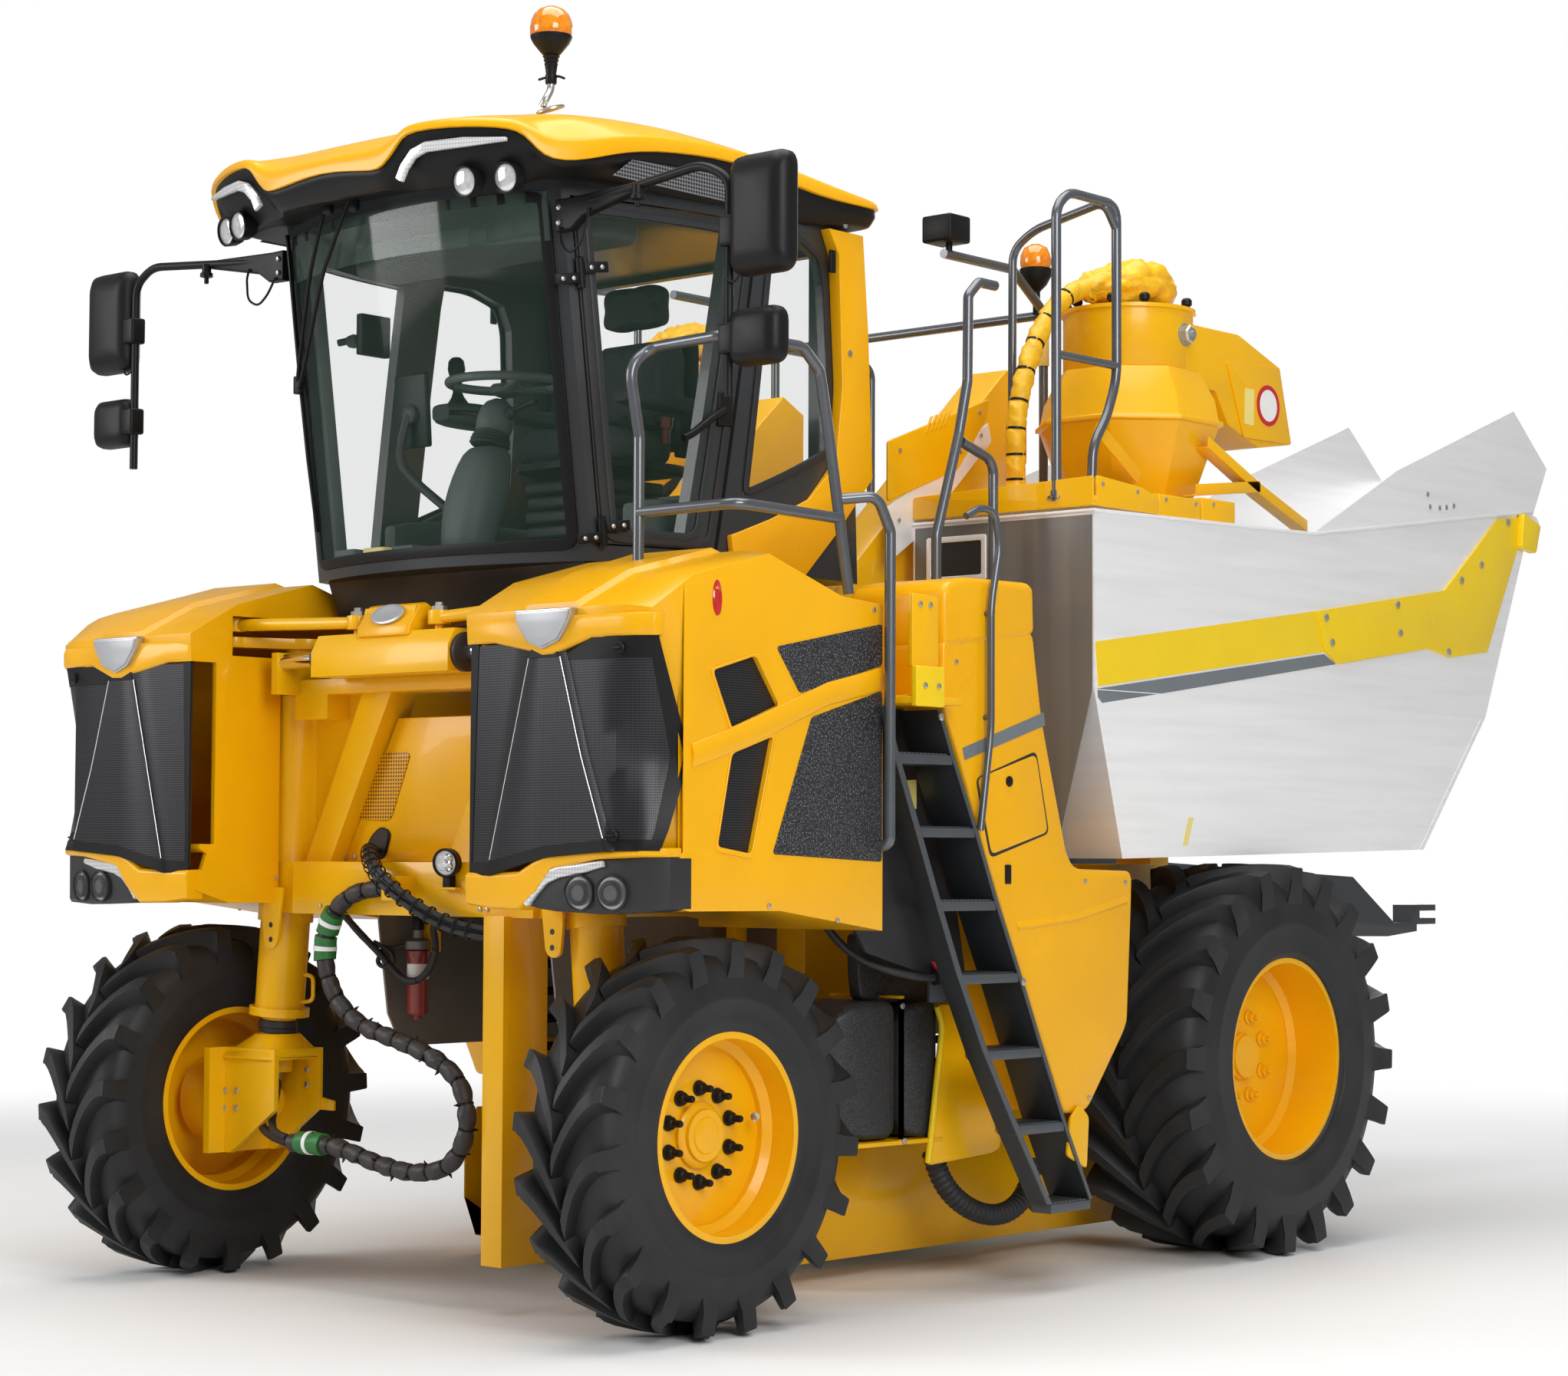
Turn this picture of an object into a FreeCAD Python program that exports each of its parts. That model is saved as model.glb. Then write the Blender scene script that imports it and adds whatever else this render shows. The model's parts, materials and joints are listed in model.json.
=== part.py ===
import FreeCAD, Part
import math
import os
import re
import Sketcher

# Grape harvester: a straddle machine on four wheels, with a tunnel through its middle.
# Millimetres. +X is the machine's left, -Y is forward, +Z is up.
# The row origin is on the ground below the middle of the whole machine.
# Pieces are drawn with Y = 0 at the front axle; node() shifts each one to the row origin.

Vec = FreeCAD.Vector
doc = FreeCAD.newDocument("grape_harvester")
sheet = doc.addObject("Spreadsheet::Sheet", "Sizes")

SIZES = [
    # overall
    ("wheelBase", 2842), ("overallLength", 6860), ("fitGap", 0.3), ("clearGap", 6),
    # front wheels
    ("frontTyreRadius", 585), ("frontTyreWidth", 340), ("frontRimRadius", 300),
    ("frontFlangeRadius", 332), ("frontRimHalf", 152), ("frontTrack", 2240), ("frontHubFace", 26),
    # rear wheels
    ("rearTyreRadius", 695), ("rearTyreWidth", 540), ("rearRimRadius", 352),
    ("rearFlangeRadius", 384), ("rearRimHalf", 238), ("rearTrack", 2300), ("rearHubFace", 40),
    # what both kinds of wheel share
    ("flangeThick", 12), ("flangeLip", 6), ("sidewallRise", 40), ("shoulderDrop", 45), ("shoulderIn", 30),
    ("spindleRadius", 60), ("spindleSeat", 60), ("discThick", 16), ("wellHalf", 60), ("hubWall", 22),
    ("hubCap", 34), ("hubCapThick", 20),
    # front legs and knuckles
    ("kingpinLean", 5), ("kingpinX", 753), ("kingpinFootZ", 859), ("kingpinRadius", 58),
    ("legRadius", 82), ("legLength", 1080), ("legFlangeRadius", 100), ("legFlange", 28),
    ("legCollarUp", 330), ("kingpinLength", 1268), ("kingpinDrop", 170),
    ("forkHalf", 105), ("forkSheet", 20), ("forkPlate", 30), ("forkTop", 124), ("forkSide", 170),
    ("motorRadius", 150), ("motorLength", 150),
    # steering
    ("armLength", 248), ("armToe", 19), ("armThick", 34), ("armHubRadius", 75), ("armEndRadius", 36),
    ("barrelY", -180), ("barrelZ", 2036), ("barrelRadius", 58), ("barrelLength", 660), ("rodRadius", 26),
    ("rodLength", 1059.4), ("blockHalf", 30), ("blockWidth", 32), ("tieRodRadius", 20), ("tieEyeThick", 44), ("tieEyeRadius", 36),
    ("tieBallX", 190), ("tieBallZ", 2150), ("tiePinRadius", 14), ("tieRise", 18),
    # chassis
    ("beamWidth", 160), ("lowBeamZ", 1215), ("lowBeamTop", 1385), ("topBeamZ", 1850), ("topBeamTop", 1980),
    ("beamFrontY", -110), ("beamRearY", 3320), ("postDepth", 120), ("crossDepth", 170), ("crossSheet", 50),
    ("gussetThick", 12), ("slantLowX", 436), ("slantTopX", 127), ("slantWide", 140),
    ("guideX", 375), ("guideWide", 90), ("guideLowZ", 150),
    # tunnel and picking
    ("wallX", 392), ("wallThick", 8), ("wallFrontY", 224), ("wallRearY", 3120), ("wallLowZ", 775),
    ("roofZ", 1300),
    ("shakerRods", 7), ("shakerRodRadius", 15), ("shakerBow", 190), ("shakerFrontY", 700),
    ("shakerRearY", 2350), ("shakerLowZ", 560), ("shakerPitch", 95), ("shakerBar", 36),
    ("troughFrontY", 850), ("troughRearY", 2980), ("troughOuterX", 750), ("troughInnerX", 425),
    ("troughLowZ", 75), ("troughTopZ", 525), ("troughSheet", 8), ("hangerWide", 40),
    ("scaleCount", 11), ("scaleThick", 8), ("scaleInnerX", 40), ("scaleRise", 355), ("scaleGap", 6),
    # elevators
    ("elevatorOuterX", 685), ("chuteInnerX", 450), ("chuteOuterX", 620), ("elevatorTopY", 2330),
    ("elevatorTopZ", 3170), ("elevatorRise", 330), ("elevatorFootY", 1020), ("elevatorDepth", 260),
    # pods
    ("podInnerX", 645), ("podOuterX", 1385), ("podFrontY", -480), ("podRearY", 566), ("podSheet", 20),
    ("podTopZ", 2310), ("podBrowZ", 2226), ("podNoseZ", 2120), ("podTailZ", 2192), ("podLowZ", 1247),
    ("mouthLowZ", 1440), ("mouthTopZ", 2030), ("mouthOuterX", 1325), ("grilleThick", 30), ("grilleGap", 5),
    ("legRoomY", 100), ("legRoomX", 835), ("armRoomY", 305), ("armRoomZ", 2055),
    ("engineWidth", 500), ("engineDepth", 640), ("engineHeight", 620), ("engineLowZ", 1330),
    # cab
    ("cabFrontHalf", 640), ("cabRearHalf", 700), ("cabCornerY", 57), ("cabBulge", 145), ("cabSideBulge", 121),
    ("cabRearY", 1215), ("cabFloorZ", 2318), ("cabTopZ", 3500), ("cabRake", 157),
    ("cabWall", 40), ("tubHalf", 600), ("tubLowZ", 2200), ("mountX", 420), ("mountWide", 100),
    ("sillUp", 50), ("headDown", 60), ("pillarWide", 70), ("fairingOuterX", 800),
    ("doorGap", 6), ("doorRim", 48), ("doorRearY", 481), ("doorFlare", 0.1554),
    ("hingeEdgeY", 83), ("hingeX", 671.5), ("hingeY", 81.4), ("hingeYaw", 22.4), ("hingeOut", 20),
    ("hingeRadius", 7), ("hingeEye", 12), ("hingeLug", 30), ("hingeLow", 60), ("hingeHigh", 860),
    ("mirrorX", 1386), ("mirrorY", -146), ("mirrorTube", 14),
    ("roofHalf", 850), ("roofTopZ", 3745), ("roofFrontY", -515), ("roofRearY", 1255),
    # hoppers
    ("hopperInnerX", 690), ("hopperOuterX", 1450), ("hopperLowX", 1300), ("hopperSheet", 8),
    ("hopperFrontY", 1582), ("hopperTopZ", 2555), ("hopperBendZ", 1960), ("hopperLowZ", 1405),
    ("hopperPivotY", 4600), ("hopperPivotZ", 2735), ("pivotRadius", 30), ("pivotTube", 46),
    ("walkRearY", 1960), ("walkThick", 40), ("guardX", 1290), ("guardTopZ", 3640),
    # fans
    ("fanHoseRadius", 33), ("fanX", 1060), ("fanY", 2340), ("fanRadius", 232), ("fanLowZ", 3117), ("fanTopZ", 3343),
    ("hoodRadius", 300), ("hoodZ", 2930), ("hoodLowZ", 2640), ("sleeveRadius", 120), ("sleeveTopZ", 3530),
    # access
    ("ladderOuterX", 1490), ("ladderInnerX", 1215), ("ladderSheet", 12), ("ladderDepth", 150),
    ("ladderTopY", 690), ("ladderTopZ", 1873.7), ("ladderFootY", 1470), ("ladderFootZ", 300),
    ("treadCount", 7), ("treadDepth", 130), ("treadThick", 30), ("railRadius", 17),
    ("platformZ", 1880), ("deckZ", 2700), ("deckHalf", 640), ("plateThick", 20),
    ("steerRadius", 190), ("steerRing", 15),
    # side towers
    ("towerInnerX", 1000), ("towerOuterX", 1205), ("skirtOuterX", 1385), ("towerFrontY", 1085),
    ("towerRearY", 1450), ("towerTopZ", 2290),
    # drawbar
    ("armPlate", 50), ("drawbarHalf", 70), ("jawHalf", 45), ("jawLowZ", 1110), ("jawTopZ", 1200), ("pinHoleRadius", 16),
    ("pinHoleY", 6225),
    # front hose
    ("hoseRadius", 32), ("hoseY", -152), ("hosePortX", -40), ("hosePortZ", 1302), ("hosePortHalf", 38),
]

row = 0
for alias, value in SIZES:
    row += 1
    sheet.set("A%d" % row, alias)
    sheet.set("B%d" % row, str(value))
    sheet.setAlias("B%d" % row, alias)
doc.recompute()

WORDS = re.compile(r"\b(" + "|".join(alias for alias, value in SIZES) + r")\b")


def tied(text):
    """An expression whose sheet words are written out in full."""
    return WORDS.sub(r"Sizes.\1", str(text))


def val(text):
    """What a sheet expression comes to now."""
    return float(sheet.evalExpression(WORDS.sub(r"\1", str(text))))


def bind(obj, **sizes):
    for name, text in sizes.items():
        obj.setExpression(name.replace("__", "."), tied(text))
    return obj


def place(obj, x="0", y="0", z="0"):
    return bind(obj, Placement__Base__x=x, Placement__Base__y=y, Placement__Base__z=z)


def box(name, x0, x1, y0, y1, z0, z1):
    """A block between two corners."""
    obj = doc.addObject("Part::Box", name)
    bind(obj, Length="(%s) - (%s)" % (x1, x0), Width="(%s) - (%s)" % (y1, y0),
         Height="(%s) - (%s)" % (z1, z0))
    return place(obj, x0, y0, z0)


def rod(name, radius, length, x, y, z, axis="Z"):
    """A cylinder from a point, along +X, +Y or +Z."""
    obj = doc.addObject("Part::Cylinder", name)
    bind(obj, Radius=radius, Height=length)
    place(obj, x, y, z)
    if axis == "X":
        obj.Placement.Rotation = FreeCAD.Rotation(Vec(0, 1, 0), 90)
    if axis == "Y":
        obj.Placement.Rotation = FreeCAD.Rotation(Vec(1, 0, 0), -90)
    return obj


def outlined(name, plane, points, arcs=None):
    """A body whose first sketch is a closed outline on an origin plane.

    Points run counterclockwise. Sides are straight, but those named in arcs bow out by the rise given.
    """
    body = doc.addObject("PartDesign::Body", name)
    sketch = body.newObject("Sketcher::SketchObject", name + "_outline")
    base = [item for item in body.Origin.OriginFeatures if item.Role == plane + "_Plane"]
    sketch.AttachmentSupport = [(base[0], "")]
    sketch.MapMode = "FlatFace"
    corners = [Vec(val(a), val(b), 0) for a, b in points]
    count = len(corners)
    arcs = arcs or {}
    ends = []
    for i in range(count):
        start, stop = corners[i], corners[(i + 1) % count]
        if i in arcs:
            run = stop - start
            out = Vec(run.y, -run.x, 0).normalize() * val(arcs[i])
            sketch.addGeometry(Part.Arc(start, (start + stop) / 2 + out, stop), False)
            flipped = sketch.Geometry[i].StartPoint.distanceToPoint(start) > 0.01
            ends.append((2, 1) if flipped else (1, 2))
        else:
            sketch.addGeometry(Part.LineSegment(start, stop), False)
            ends.append((1, 2))
    for i in range(count):
        after = (i + 1) % count
        sketch.addConstraint(Sketcher.Constraint("Coincident", i, ends[i][1], after, ends[after][0]))
    for i, (a, b) in enumerate(points):
        for side, text, start in (("X", a, corners[i].x), ("Y", b, corners[i].y)):
            index = sketch.addConstraint(
                Sketcher.Constraint("Distance" + side, -1, 1, i, ends[i][0], start))
            label = side.lower() + str(i)
            sketch.renameConstraint(index, label)
            sketch.setExpression("Constraints." + label, tied(text))
    for i, rise in arcs.items():
        (a, b), (c, d) = points[i], points[(i + 1) % count]
        radius = "((((%s) - (%s)) ^ 2 + ((%s) - (%s)) ^ 2) / 4 + (%s) ^ 2) / (2 * (%s))" % (
            c, a, d, b, rise, rise)
        index = sketch.addConstraint(Sketcher.Constraint("Radius", i, sketch.Geometry[i].Radius))
        sketch.renameConstraint(index, "radius%d" % i)
        sketch.setExpression("Constraints.radius%d" % i, tied(radius))
    return body, sketch


def prism(name, plane, points, start, depth, arcs=None, lean=None):
    """An outline on the XY, XZ or YZ plane, padded from start towards the plane's + axis."""
    body, sketch = outlined(name, plane, points, arcs)
    pad = body.newObject("PartDesign::Pad", name + "_pad")
    pad.Profile = sketch
    pad.Reversed = plane == "XZ"
    if lean:
        pad.UseCustomVector = True
        pad.Direction = Vec(0, val(lean[0]), val(lean[1]))
        pad.AlongSketchNormal = True
        pad.setExpression("Direction.y", tied(lean[0]))
        pad.setExpression("Direction.z", tied(lean[1]))
    bind(pad, Length=depth)
    side = {"XY": "z", "XZ": "y", "YZ": "x"}[plane]
    return place(body, **{side: start})


def turned(name, points):
    """An outline of (along, radius) pairs, revolved about the X axis."""
    body, sketch = outlined(name, "XY", points)
    spin = body.newObject("PartDesign::Revolution", name + "_spin")
    spin.Profile = sketch
    spin.ReferenceAxis = (sketch, ["H_Axis"])
    spin.Angle = 360
    return body


def fuse(name, *pieces):
    obj = doc.addObject("Part::MultiFuse", name)
    obj.Shapes = list(pieces)
    return obj


def common(name, *pieces):
    obj = doc.addObject("Part::MultiCommon", name)
    obj.Shapes = list(pieces)
    return obj


def cut(name, base, *tools):
    obj = doc.addObject("Part::Cut", name)
    obj.Base = base
    obj.Tool = tools[0] if len(tools) == 1 else fuse(name + "_tools", *tools)
    return obj


def group(name, *pieces):
    """Separate solids that share a node."""
    obj = doc.addObject("Part::Compound", name)
    obj.Links = list(pieces)
    return obj


def feature(name, shape):
    obj = doc.addObject("Part::Feature", name)
    obj.Shape = shape
    return obj


NODES = []
AXLE = "(frontTyreRadius - overallLength / 2)"


def mirrored(name, obj):
    """A piece's mirror image on the machine's right."""
    right = doc.addObject("Part::Mirroring", name)
    right.Source = obj
    right.Normal = Vec(1, 0, 0)
    return right


def node(name, obj, x="0", y="0", z="0"):
    """Give a finished sub-part its label and carry it from the front axle to the row origin."""
    if any("Placement" in path for path, text in obj.ExpressionEngine):
        obj = group(name + "_whole", obj)
    obj.Label = name
    place(obj, x, AXLE + " + (" + y + ")", z)
    NODES.append((name, obj))
    return obj


def pair(name, obj, x="0", y="0", z="0"):
    """A left sub-part and its mirror image on the right, as two nodes."""
    left = node(name + "_left", obj, x, y, z)
    right = mirrored(name + "_mirror", left)
    right.Label = name + "_right"
    NODES.append((name + "_right", right))


def both(name, obj, *extra):
    """A left piece and its mirror image as separate solids of one node."""
    whole = group(name + "_left_form", obj)
    return node(name, group(name + "_both", whole, mirrored(name + "_right_form", whole), *extra))


def swept(points, radius, bends):
    """A round bar through points: straight runs joined by tangent arcs of the given radii."""
    edges = []
    here = points[0]
    for i in range(1, len(points) - 1):
        before = (points[i] - points[i - 1]).normalize()
        after = (points[i + 1] - points[i]).normalize()
        angle = before.getAngle(after)
        bend = bends if not isinstance(bends, (list, tuple)) else bends[i - 1]
        reach = bend * math.tan(angle / 2)
        start = points[i] - before * reach
        end = points[i] + after * reach
        middle = (after - before).normalize()
        centre = points[i] + middle * (bend / math.cos(angle / 2))
        edges.append(Part.LineSegment(here, start).toShape())
        edges.append(Part.Arc(start, centre - middle * bend, end).toShape())
        here = end
    edges.append(Part.LineSegment(here, points[-1]).toShape())
    path = Part.Wire(edges)
    direction = (points[1] - points[0]).normalize()
    ring = Part.Wire([Part.Circle(points[0], direction, radius).toShape()])
    return path.makePipeShell([ring], True, False, 0)


# wheels

def tyre(side):
    """A tyre: beads between the rim's flanges, upright walls and a tread with dropped shoulders."""
    half = side + "TyreWidth / 2"
    bead = "(%sRimHalf - flangeThick - fitGap)" % side
    seat = "(%sRimRadius + fitGap)" % side
    lip = "(%sFlangeRadius + flangeLip)" % side
    outer = side + "TyreRadius"
    right = [(bead, seat), (bead, lip), (half, lip + " + sidewallRise"), (half, outer + " - shoulderDrop"),
             (half + " - shoulderIn", outer)]
    left = [("-(%s)" % a, b) for a, b in reversed(right)]
    return turned(side + "_tyre_form", right + left)


def rim(side):
    """A rim: two flanges, a dropped well, a disc and a capped hub that takes the spindle."""
    seat, flange, half = side + "RimRadius", side + "FlangeRadius", side + "RimHalf"
    face = side + "HubFace"
    inner = "(%s - flangeThick)" % seat
    well = "(%s - 3 * flangeThick)" % seat
    bore = "(spindleRadius + fitGap)"
    hub = "(spindleRadius + hubWall)"
    step = "(wellHalf - hubCapThick)"
    points = [
        ("-" + half, flange), ("flangeThick - " + half, flange), ("flangeThick - " + half, seat),
        ("-wellHalf", seat), ("-" + step, well + " + flangeThick"), (step, well + " + flangeThick"),
        ("wellHalf", seat), (half + " - flangeThick", seat), (half + " - flangeThick", flange),
        (half, flange), (half, inner), ("wellHalf + flangeLip", inner), (step + " + flangeLip", well),
        (face, well), (face, hub), (face + " + hubCap", hub + " - flangeLip"), (face + " + hubCap", "0"),
        (face + " + hubCap - hubCapThick", "0"), (face + " + hubCap - hubCapThick", bore),
        (face + " - spindleSeat", bore), (face + " - spindleSeat", hub), (face + " - discThick", hub),
        (face + " - discThick", well), ("-(%s + flangeLip)" % step, well), ("-wellHalf - flangeLip", inner),
        ("-" + half, inner)]
    return turned(side + "_rim_form", points)


for end, along in (("front", "0"), ("rear", "wheelBase")):
    middle = end + "Track / 2"
    pair(end + "_tyre", tyre(end), middle, along, end + "TyreRadius")
    pair(end + "_rim", rim(end), middle, along, end + "TyreRadius")
SPINDLE_TIP = " + hubCap - hubCapThick - fitGap"


# front legs, knuckles and steering arms, drawn about an upright kingpin and then leaned

BEAM_IN = "(wallX + wallThick + fitGap)"
BEAM_OUT = "(wallX + wallThick + fitGap + beamWidth)"
KINGPIN_TOP_Z = "(kingpinFootZ + kingpinLength * cos(kingpinLean))"
KINGPIN_TOP_X = "(kingpinX - kingpinLength * sin(kingpinLean))"


def leaned(obj):
    """Lean an upright piece's top inward by the kingpin's angle about its foot."""
    obj.Placement.Rotation = FreeCAD.Rotation(Vec(0, 1, 0), 1)
    return bind(obj, Placement__Rotation__Angle="-kingpinLean", Placement__Base__x="kingpinX",
                Placement__Base__z="kingpinFootZ")


leg_tubes = leaned(cut(
    "leg_sleeve",
    fuse("leg_tubes",
         rod("leg_tube", "legRadius", "legLength - legFlange / 2", "0", "0", "legFlange / 2"),
         rod("leg_foot", "legFlangeRadius", "legFlange", "0", "0", "legFlange / 2"),
         rod("leg_collar", "legFlangeRadius - 8", "2 * legFlange", "0", "0", "legCollarUp")),
    rod("leg_bore", "kingpinRadius + fitGap", "2 * legLength", "0", "0", "-legLength / 4")))
leg_mounts = cut(
    "leg_mounts",
    fuse("leg_mount_blocks",
         box("leg_mount_low", BEAM_OUT + " + fitGap", "kingpinX - 20", "-crossDepth / 2", "postDepth / 2",
             "lowBeamZ", "lowBeamTop"),
         box("leg_mount_top", BEAM_OUT + " + fitGap", "kingpinX - 100", "-postDepth / 2", "postDepth / 2",
             "topBeamZ", "topBeamTop - crossSheet"),
         box("leg_web", BEAM_OUT + " + fitGap", "kingpinX - 70", "-gussetThick", "0", "lowBeamTop - 5",
             "topBeamZ + 5")),
    leaned(rod("leg_mount_bore", "legRadius - 8", "2 * legLength", "0", "0", "-kingpinDrop")))
both("front_legs", fuse("front_leg_form", leg_tubes, leg_mounts))

FORK_Z = "(kingpinFootZ - forkTop)"
fork_side = [("kingpinX - forkHalf", FORK_Z), ("frontTrack / 2 - motorLength - 45", FORK_Z),
             ("frontTrack / 2 - motorLength - 45", "frontTyreRadius - forkSide"),
             ("frontTrack / 2 - motorLength - 100", "frontTyreRadius - forkSide"),
             ("kingpinX - forkHalf", "frontTyreRadius - 20")]
knuckle_pin = leaned(rod("kingpin", "kingpinRadius", "kingpinLength + kingpinDrop", "0", "0", "0"))
knuckle_pin.setExpression("Placement.Base.x", tied("kingpinX + kingpinDrop * sin(kingpinLean)"))
knuckle_pin.setExpression("Placement.Base.z", tied("kingpinFootZ - kingpinDrop * cos(kingpinLean)"))
ARM_TIP_X = "(%s + armLength * sin(armToe))" % KINGPIN_TOP_X
ARM_TIP_Y = "(-armLength * cos(armToe))"
ARM_Z = "(%s - armThick)" % KINGPIN_TOP_Z
arm_bar = prism("arm_bar", "XY", [
    (KINGPIN_TOP_X + " - armHubRadius + 12", "0"), (KINGPIN_TOP_X + " + armHubRadius - 4", "20"),
    (ARM_TIP_X + " + armEndRadius - 4", ARM_TIP_Y), (ARM_TIP_X + " - armEndRadius + 4", ARM_TIP_Y)],
    ARM_Z, "armThick")
knuckle_form = fuse(
    "knuckle_form",
    knuckle_pin,
    box("fork_roof", "kingpinX - forkHalf", "frontTrack / 2 - motorLength - 45", "-forkHalf", "forkHalf",
        FORK_Z, FORK_Z + " + forkPlate"),
    prism("fork_front", "XZ", fork_side, "-forkHalf", "forkSheet"),
    prism("fork_back", "XZ", fork_side, "forkHalf - forkSheet", "forkSheet"),
    box("fork_plate", "frontTrack / 2 - motorLength - 70", "frontTrack / 2 - motorLength - 40",
        "-forkSide", "forkSide", "frontTyreRadius - forkSide", FORK_Z + " + forkPlate"),
    rod("wheel_motor", "motorRadius", "motorLength", "frontTrack / 2 - motorLength - 40", "0",
        "frontTyreRadius", "X"),
    rod("wheel_spindle", "spindleRadius", "motorLength + 40 + frontHubFace" + SPINDLE_TIP,
        "frontTrack / 2 - motorLength - 40", "0", "frontTyreRadius", "X"),
    rod("arm_hub", "armHubRadius", "armThick", KINGPIN_TOP_X, "0", ARM_Z),
    rod("arm_end", "armEndRadius", "armThick", ARM_TIP_X, ARM_TIP_Y, ARM_Z),
    arm_bar)
pair("knuckle", knuckle_form)

# steering cylinder: a fixed through rod, a barrel that slides along it and two tie rods

BLOCK_IN = "(rodLength / 2 + fitGap)"
node("steering_rod", group("through_rod", rod("through_rod_bar", "rodRadius", "rodLength", "-rodLength / 2",
                                              "barrelY", "barrelZ", "X")))
cover_side = [("barrelY - 70", "barrelZ - 60"), ("barrelY + 62", "barrelZ - 60"),
              ("barrelY + 62", "tieBallZ - 40"), ("barrelY - 40", "tieBallZ - 40"),
              ("barrelY - 70", "barrelZ + 20")]
TIE_LOW_Z = "(tieBallZ - tieEyeRadius + 14)"
barrel = cut(
    "barrel_form",
    fuse("barrel_outer",
         rod("barrel_tube", "barrelRadius", "barrelLength", "-barrelLength / 2", "barrelY", "barrelZ", "X"),
         prism("barrel_cover", "YZ", cover_side, "-barrelLength / 2 + 10", "barrelLength - 20"),
         rod("tie_stud_left", "tiePinRadius", "2 * armThick", "tieBallX", "barrelY + 15",
             "tieBallZ - armThick - 20"),
         rod("tie_stud_right", "tiePinRadius", "2 * armThick", "-tieBallX", "barrelY + 15",
             "tieBallZ - armThick - 20"),
         prism("cover_badge", "YZ", [("barrelY - 40", "tieBallZ - 45"), ("barrelY + 40", "tieBallZ - 45"),
                                     ("barrelY + 30", "tieBallZ + 40"), ("barrelY - 20", "tieBallZ + 40")],
               "-tieBallX + 2 * tieEyeRadius", "2 * tieBallX - 4 * tieEyeRadius")),
    rod("barrel_bore", "rodRadius + fitGap", "2 * rodLength", "-rodLength", "barrelY", "barrelZ", "X"))
node("steering_cylinder", barrel)


def tie_rod_shape():
    """A tie rod: an eye over the barrel's stud, a bar and an eye above the steering arm's end."""
    start = Vec(val("tieBallX"), val("barrelY + 15"), val("tieBallZ"))
    eye, half = val("tieEyeRadius"), val("tieEyeThick") / 2
    end = Vec(val(ARM_TIP_X), val(ARM_TIP_Y), val(ARM_Z + " + armThick + tieRise") + half)
    along = (end - start).normalize()
    bar = swept([start + along * (eye - 8), end - along * (eye - 8)], val("tieRodRadius"), 0)
    inner = Part.makeCylinder(eye, 2 * half, start - Vec(0, 0, half))
    outer = Part.makeCylinder(val("armEndRadius"), 2 * half, end - Vec(0, 0, half))
    bore = Part.makeCylinder(val("tiePinRadius + fitGap"), 6 * half, start - Vec(0, 0, 3 * half))
    return bar.fuse([inner, outer]).cut(bore)


pair("tie_rod", feature("tie_rod_form", tie_rod_shape()))

# chassis: two beams a side, cross beams, posts and the front's slanting posts and webs

beams = []
for side, low, high in (("left", BEAM_IN, BEAM_OUT), ("right", "-" + BEAM_OUT, "-" + BEAM_IN)):
    beams.append(box("low_beam_" + side, low, high, "beamFrontY", "beamRearY", "lowBeamZ", "lowBeamTop"))
    beams.append(box("top_beam_" + side, low, high, "beamFrontY", "beamRearY", "topBeamZ", "topBeamTop"))
    for where, at in (("middle", "wheelBase / 2"), ("rear", "beamRearY - postDepth")):
        beams.append(box("post_%s_%s" % (where, side), low, high, at, at + " + postDepth", "lowBeamZ",
                         "topBeamTop"))
    inner = BLOCK_IN if side == "left" else "-(%s + blockWidth)" % BLOCK_IN
    beams.append(box("rod_block_" + side, inner, inner + " + blockWidth", "barrelY - blockHalf",
                     "beamFrontY + crossDepth", "topBeamTop - crossSheet", "barrelZ + blockHalf"))
beams.append(box("cross_low_front", "-" + BEAM_OUT, BEAM_OUT, "beamFrontY", "beamFrontY + crossDepth",
                 "lowBeamZ", "lowBeamTop"))
beams.append(box("cross_top_front", "-" + BEAM_OUT, BEAM_OUT, "beamFrontY", "beamFrontY + crossDepth",
                 "topBeamTop - crossSheet", "topBeamTop"))
for level, low, high in (("low", "lowBeamZ", "lowBeamTop"), ("top", "topBeamZ", "topBeamTop")):
    beams.append(box("cross_%s_rear" % level, "-" + BEAM_OUT, BEAM_OUT, "beamRearY - crossDepth",
                     "beamRearY", low, high))
beams.append(prism("slant_post", "XZ", [
    ("-slantLowX - slantWide + 18", "lowBeamTop - 5"), ("-slantTopX - slantWide", "topBeamTop - 10"),
    ("-slantTopX", "topBeamTop - 10"), ("-slantLowX", "lowBeamTop - 5")], "-postDepth / 2", "postDepth"))
beams.append(prism("right_web", "XZ", [
    ("-" + BEAM_OUT, "lowBeamTop - 5"), ("-" + BEAM_OUT, "topBeamTop - 10"),
    ("-slantTopX - slantWide + 10", "topBeamTop - 10"), ("-slantLowX - slantWide + 22", "lowBeamTop - 5")],
    "-gussetThick", "gussetThick"))
beams.append(prism("left_web", "XZ", [
    (BEAM_OUT, "lowBeamTop - 5"), ("66", "lowBeamTop - 5"), ("240", "topBeamZ - 117"),
    ("240", "topBeamTop - 10"), (BEAM_OUT, "topBeamTop - 10")], "-gussetThick", "gussetThick"))
beams.append(box("guide_post", "guideX", "guideX + guideWide", "-140", "50", "guideLowZ", "lowBeamZ + 5"))
beams.append(box("hose_port", "hosePortX", "hosePortX + 70", "hoseY - hosePortHalf", "beamFrontY + 1",
                 "hosePortZ - hosePortHalf", "hosePortZ + hosePortHalf"))
node("chassis_frame", fuse("chassis_form", *beams))

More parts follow.
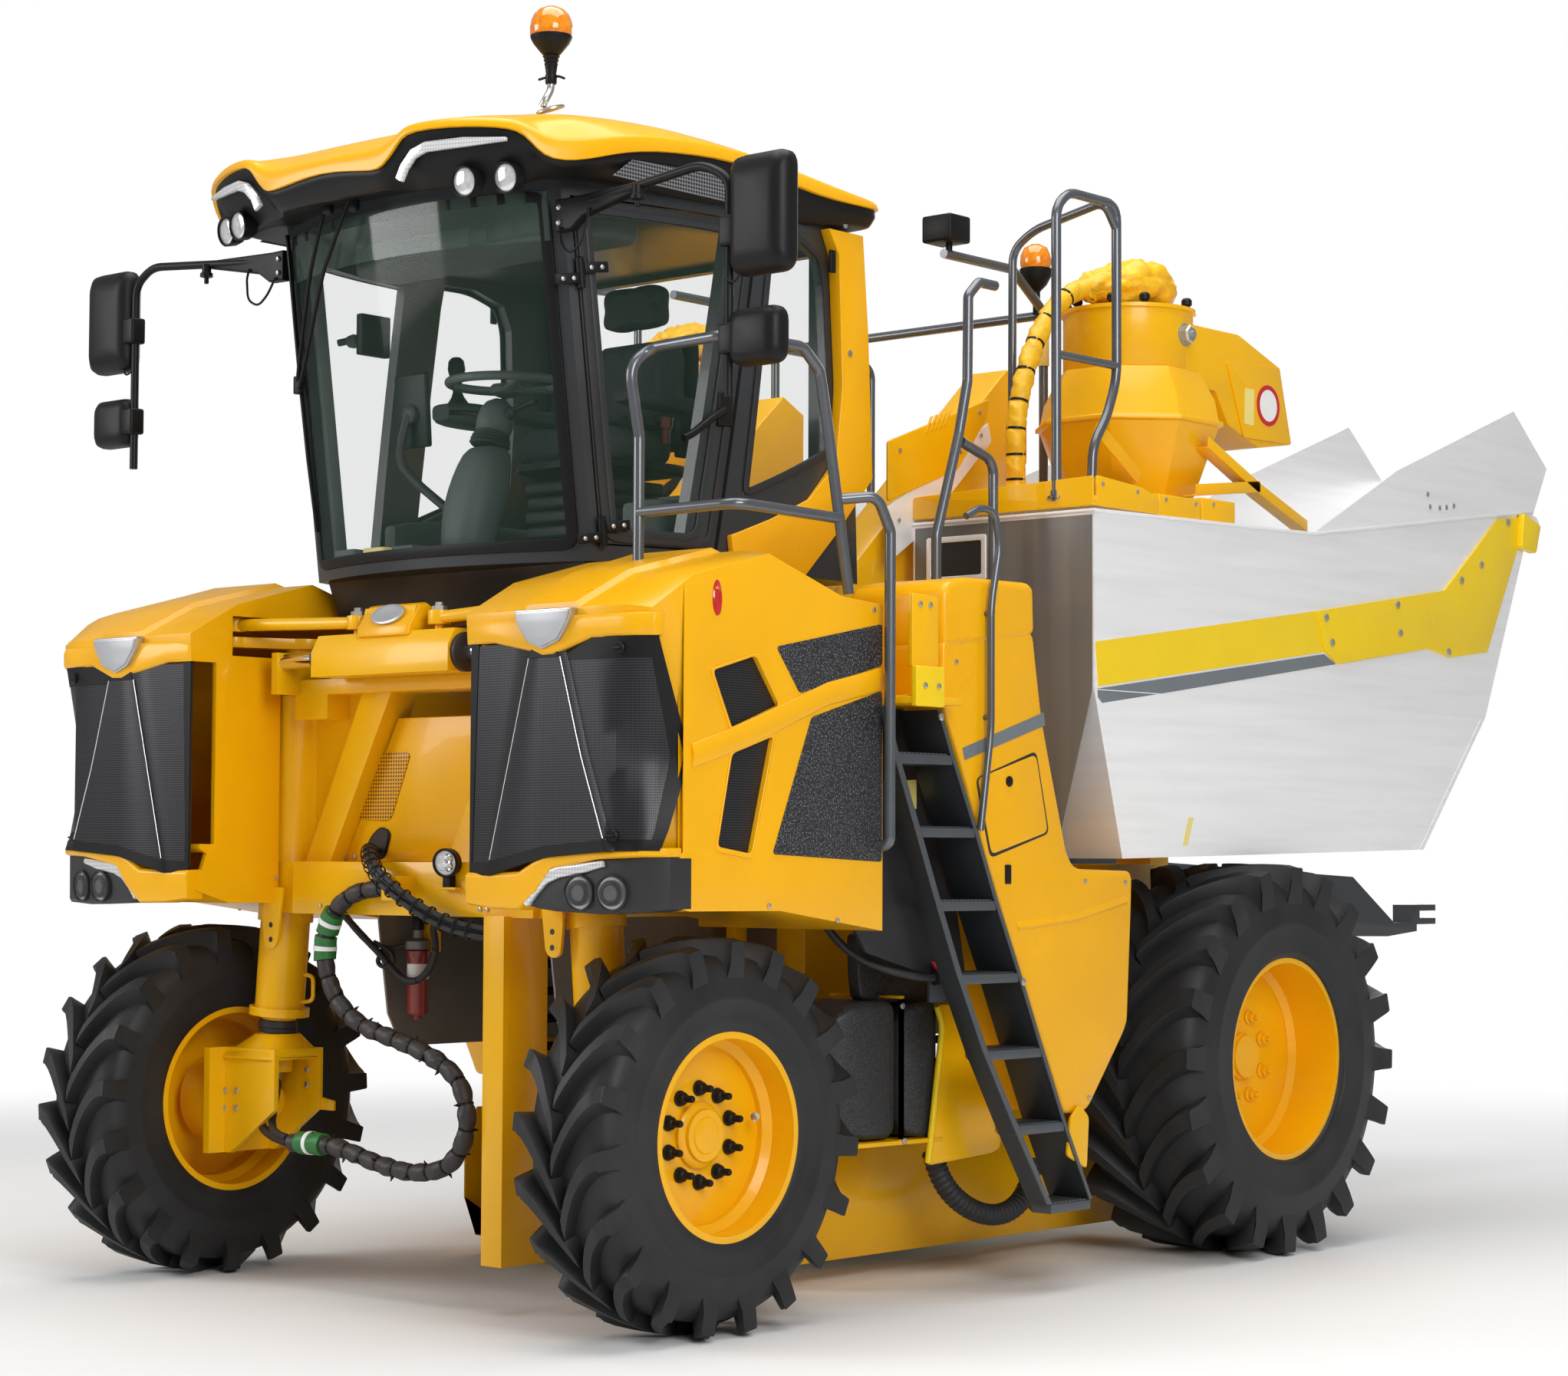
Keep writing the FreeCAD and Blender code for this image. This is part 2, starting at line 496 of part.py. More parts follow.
node("front_cover", prism("front_cover_form", "XZ", [
    ("-slantLowX + 4", "lowBeamTop + fitGap"), ("-slantTopX - 52", "topBeamZ"), ("234", "topBeamZ"),
    ("234", "topBeamZ - 117"), ("56", "lowBeamTop + fitGap")], "fitGap", "gussetThick"))

# rear legs with their hub motors
LEG_COLUMN = "(%s + fitGap)" % BEAM_OUT
both("rear_legs", fuse(
    "rear_leg_form",
    box("rear_column", LEG_COLUMN, LEG_COLUMN + " + beamWidth", "wheelBase - motorRadius",
        "wheelBase + motorRadius", "rearTyreRadius - motorRadius", "lowBeamTop"),
    rod("rear_motor", "motorRadius + hubCapThick", "rearTrack / 2 - spindleSeat - %s - beamWidth + 5" % LEG_COLUMN,
        LEG_COLUMN + " + beamWidth - 5", "wheelBase", "rearTyreRadius", "X"),
    rod("rear_spindle", "spindleRadius", "rearTrack / 2 + rearHubFace - %s - beamWidth" % LEG_COLUMN + SPINDLE_TIP,
        LEG_COLUMN + " + beamWidth", "wheelBase", "rearTyreRadius", "X")))

# tunnel lining: two walls joined by a roof between the low beams
wall_side = [("postDepth", "roofZ"), ("wallRearY", "roofZ"), ("wallRearY", "wallLowZ"),
             ("wallFrontY", "wallLowZ"), ("wallFrontY - 60", "wallLowZ + 110"), ("postDepth", "lowBeamZ - 30")]
node("tunnel_lining", fuse(
    "tunnel_form",
    prism("wall_left", "YZ", wall_side, "wallX", "wallThick"),
    prism("wall_right", "YZ", wall_side, "-wallX - wallThick", "wallThick"),
    box("tunnel_roof", "-wallX - 1", "wallX + 1", "postDepth", "wallRearY", "roofZ - wallThick", "roofZ")))


def shaker_shape():
    """A rack of bowed picking rods between two upright bars that hang from the tunnel's roof."""
    x, bar = val("wallX - shakerBar"), val("shakerBar")
    front, rear, bow = val("shakerFrontY"), val("shakerRearY"), val("shakerBow")
    low, pitch, count = val("shakerLowZ"), val("shakerPitch"), int(val("shakerRods"))
    top = val("roofZ - wallThick - fitGap")
    reach = (rear - front) / 11
    solids = []
    for y in (front, rear):
        solids.append(Part.makeBox(bar, 2 * bar, top - low + bar, Vec(x - bar / 2, y - bar, low - bar)))
    for i in range(count):
        z = low + i * pitch
        points = [Vec(x, front, z), Vec(x, front + reach, z), Vec(x - bow, (front + rear) / 2, z),
                  Vec(x, rear - reach, z), Vec(x, rear, z)]
        solids.append(swept(points, val("shakerRodRadius"), [250, 1200, 250]))
    return solids[0].fuse(solids[1:])


both("shakers", feature("shaker_form", shaker_shape()))

trough_side = [
    ("troughInnerX", "troughLowZ + 260"), ("troughInnerX", "troughLowZ"),
    ("troughOuterX - 60", "troughLowZ"), ("troughOuterX", "troughLowZ + 130"),
    ("troughOuterX", "troughTopZ - 130"), ("troughOuterX - 60", "troughTopZ"),
    ("troughOuterX - 60 - troughSheet", "troughTopZ"), ("troughOuterX - troughSheet", "troughTopZ - 132"),
    ("troughOuterX - troughSheet", "troughLowZ + 132"), ("troughOuterX - 64", "troughLowZ + troughSheet"),
    ("troughInnerX + troughSheet", "troughLowZ + troughSheet"),
    ("troughInnerX + troughSheet", "troughLowZ + 260")]
hangers = [box("trough_hanger_%d" % i, BEAM_OUT + " - 2 * hangerWide", BEAM_OUT + " - hangerWide", at,
               at + " + 60", "troughLowZ + troughSheet / 2", "lowBeamZ - fitGap")
           for i, at in enumerate(("troughFrontY + 10", "wheelBase - 240"))]
both("troughs", fuse("trough_whole", prism("trough_form", "XZ", trough_side, "troughFrontY",
                                           "troughRearY - troughFrontY"), *hangers))


def scales_shape():
    """Sloping catcher plates side by side on one rail along the trough's inner edge."""
    foot, rail = val("troughLowZ + 260"), 24
    front, run = val("troughFrontY"), val("troughRearY - troughFrontY")
    inner, tip, rise = val("troughInnerX"), val("scaleInnerX"), val("scaleRise")
    thick, gap = val("scaleThick"), val("scaleGap")
    count = int(val("scaleCount"))
    pitch = run / count
    solids = [Part.makeBox(rail, run, rail, Vec(inner - rail / 2, front, foot + val("fitGap")))]
    for i in range(count):
        y = front + i * pitch + gap / 2
        low, high = foot + thick, foot + thick + rise / 4
        edge = Part.makePolygon([Vec(inner, y, low), Vec(tip, y, high), Vec(tip, y, high + thick),
                                 Vec(inner, y, low + thick), Vec(inner, y, low)])
        solids.append(Part.Face(edge).extrude(Vec(0, pitch - gap, 0)))
    return solids[0].fuse(solids[1:])


both("catcher_scales", feature("scales_form", scales_shape()))

# elevators: an upright leg beside the beams, then a chute that rises over them to the hopper
CHUTE_Z = "(topBeamTop + fitGap)"
both("elevators", fuse(
    "elevator_form",
    box("elevator_leg", BEAM_OUT + " + fitGap", "elevatorOuterX", "elevatorFootY",
        "elevatorFootY + elevatorDepth", "troughTopZ + 20", "topBeamTop + 120"),
    prism("elevator_chute", "YZ", [
        ("elevatorFootY", CHUTE_Z), ("elevatorFootY", "topBeamTop + 130"),
        ("elevatorTopY - 120", "elevatorTopZ"), ("elevatorTopY", "elevatorTopZ - 60"),
        ("elevatorTopY", "elevatorTopZ - elevatorRise"), ("elevatorFootY + elevatorDepth", CHUTE_Z)],
        "chuteInnerX", "chuteOuterX - chuteInnerX")))

# front pods, open on the inside round the leg and the steering arm

def pod_block(name, inset, x0, x1):
    """The pod's side outline between two X planes, drawn in by an inset."""
    up = "- (%s)" % inset
    return prism(name, "YZ", [
        ("podFrontY + (%s)" % inset, "podNoseZ" + up), ("-285", "podBrowZ" + up), ("33", "podTopZ" + up),
        ("370", "podTopZ - 105" + up), ("podRearY" + up, "podTailZ" + up),
        ("podRearY" + up, "podLowZ - 65 + (%s)" % inset), ("92", "podLowZ + (%s)" % inset),
        ("-302", "podLowZ + 2 + (%s)" % inset), ("-442", "podLowZ + 43 + (%s)" % inset),
        ("-400", "podLowZ + 163 + (%s)" % inset), ("podFrontY + 50 + (%s)" % inset,
                                                   "podLowZ + 178 + (%s)" % inset)], x0, x1)


pod_mouth = box("pod_mouth", "podInnerX - 1", "mouthOuterX", "podFrontY - 1", "podFrontY + 110",
                "mouthLowZ", "mouthTopZ")
pod_leg_room = box("pod_leg_room", "podInnerX - 1", "legRoomX", "-legRoomY", "podRearY - podSheet",
                   "podLowZ - 100", "podTopZ - 220")
pod_arm_room = box("pod_arm_room", "podInnerX - 1", "podInnerX + podSheet + 1", "-armRoomY", "podRearY - podSheet",
                   "armRoomZ", "podBrowZ - 2 * podSheet")
window_top = prism("window_top", "YZ", [("-208", "1940"), ("-23", "1991"), ("82", "1850"), ("-124", "1774")],
                   "podOuterX - podSheet - 1", "podSheet + 2")
window_low = prism("window_low", "YZ", [("-124", "1702"), ("56", "1758"), ("-39", "1414"), ("-185", "1434")],
                   "podOuterX - podSheet - 1", "podSheet + 2")
pod_shell = cut("pod_shell", pod_block("pod_outer", "0", "podInnerX", "podOuterX - podInnerX"),
                pod_block("pod_inner", "podSheet", "podInnerX + podSheet",
                          "podOuterX - podInnerX - 2 * podSheet"),
                pod_mouth, pod_leg_room, pod_arm_room, window_top, window_low)
pod_mount = box("pod_mount", BEAM_OUT + " + fitGap", "podInnerX + podSheet", "podRearY - 140",
                "podRearY - podSheet / 2", "topBeamZ + 10", "topBeamTop - 10")
pair("pod", fuse("pod_form", pod_shell, pod_mount))

GRILLE_Y = "(podFrontY + 8)"
grille = box("grille_panel", "podInnerX + 4", "mouthOuterX - grilleGap", GRILLE_Y, GRILLE_Y + " + grilleThick",
             "mouthLowZ + grilleGap", "mouthTopZ - grilleGap")
pins = [rod("grille_pin_%d" % i, "8", "grilleGap", "podInnerX + 14", GRILLE_Y + " + grilleThick / 2", z)
        for i, z in enumerate(("mouthLowZ + fitGap", "mouthTopZ - grilleGap - fitGap"))]
pair("grille", fuse("grille_form", grille, *pins))
node("engine", box("engine_block", "podOuterX - podSheet - fitGap - engineWidth", "podOuterX - podSheet - fitGap",
                   "podRearY - podSheet - fitGap - engineDepth", "podRearY - podSheet - fitGap",
                   "engineLowZ", "engineLowZ + engineHeight"))

# cab: a curved windscreen and sides padded up along the rake, cut off square behind

CAB_FLOOR = "cabFloorZ"
DOOR_TOP = "(cabTopZ - headDown)"


def cab_block(name, inset):
    """The cab's room outline drawn in by an inset."""
    i = "(%s)" % inset
    plan = [("-cabFrontHalf + " + i, "cabCornerY + " + i), ("cabFrontHalf - " + i, "cabCornerY + " + i),
            ("cabRearHalf - " + i, "cabRearY + cabRake"), ("-cabRearHalf + " + i, "cabRearY + cabRake")]
    leant = prism(name + "_lean", "XY", plan, CAB_FLOOR, "cabTopZ - cabFloorZ",
                  {0: "cabBulge", 1: "cabSideBulge", 3: "cabSideBulge"}, ("-cabRake", "cabTopZ - cabFloorZ"))
    return common(name, leant, box(name + "_bound", "-1000", "1000", "-1000", "cabRearY - " + i,
                                   CAB_FLOOR + " + " + i, "cabTopZ - " + i))


def door_outline(inset):
    """The doorway on the YZ plane, drawn in by an inset; its front edge follows the hinge line."""
    i = "(%s)" % inset
    low, top = "(sillUp + %s)" % i, "(cabTopZ - headDown - cabFloorZ - %s)" % i
    front = "(hingeEdgeY + %s - cabRake * %s / (cabTopZ - cabFloorZ))"
    rear = "(doorRearY - 2.5 * %s + doorFlare * %s)"
    return [(front % (i, low), "cabFloorZ + " + low), (rear % (i, low), "cabFloorZ + " + low),
            (rear % (i, top), "cabFloorZ + " + top), (front % (i, top), "cabFloorZ + " + top)]


hull = cut("cab_hull", cab_block("cab_outer", "0"), cab_block("cab_inner", "cabWall"))
hatch = prism("right_window", "YZ", door_outline("doorRim"), "-1000", "600")
quarter = [("592", "2560"), ("704", "3340"), ("722", "3430"), ("860", "3430"), ("985", "3385"),
           ("1020", "3300"), ("1040", "2963"), ("1032", "2745")]
cab_cuts = [
    prism("doorway", "YZ", door_outline("0"), "cabFrontHalf - 60", "600"), hatch,
    prism("quarter_left", "YZ", quarter, "400", "600"), prism("quarter_right", "YZ", quarter, "-1000", "600"),
    box("windscreen_cut", "-cabFrontHalf + pillarWide", "cabFrontHalf - pillarWide", "-500", "cabCornerY + 20",
        "cabFloorZ + pillarWide", DOOR_TOP),
    box("rear_cut", "-cabRearHalf + 2 * pillarWide", "cabRearHalf - 2 * pillarWide", "cabRearY - 100",
        "cabRearY + 1", "cabFloorZ + 5 * pillarWide", DOOR_TOP)]
tub = prism("cab_tub", "YZ", [("60", "cabFloorZ + 10"), ("110", "tubLowZ"), ("1090", "tubLowZ"),
                              ("1130", "cabFloorZ + 10")], "-tubHalf", "2 * tubHalf")
mounts = [box("cab_mount_%s_%d" % (side, i), low, low + " + mountWide", at, at + " + mountWide",
              "topBeamTop + fitGap", "tubLowZ + 5")
          for side, low in (("left", "mountX"), ("right", "-mountX - mountWide"))
          for i, at in enumerate(("150", "860"))]


def on_hinge(name, *pieces):
    """Pieces drawn upright on the door's hinge line, X outward and Y rearward, set on the raked line."""
    yawed = fuse(name + "_joined", *pieces) if len(pieces) > 1 else pieces[0]
    yawed = group(name + "_yawed", yawed)
    yawed.Placement.Rotation = FreeCAD.Rotation(Vec(0, 0, 1), -1)
    bind(yawed, Placement__Rotation__Angle="-hingeYaw")
    raked = group(name, yawed)
    raked.Placement.Rotation = FreeCAD.Rotation(Vec(1, 0, 0), 1)
    bind(raked, Placement__Rotation__Angle="atan(cabRake / (cabTopZ - cabFloorZ))")
    return place(raked, "hingeX", "hingeY", CAB_FLOOR)


HINGE_UP = ("hingeLow", "hingeHigh")
shell_lugs = []
for i, up in enumerate(HINGE_UP):
    shell_lugs.append(rod("eye_%d" % i, "hingeEye", "hingeLug", "0", "0", up))
    shell_lugs.append(box("eye_arm_%d" % i, "6 - hingeOut - cabWall / 2", "2", "-hingeEye - 12", "-hingeEye + 4", up,
                          up + " + hingeLug"))
pin_room = on_hinge("pin_room", rod("pin_hole", "hingeRadius + fitGap", "2000", "0", "0", "-500"))
whole_cab = cut("whole_cab", fuse("cab_whole_form", hull, tub, *mounts), *cab_cuts)
node("cab_shell", cut("cab_form", fuse("cab_with_eyes", whole_cab, on_hinge("shell_eyes", *shell_lugs)), pin_room))

door_lugs = []
for i, up in enumerate(HINGE_UP):
    door_lugs.append(rod("door_pin_%d" % i, "hingeRadius", "3 * hingeLug", "0", "0", up + " - hingeLug / 2"))
    door_lugs.append(rod("door_knuckle_%d" % i, "hingeEye", "hingeLug", "0", "0", up + " + hingeLug + fitGap"))
    door_lugs.append(box("door_arm_%d" % i, "-hingeOut - cabWall / 2", "2", "hingeEye - 4", "hingeEye + 16",
                         up + " + hingeLug + fitGap", up + " + 2 * hingeLug + fitGap"))
door_frame = cut("door_frame",
                 common("door_slab", hull, prism("door_form", "YZ", door_outline("doorGap"), "cabFrontHalf - 15", "600")),
                 prism("door_window", "YZ", door_outline("doorGap + doorRim"), "400", "600"))
node("cab_door", fuse("cab_door_form", door_frame, on_hinge("door_hinges", *door_lugs)))

# body panel that wraps the cab's rear corners
fairing_side = [("524", "2424"), ("712", "2492"), ("900", "2572"), ("1040", "2700"), ("1070", "2963"),
                ("1050", "3400"), ("1000", "3480"), ("1175", "3480"), ("1204", "3153"), ("1228", "2667"),
                ("1050", "2476"), ("864", "2300"), ("600", "2290"), ("540", "2330")]
both("cab_fairings", cut("fairing_form", prism("fairing_block", "YZ", fairing_side, "cabRearHalf - 20",
                                               "fairingOuterX - cabRearHalf + 20"),
                         cab_block("fairing_room", "-fitGap")))

# roof: a lobed plan, a domed side outline and rounded flanks
roof_plan = [("-roofHalf", "-130"), ("-775", "-280"), ("-690", "-385"), ("-430", "-492"), ("-262", "-512"),
             ("0", "roofFrontY"), ("262", "-512"), ("430", "-492"), ("690", "-385"), ("775", "-280"),
             ("roofHalf", "-130"), ("roofHalf", "roofRearY - 75"), ("roofHalf - 70", "roofRearY"),
             ("-roofHalf + 70", "roofRearY"), ("-roofHalf", "roofRearY - 75")]
roof_side = [("roofFrontY", "cabTopZ - 20"), ("roofFrontY", "cabTopZ + 40"), ("-440", "cabTopZ + 120"),
             ("-160", "roofTopZ - 23"), ("300", "roofTopZ"), ("900", "roofTopZ - 45"),
             ("roofRearY", "roofTopZ - 155"), ("roofRearY", "cabTopZ + fitGap"),
             ("-250", "cabTopZ + fitGap"), ("-300", "cabTopZ - 20")]
roof_cross = [("-roofHalf", "cabTopZ - 30"), ("roofHalf", "cabTopZ - 30"), ("roofHalf", "roofTopZ - 100"),
              ("roofHalf - 110", "roofTopZ - 20"), ("roofHalf - 290", "roofTopZ + 5"),
              ("-roofHalf + 290", "roofTopZ + 5"), ("-roofHalf + 110", "roofTopZ - 20"),
              ("-roofHalf", "roofTopZ - 100")]
node("cab_roof", common("roof_form",
                        prism("roof_plan", "XY", roof_plan, "cabTopZ - 30", "400"),
                        prism("roof_side", "YZ", roof_side, "-roofHalf", "2 * roofHalf"),
                        prism("roof_cross", "XZ", roof_cross, "roofFrontY - 10", "2000")))


def path(*points):
    """Points of a bar as vectors."""
    return [Vec(*point) for point in points]


def mirror_shape():
    """An arm from the cab's front corner, an upright tube and two mirror heads."""
    tube = val("mirrorTube")
    x, y, top = val("mirrorX"), val("mirrorY"), val("cabTopZ - headDown")
    arm = swept(path((640, -100, top - 55), (x - 100, y - 8, top - 8), (x, y, top - 60), (x, y, top - 700)),
                tube, [60, 30])
    upper = Part.makeBox(230, 80, 355, Vec(x + 9, y - 40, top - 355))
    lower = Part.makeBox(200, 70, 170, Vec(x + 9, y - 35, top - 620))
    foot = Part.makeBox(110, 60, 60, Vec(590, -130, top - 85))
    return arm.fuse([upper, lower, foot])


both("mirrors", cut("mirror_form", feature("mirror_whole", mirror_shape()), cab_block("mirror_room", "-fitGap")))


def beacon_shape():
    """The front beacon on its mast over the roof, and the rear one on its pole."""
    roof = val("roofTopZ")
    front = Part.makeCylinder(14, 200, Vec(560, -60, roof - 10))
    lamp = Part.makeCylinder(52, 120, Vec(560, -60, roof + 180))
    return front.fuse([lamp, Part.makeBox(100, 80, 12, Vec(510, -100, roof - 15.7))])


node("beacon", feature("beacon_form", beacon_shape()))

# handrails: the guard round the driver's step, and the guard on the left tower

def rails_shape():
    """Bent tubes: the guard with its branches, and the tower's post with a brace that just meets it."""
    tube = val("railRadius")
    pod, rear = val("podTopZ"), val("podRearY")
    guard = swept(path((985, -100, pod - 29), (985, -100, pod + 350), (985, -145, pod + 560), (1005, -70, pod + 620),
                       (1340, -100, pod + 622), (1345, 230, pod + 625), (1345, 310, pod + 560),
                       (1345, 350, pod + 390), (1345, 450, pod - 105)), tube, [60, 80, 45, 60, 60, 45, 60, 60])
    middle = swept(path((985, -100, pod + 122), (1345, -58, pod + 130), (1345, 412, pod + 122)), tube, 60)
    drop = swept(path((1345, 404, pod + 180), (1415, 500, pod + 193), (1430, rear - 21, pod + 90),
                      (1430, rear - 21, pod - 870), (val("podOuterX") + 0.4, rear - 21, pod - 870)),
                 tube, [45, 45, 26])
    tower = val("towerTopZ")
    post = swept(path((1150, 1126, tower + 0.3), (1150, 1126, tower + 160), (1150, 1245, tower + 503), (1150, 1290, tower + 680),
                      (1150, 1294, tower + 966), (1150, 1350, tower + 1018), (1150, 1440, tower + 1018)),
                 tube, [60, 60, 60, 30, 30])
    branch = swept(path((1150, 1257, tower + 478), (1150, 1430, tower + 430), (1150, 1430, tower + 0.3)), tube, 60)
    return Part.makeCompound([guard.fuse([middle, drop]), post, branch])


node("handrails", feature("rails_form", rails_shape()))


def rear_rails_shape():
    """The rail over the machine's back, its posts on the deck, and a lamp pole."""
    tube, deck = val("railRadius"), val("deckZ")
    solids = []
    for x in (650, -650):
        solids.append(swept(path((x, 2390, deck + 0.3), (x, 2390, deck + 700), (x, 2200, deck + 830),
                                 (x, 1799, deck + 830)), tube, [60, 60]))
        solids.append(swept(path((x, 2980, deck + 0.3), (x, 2980, deck + 700), (x, 2384, deck + 700)), tube, 60))
    cross = swept(path((650, 2400, deck + 690), (-650, 2400, deck + 690)), tube, 0)
    return cross.fuse(solids)


node("rear_rails", feature("rear_rails_form", rear_rails_shape()))

# hoppers: tapering bins that tip on pins at their upper rear corner
HOPPER_FLOOR = "(hopperFrontY + 370)"
hopper_side = [("hopperFrontY", "hopperTopZ"), ("hopperFrontY", "hopperBendZ"), (HOPPER_FLOOR, "hopperLowZ"),
               ("3950", "hopperLowZ + 40"), ("hopperPivotY - 55", "hopperTopZ + 150"),
               ("hopperPivotY + 110", "hopperPivotZ + 245"), ("hopperPivotY - 161", "hopperPivotZ + 450"),
               ("3538", "hopperTopZ + 310"), ("2950", "hopperTopZ + 30")]
hopper_outer = prism("hopper_outer", "YZ", hopper_side, "hopperInnerX", "hopperOuterX - hopperInnerX")
hopper_taper = prism("hopper_taper", "XZ", [
    ("hopperInnerX", "hopperLowZ - 10"), ("hopperLowX", "hopperLowZ - 10"), ("hopperOuterX", "hopperBendZ"),
    ("hopperOuterX", "hopperTopZ + 900"), ("hopperInnerX", "hopperTopZ + 900")], "1000", "4500")
room_side = [("hopperFrontY + hopperSheet", "hopperTopZ + 900"),
             ("hopperFrontY + hopperSheet", "hopperBendZ + hopperSheet / 2"),
             (HOPPER_FLOOR + " + hopperSheet", "hopperLowZ + hopperSheet"),
             ("3950 - hopperSheet", "hopperLowZ + 40 + hopperSheet"),
             ("hopperPivotY - 64", "hopperTopZ + 150"), ("hopperPivotY + 100", "hopperPivotZ + 245"),
             ("hopperPivotY", "hopperTopZ + 900")]
hopper_room = prism("hopper_room", "YZ", room_side, "hopperInnerX + hopperSheet",
                    "hopperOuterX - hopperInnerX - 2 * hopperSheet")
room_taper = prism("room_taper", "XZ", [
    ("hopperInnerX", "hopperLowZ - 10"), ("hopperLowX - hopperSheet", "hopperLowZ - 10"),
    ("hopperOuterX - hopperSheet", "hopperBendZ"), ("hopperOuterX - hopperSheet", "hopperTopZ + 1000"),
    ("hopperInnerX", "hopperTopZ + 1000")], "1000", "4500")
pin_seat = rod("hopper_pin_hole", "pivotRadius + fitGap", "120", "hopperInnerX - 1", "hopperPivotY",
               "hopperPivotZ", "X")
pivot_tube = rod("pivot_tube", "pivotTube", "hopperOuterX - hopperInnerX", "hopperInnerX", "hopperPivotY",
                 "hopperPivotZ", "X")
hopper_shell = cut("hopper_shell", common("hopper_block", hopper_outer, hopper_taper),
                   common("hopper_space", hopper_room, room_taper))
pair("hopper", cut("hopper_form", fuse("hopper_with_tube", hopper_shell, pivot_tube), pin_seat))

# walkway over each hopper's front end, with its guard


def guard_shape():
    """A checker deck on the hopper's rim with a bent guard along its outer side."""
    tube, deck, thick = val("railRadius"), val("hopperTopZ + 9"), val("walkThick")
    front, rear = val("hopperFrontY"), val("walkRearY")
    inner, outer, x, top = val("hopperInnerX"), val("hopperOuterX"), val("guardX"), val("guardTopZ")
    solids = [Part.makeBox(outer - inner, rear - front, thick, Vec(inner, front, deck))]
    front, rear = front + 10, rear - 20
    solids.append(swept(path((x, front, deck + 8), (x, front, top - 60), (x, front + 70, top), (x, rear, top),
                             (x, rear, deck + 8)), tube, [60, 40, 60]))
    solids.append(swept(path((x, front, deck + 520), (x, rear, deck + 520)), tube - 2, 0))
    solids.append(swept(path((x, rear - 70, top), (inner + 300, rear - 70, top - 60),
                             (inner + 210, rear - 70, top - 120), (inner + 206, rear - 70, deck + 8)),
                        tube - 2, [60, 60]))
    return solids[0].fuse(solids[1:])


pair("walkway", feature("walkway_form", guard_shape()))

# extraction fans over the hoppers, each with its hood, duct and hose
hood_low = doc.addObject("Part::Cone", "hood_low")
bind(hood_low, Radius1="sleeveRadius + 80", Radius2="hoodRadius", Height="hoodZ - hoodLowZ")
place(hood_low, "fanX", "fanY", "hoodLowZ")
hood_top = doc.addObject("Part::Cone", "hood_top")
bind(hood_top, Radius1="hoodRadius", Radius2="fanRadius", Height="fanLowZ - hoodZ")
place(hood_top, "fanX", "fanY", "hoodZ")
duct_side = [("fanY", "fanLowZ - 59"), ("fanY", "fanTopZ - 53"), ("fanY + 374", "fanTopZ - 55"),
             ("fanY + 643", "fanTopZ - 134"), ("fanY + 707", "hoodZ - 16"), ("fanY + 412", "hoodZ - 10"),
             ("fanY + 220", "fanLowZ - 59")]


def fan_hose_shape():
    """The hose from the fan's cap forward and down to the walkway."""
    top, deck = val("fanTopZ"), val("hopperTopZ + 9 + walkThick + fitGap")
    y = val("fanY")
    points = path((1000, y - 20, top + 90), (1000, y - 160, top + 90), (1000, y - 340, top - 20),
                  (1000, y - 500, top - 250), (1000, y - 588, top - 450), (1000, y - 588, deck))
    return swept(points, val("fanHoseRadius"), [150, 180, 200, 120])


pair("fan", fuse("fan_form",
                 rod("fan_drum", "fanRadius", "fanTopZ - fanLowZ", "fanX", "fanY", "fanLowZ"),
                 hood_low, hood_top,
                 prism("fan_duct", "YZ", duct_side, "fanX", "fanRadius"),
                 rod("fan_cap", "sleeveRadius", "sleeveTopZ - fanTopZ + 5", "fanX", "fanY", "fanTopZ - 5"),
                 box("fan_foot", "hopperInnerX + hopperSheet + fitGap", "hopperOuterX - hopperSheet - fitGap",
                     "fanY - 60", "fanY + 60", "hopperTopZ - 20", "hoodLowZ + 20"),
                 feature("fan_hose", fan_hose_shape())))

# rear frame that carries the hopper pivots, and the drawbar
arm_side = [("beamRearY - 150", "topBeamZ"), ("beamRearY", "topBeamZ"), ("hopperPivotY + 70", "hopperPivotZ - 40"),
            ("hopperPivotY + 70", "hopperPivotZ + 60"), ("hopperPivotY - 80", "hopperPivotZ + 60"),
            ("beamRearY - 150", "topBeamTop")]
node("rear_frame", fuse(
    "rear_frame_form",
    prism("rear_arm_left", "YZ", arm_side, BEAM_OUT + " + fitGap", "armPlate"),
    prism("rear_arm_right", "YZ", arm_side, "-" + BEAM_OUT + " - fitGap - armPlate", "armPlate"),
    rod("rear_frame_tie", "2 * pivotRadius", "2 * %s + 4" % BEAM_OUT, "-%s - 2" % BEAM_OUT, "hopperPivotY",
        "hopperPivotZ", "X"),
    rod("rear_pins", "pivotRadius", "2 * (%s + 180)" % BEAM_OUT, "-%s - 180" % BEAM_OUT, "hopperPivotY",
        "hopperPivotZ", "X")))
drawbar = prism("drawbar_form", "YZ", [
    ("beamRearY + fitGap", "lowBeamZ + 20"), ("beamRearY + fitGap", "topBeamTop"),
    ("beamRearY + 120", "topBeamTop"), ("beamRearY + 500", "lowBeamTop + 15"), ("5500", "lowBeamTop - 55"),
    ("5860", "jawLowZ + 10"), ("6060", "jawLowZ + 10"), ("6060", "jawLowZ - 30"), ("5800", "jawLowZ - 50"),
    ("4600", "jawLowZ - 30"), ("beamRearY + 240", "lowBeamZ + 20")], "-drawbarHalf", "2 * drawbarHalf")
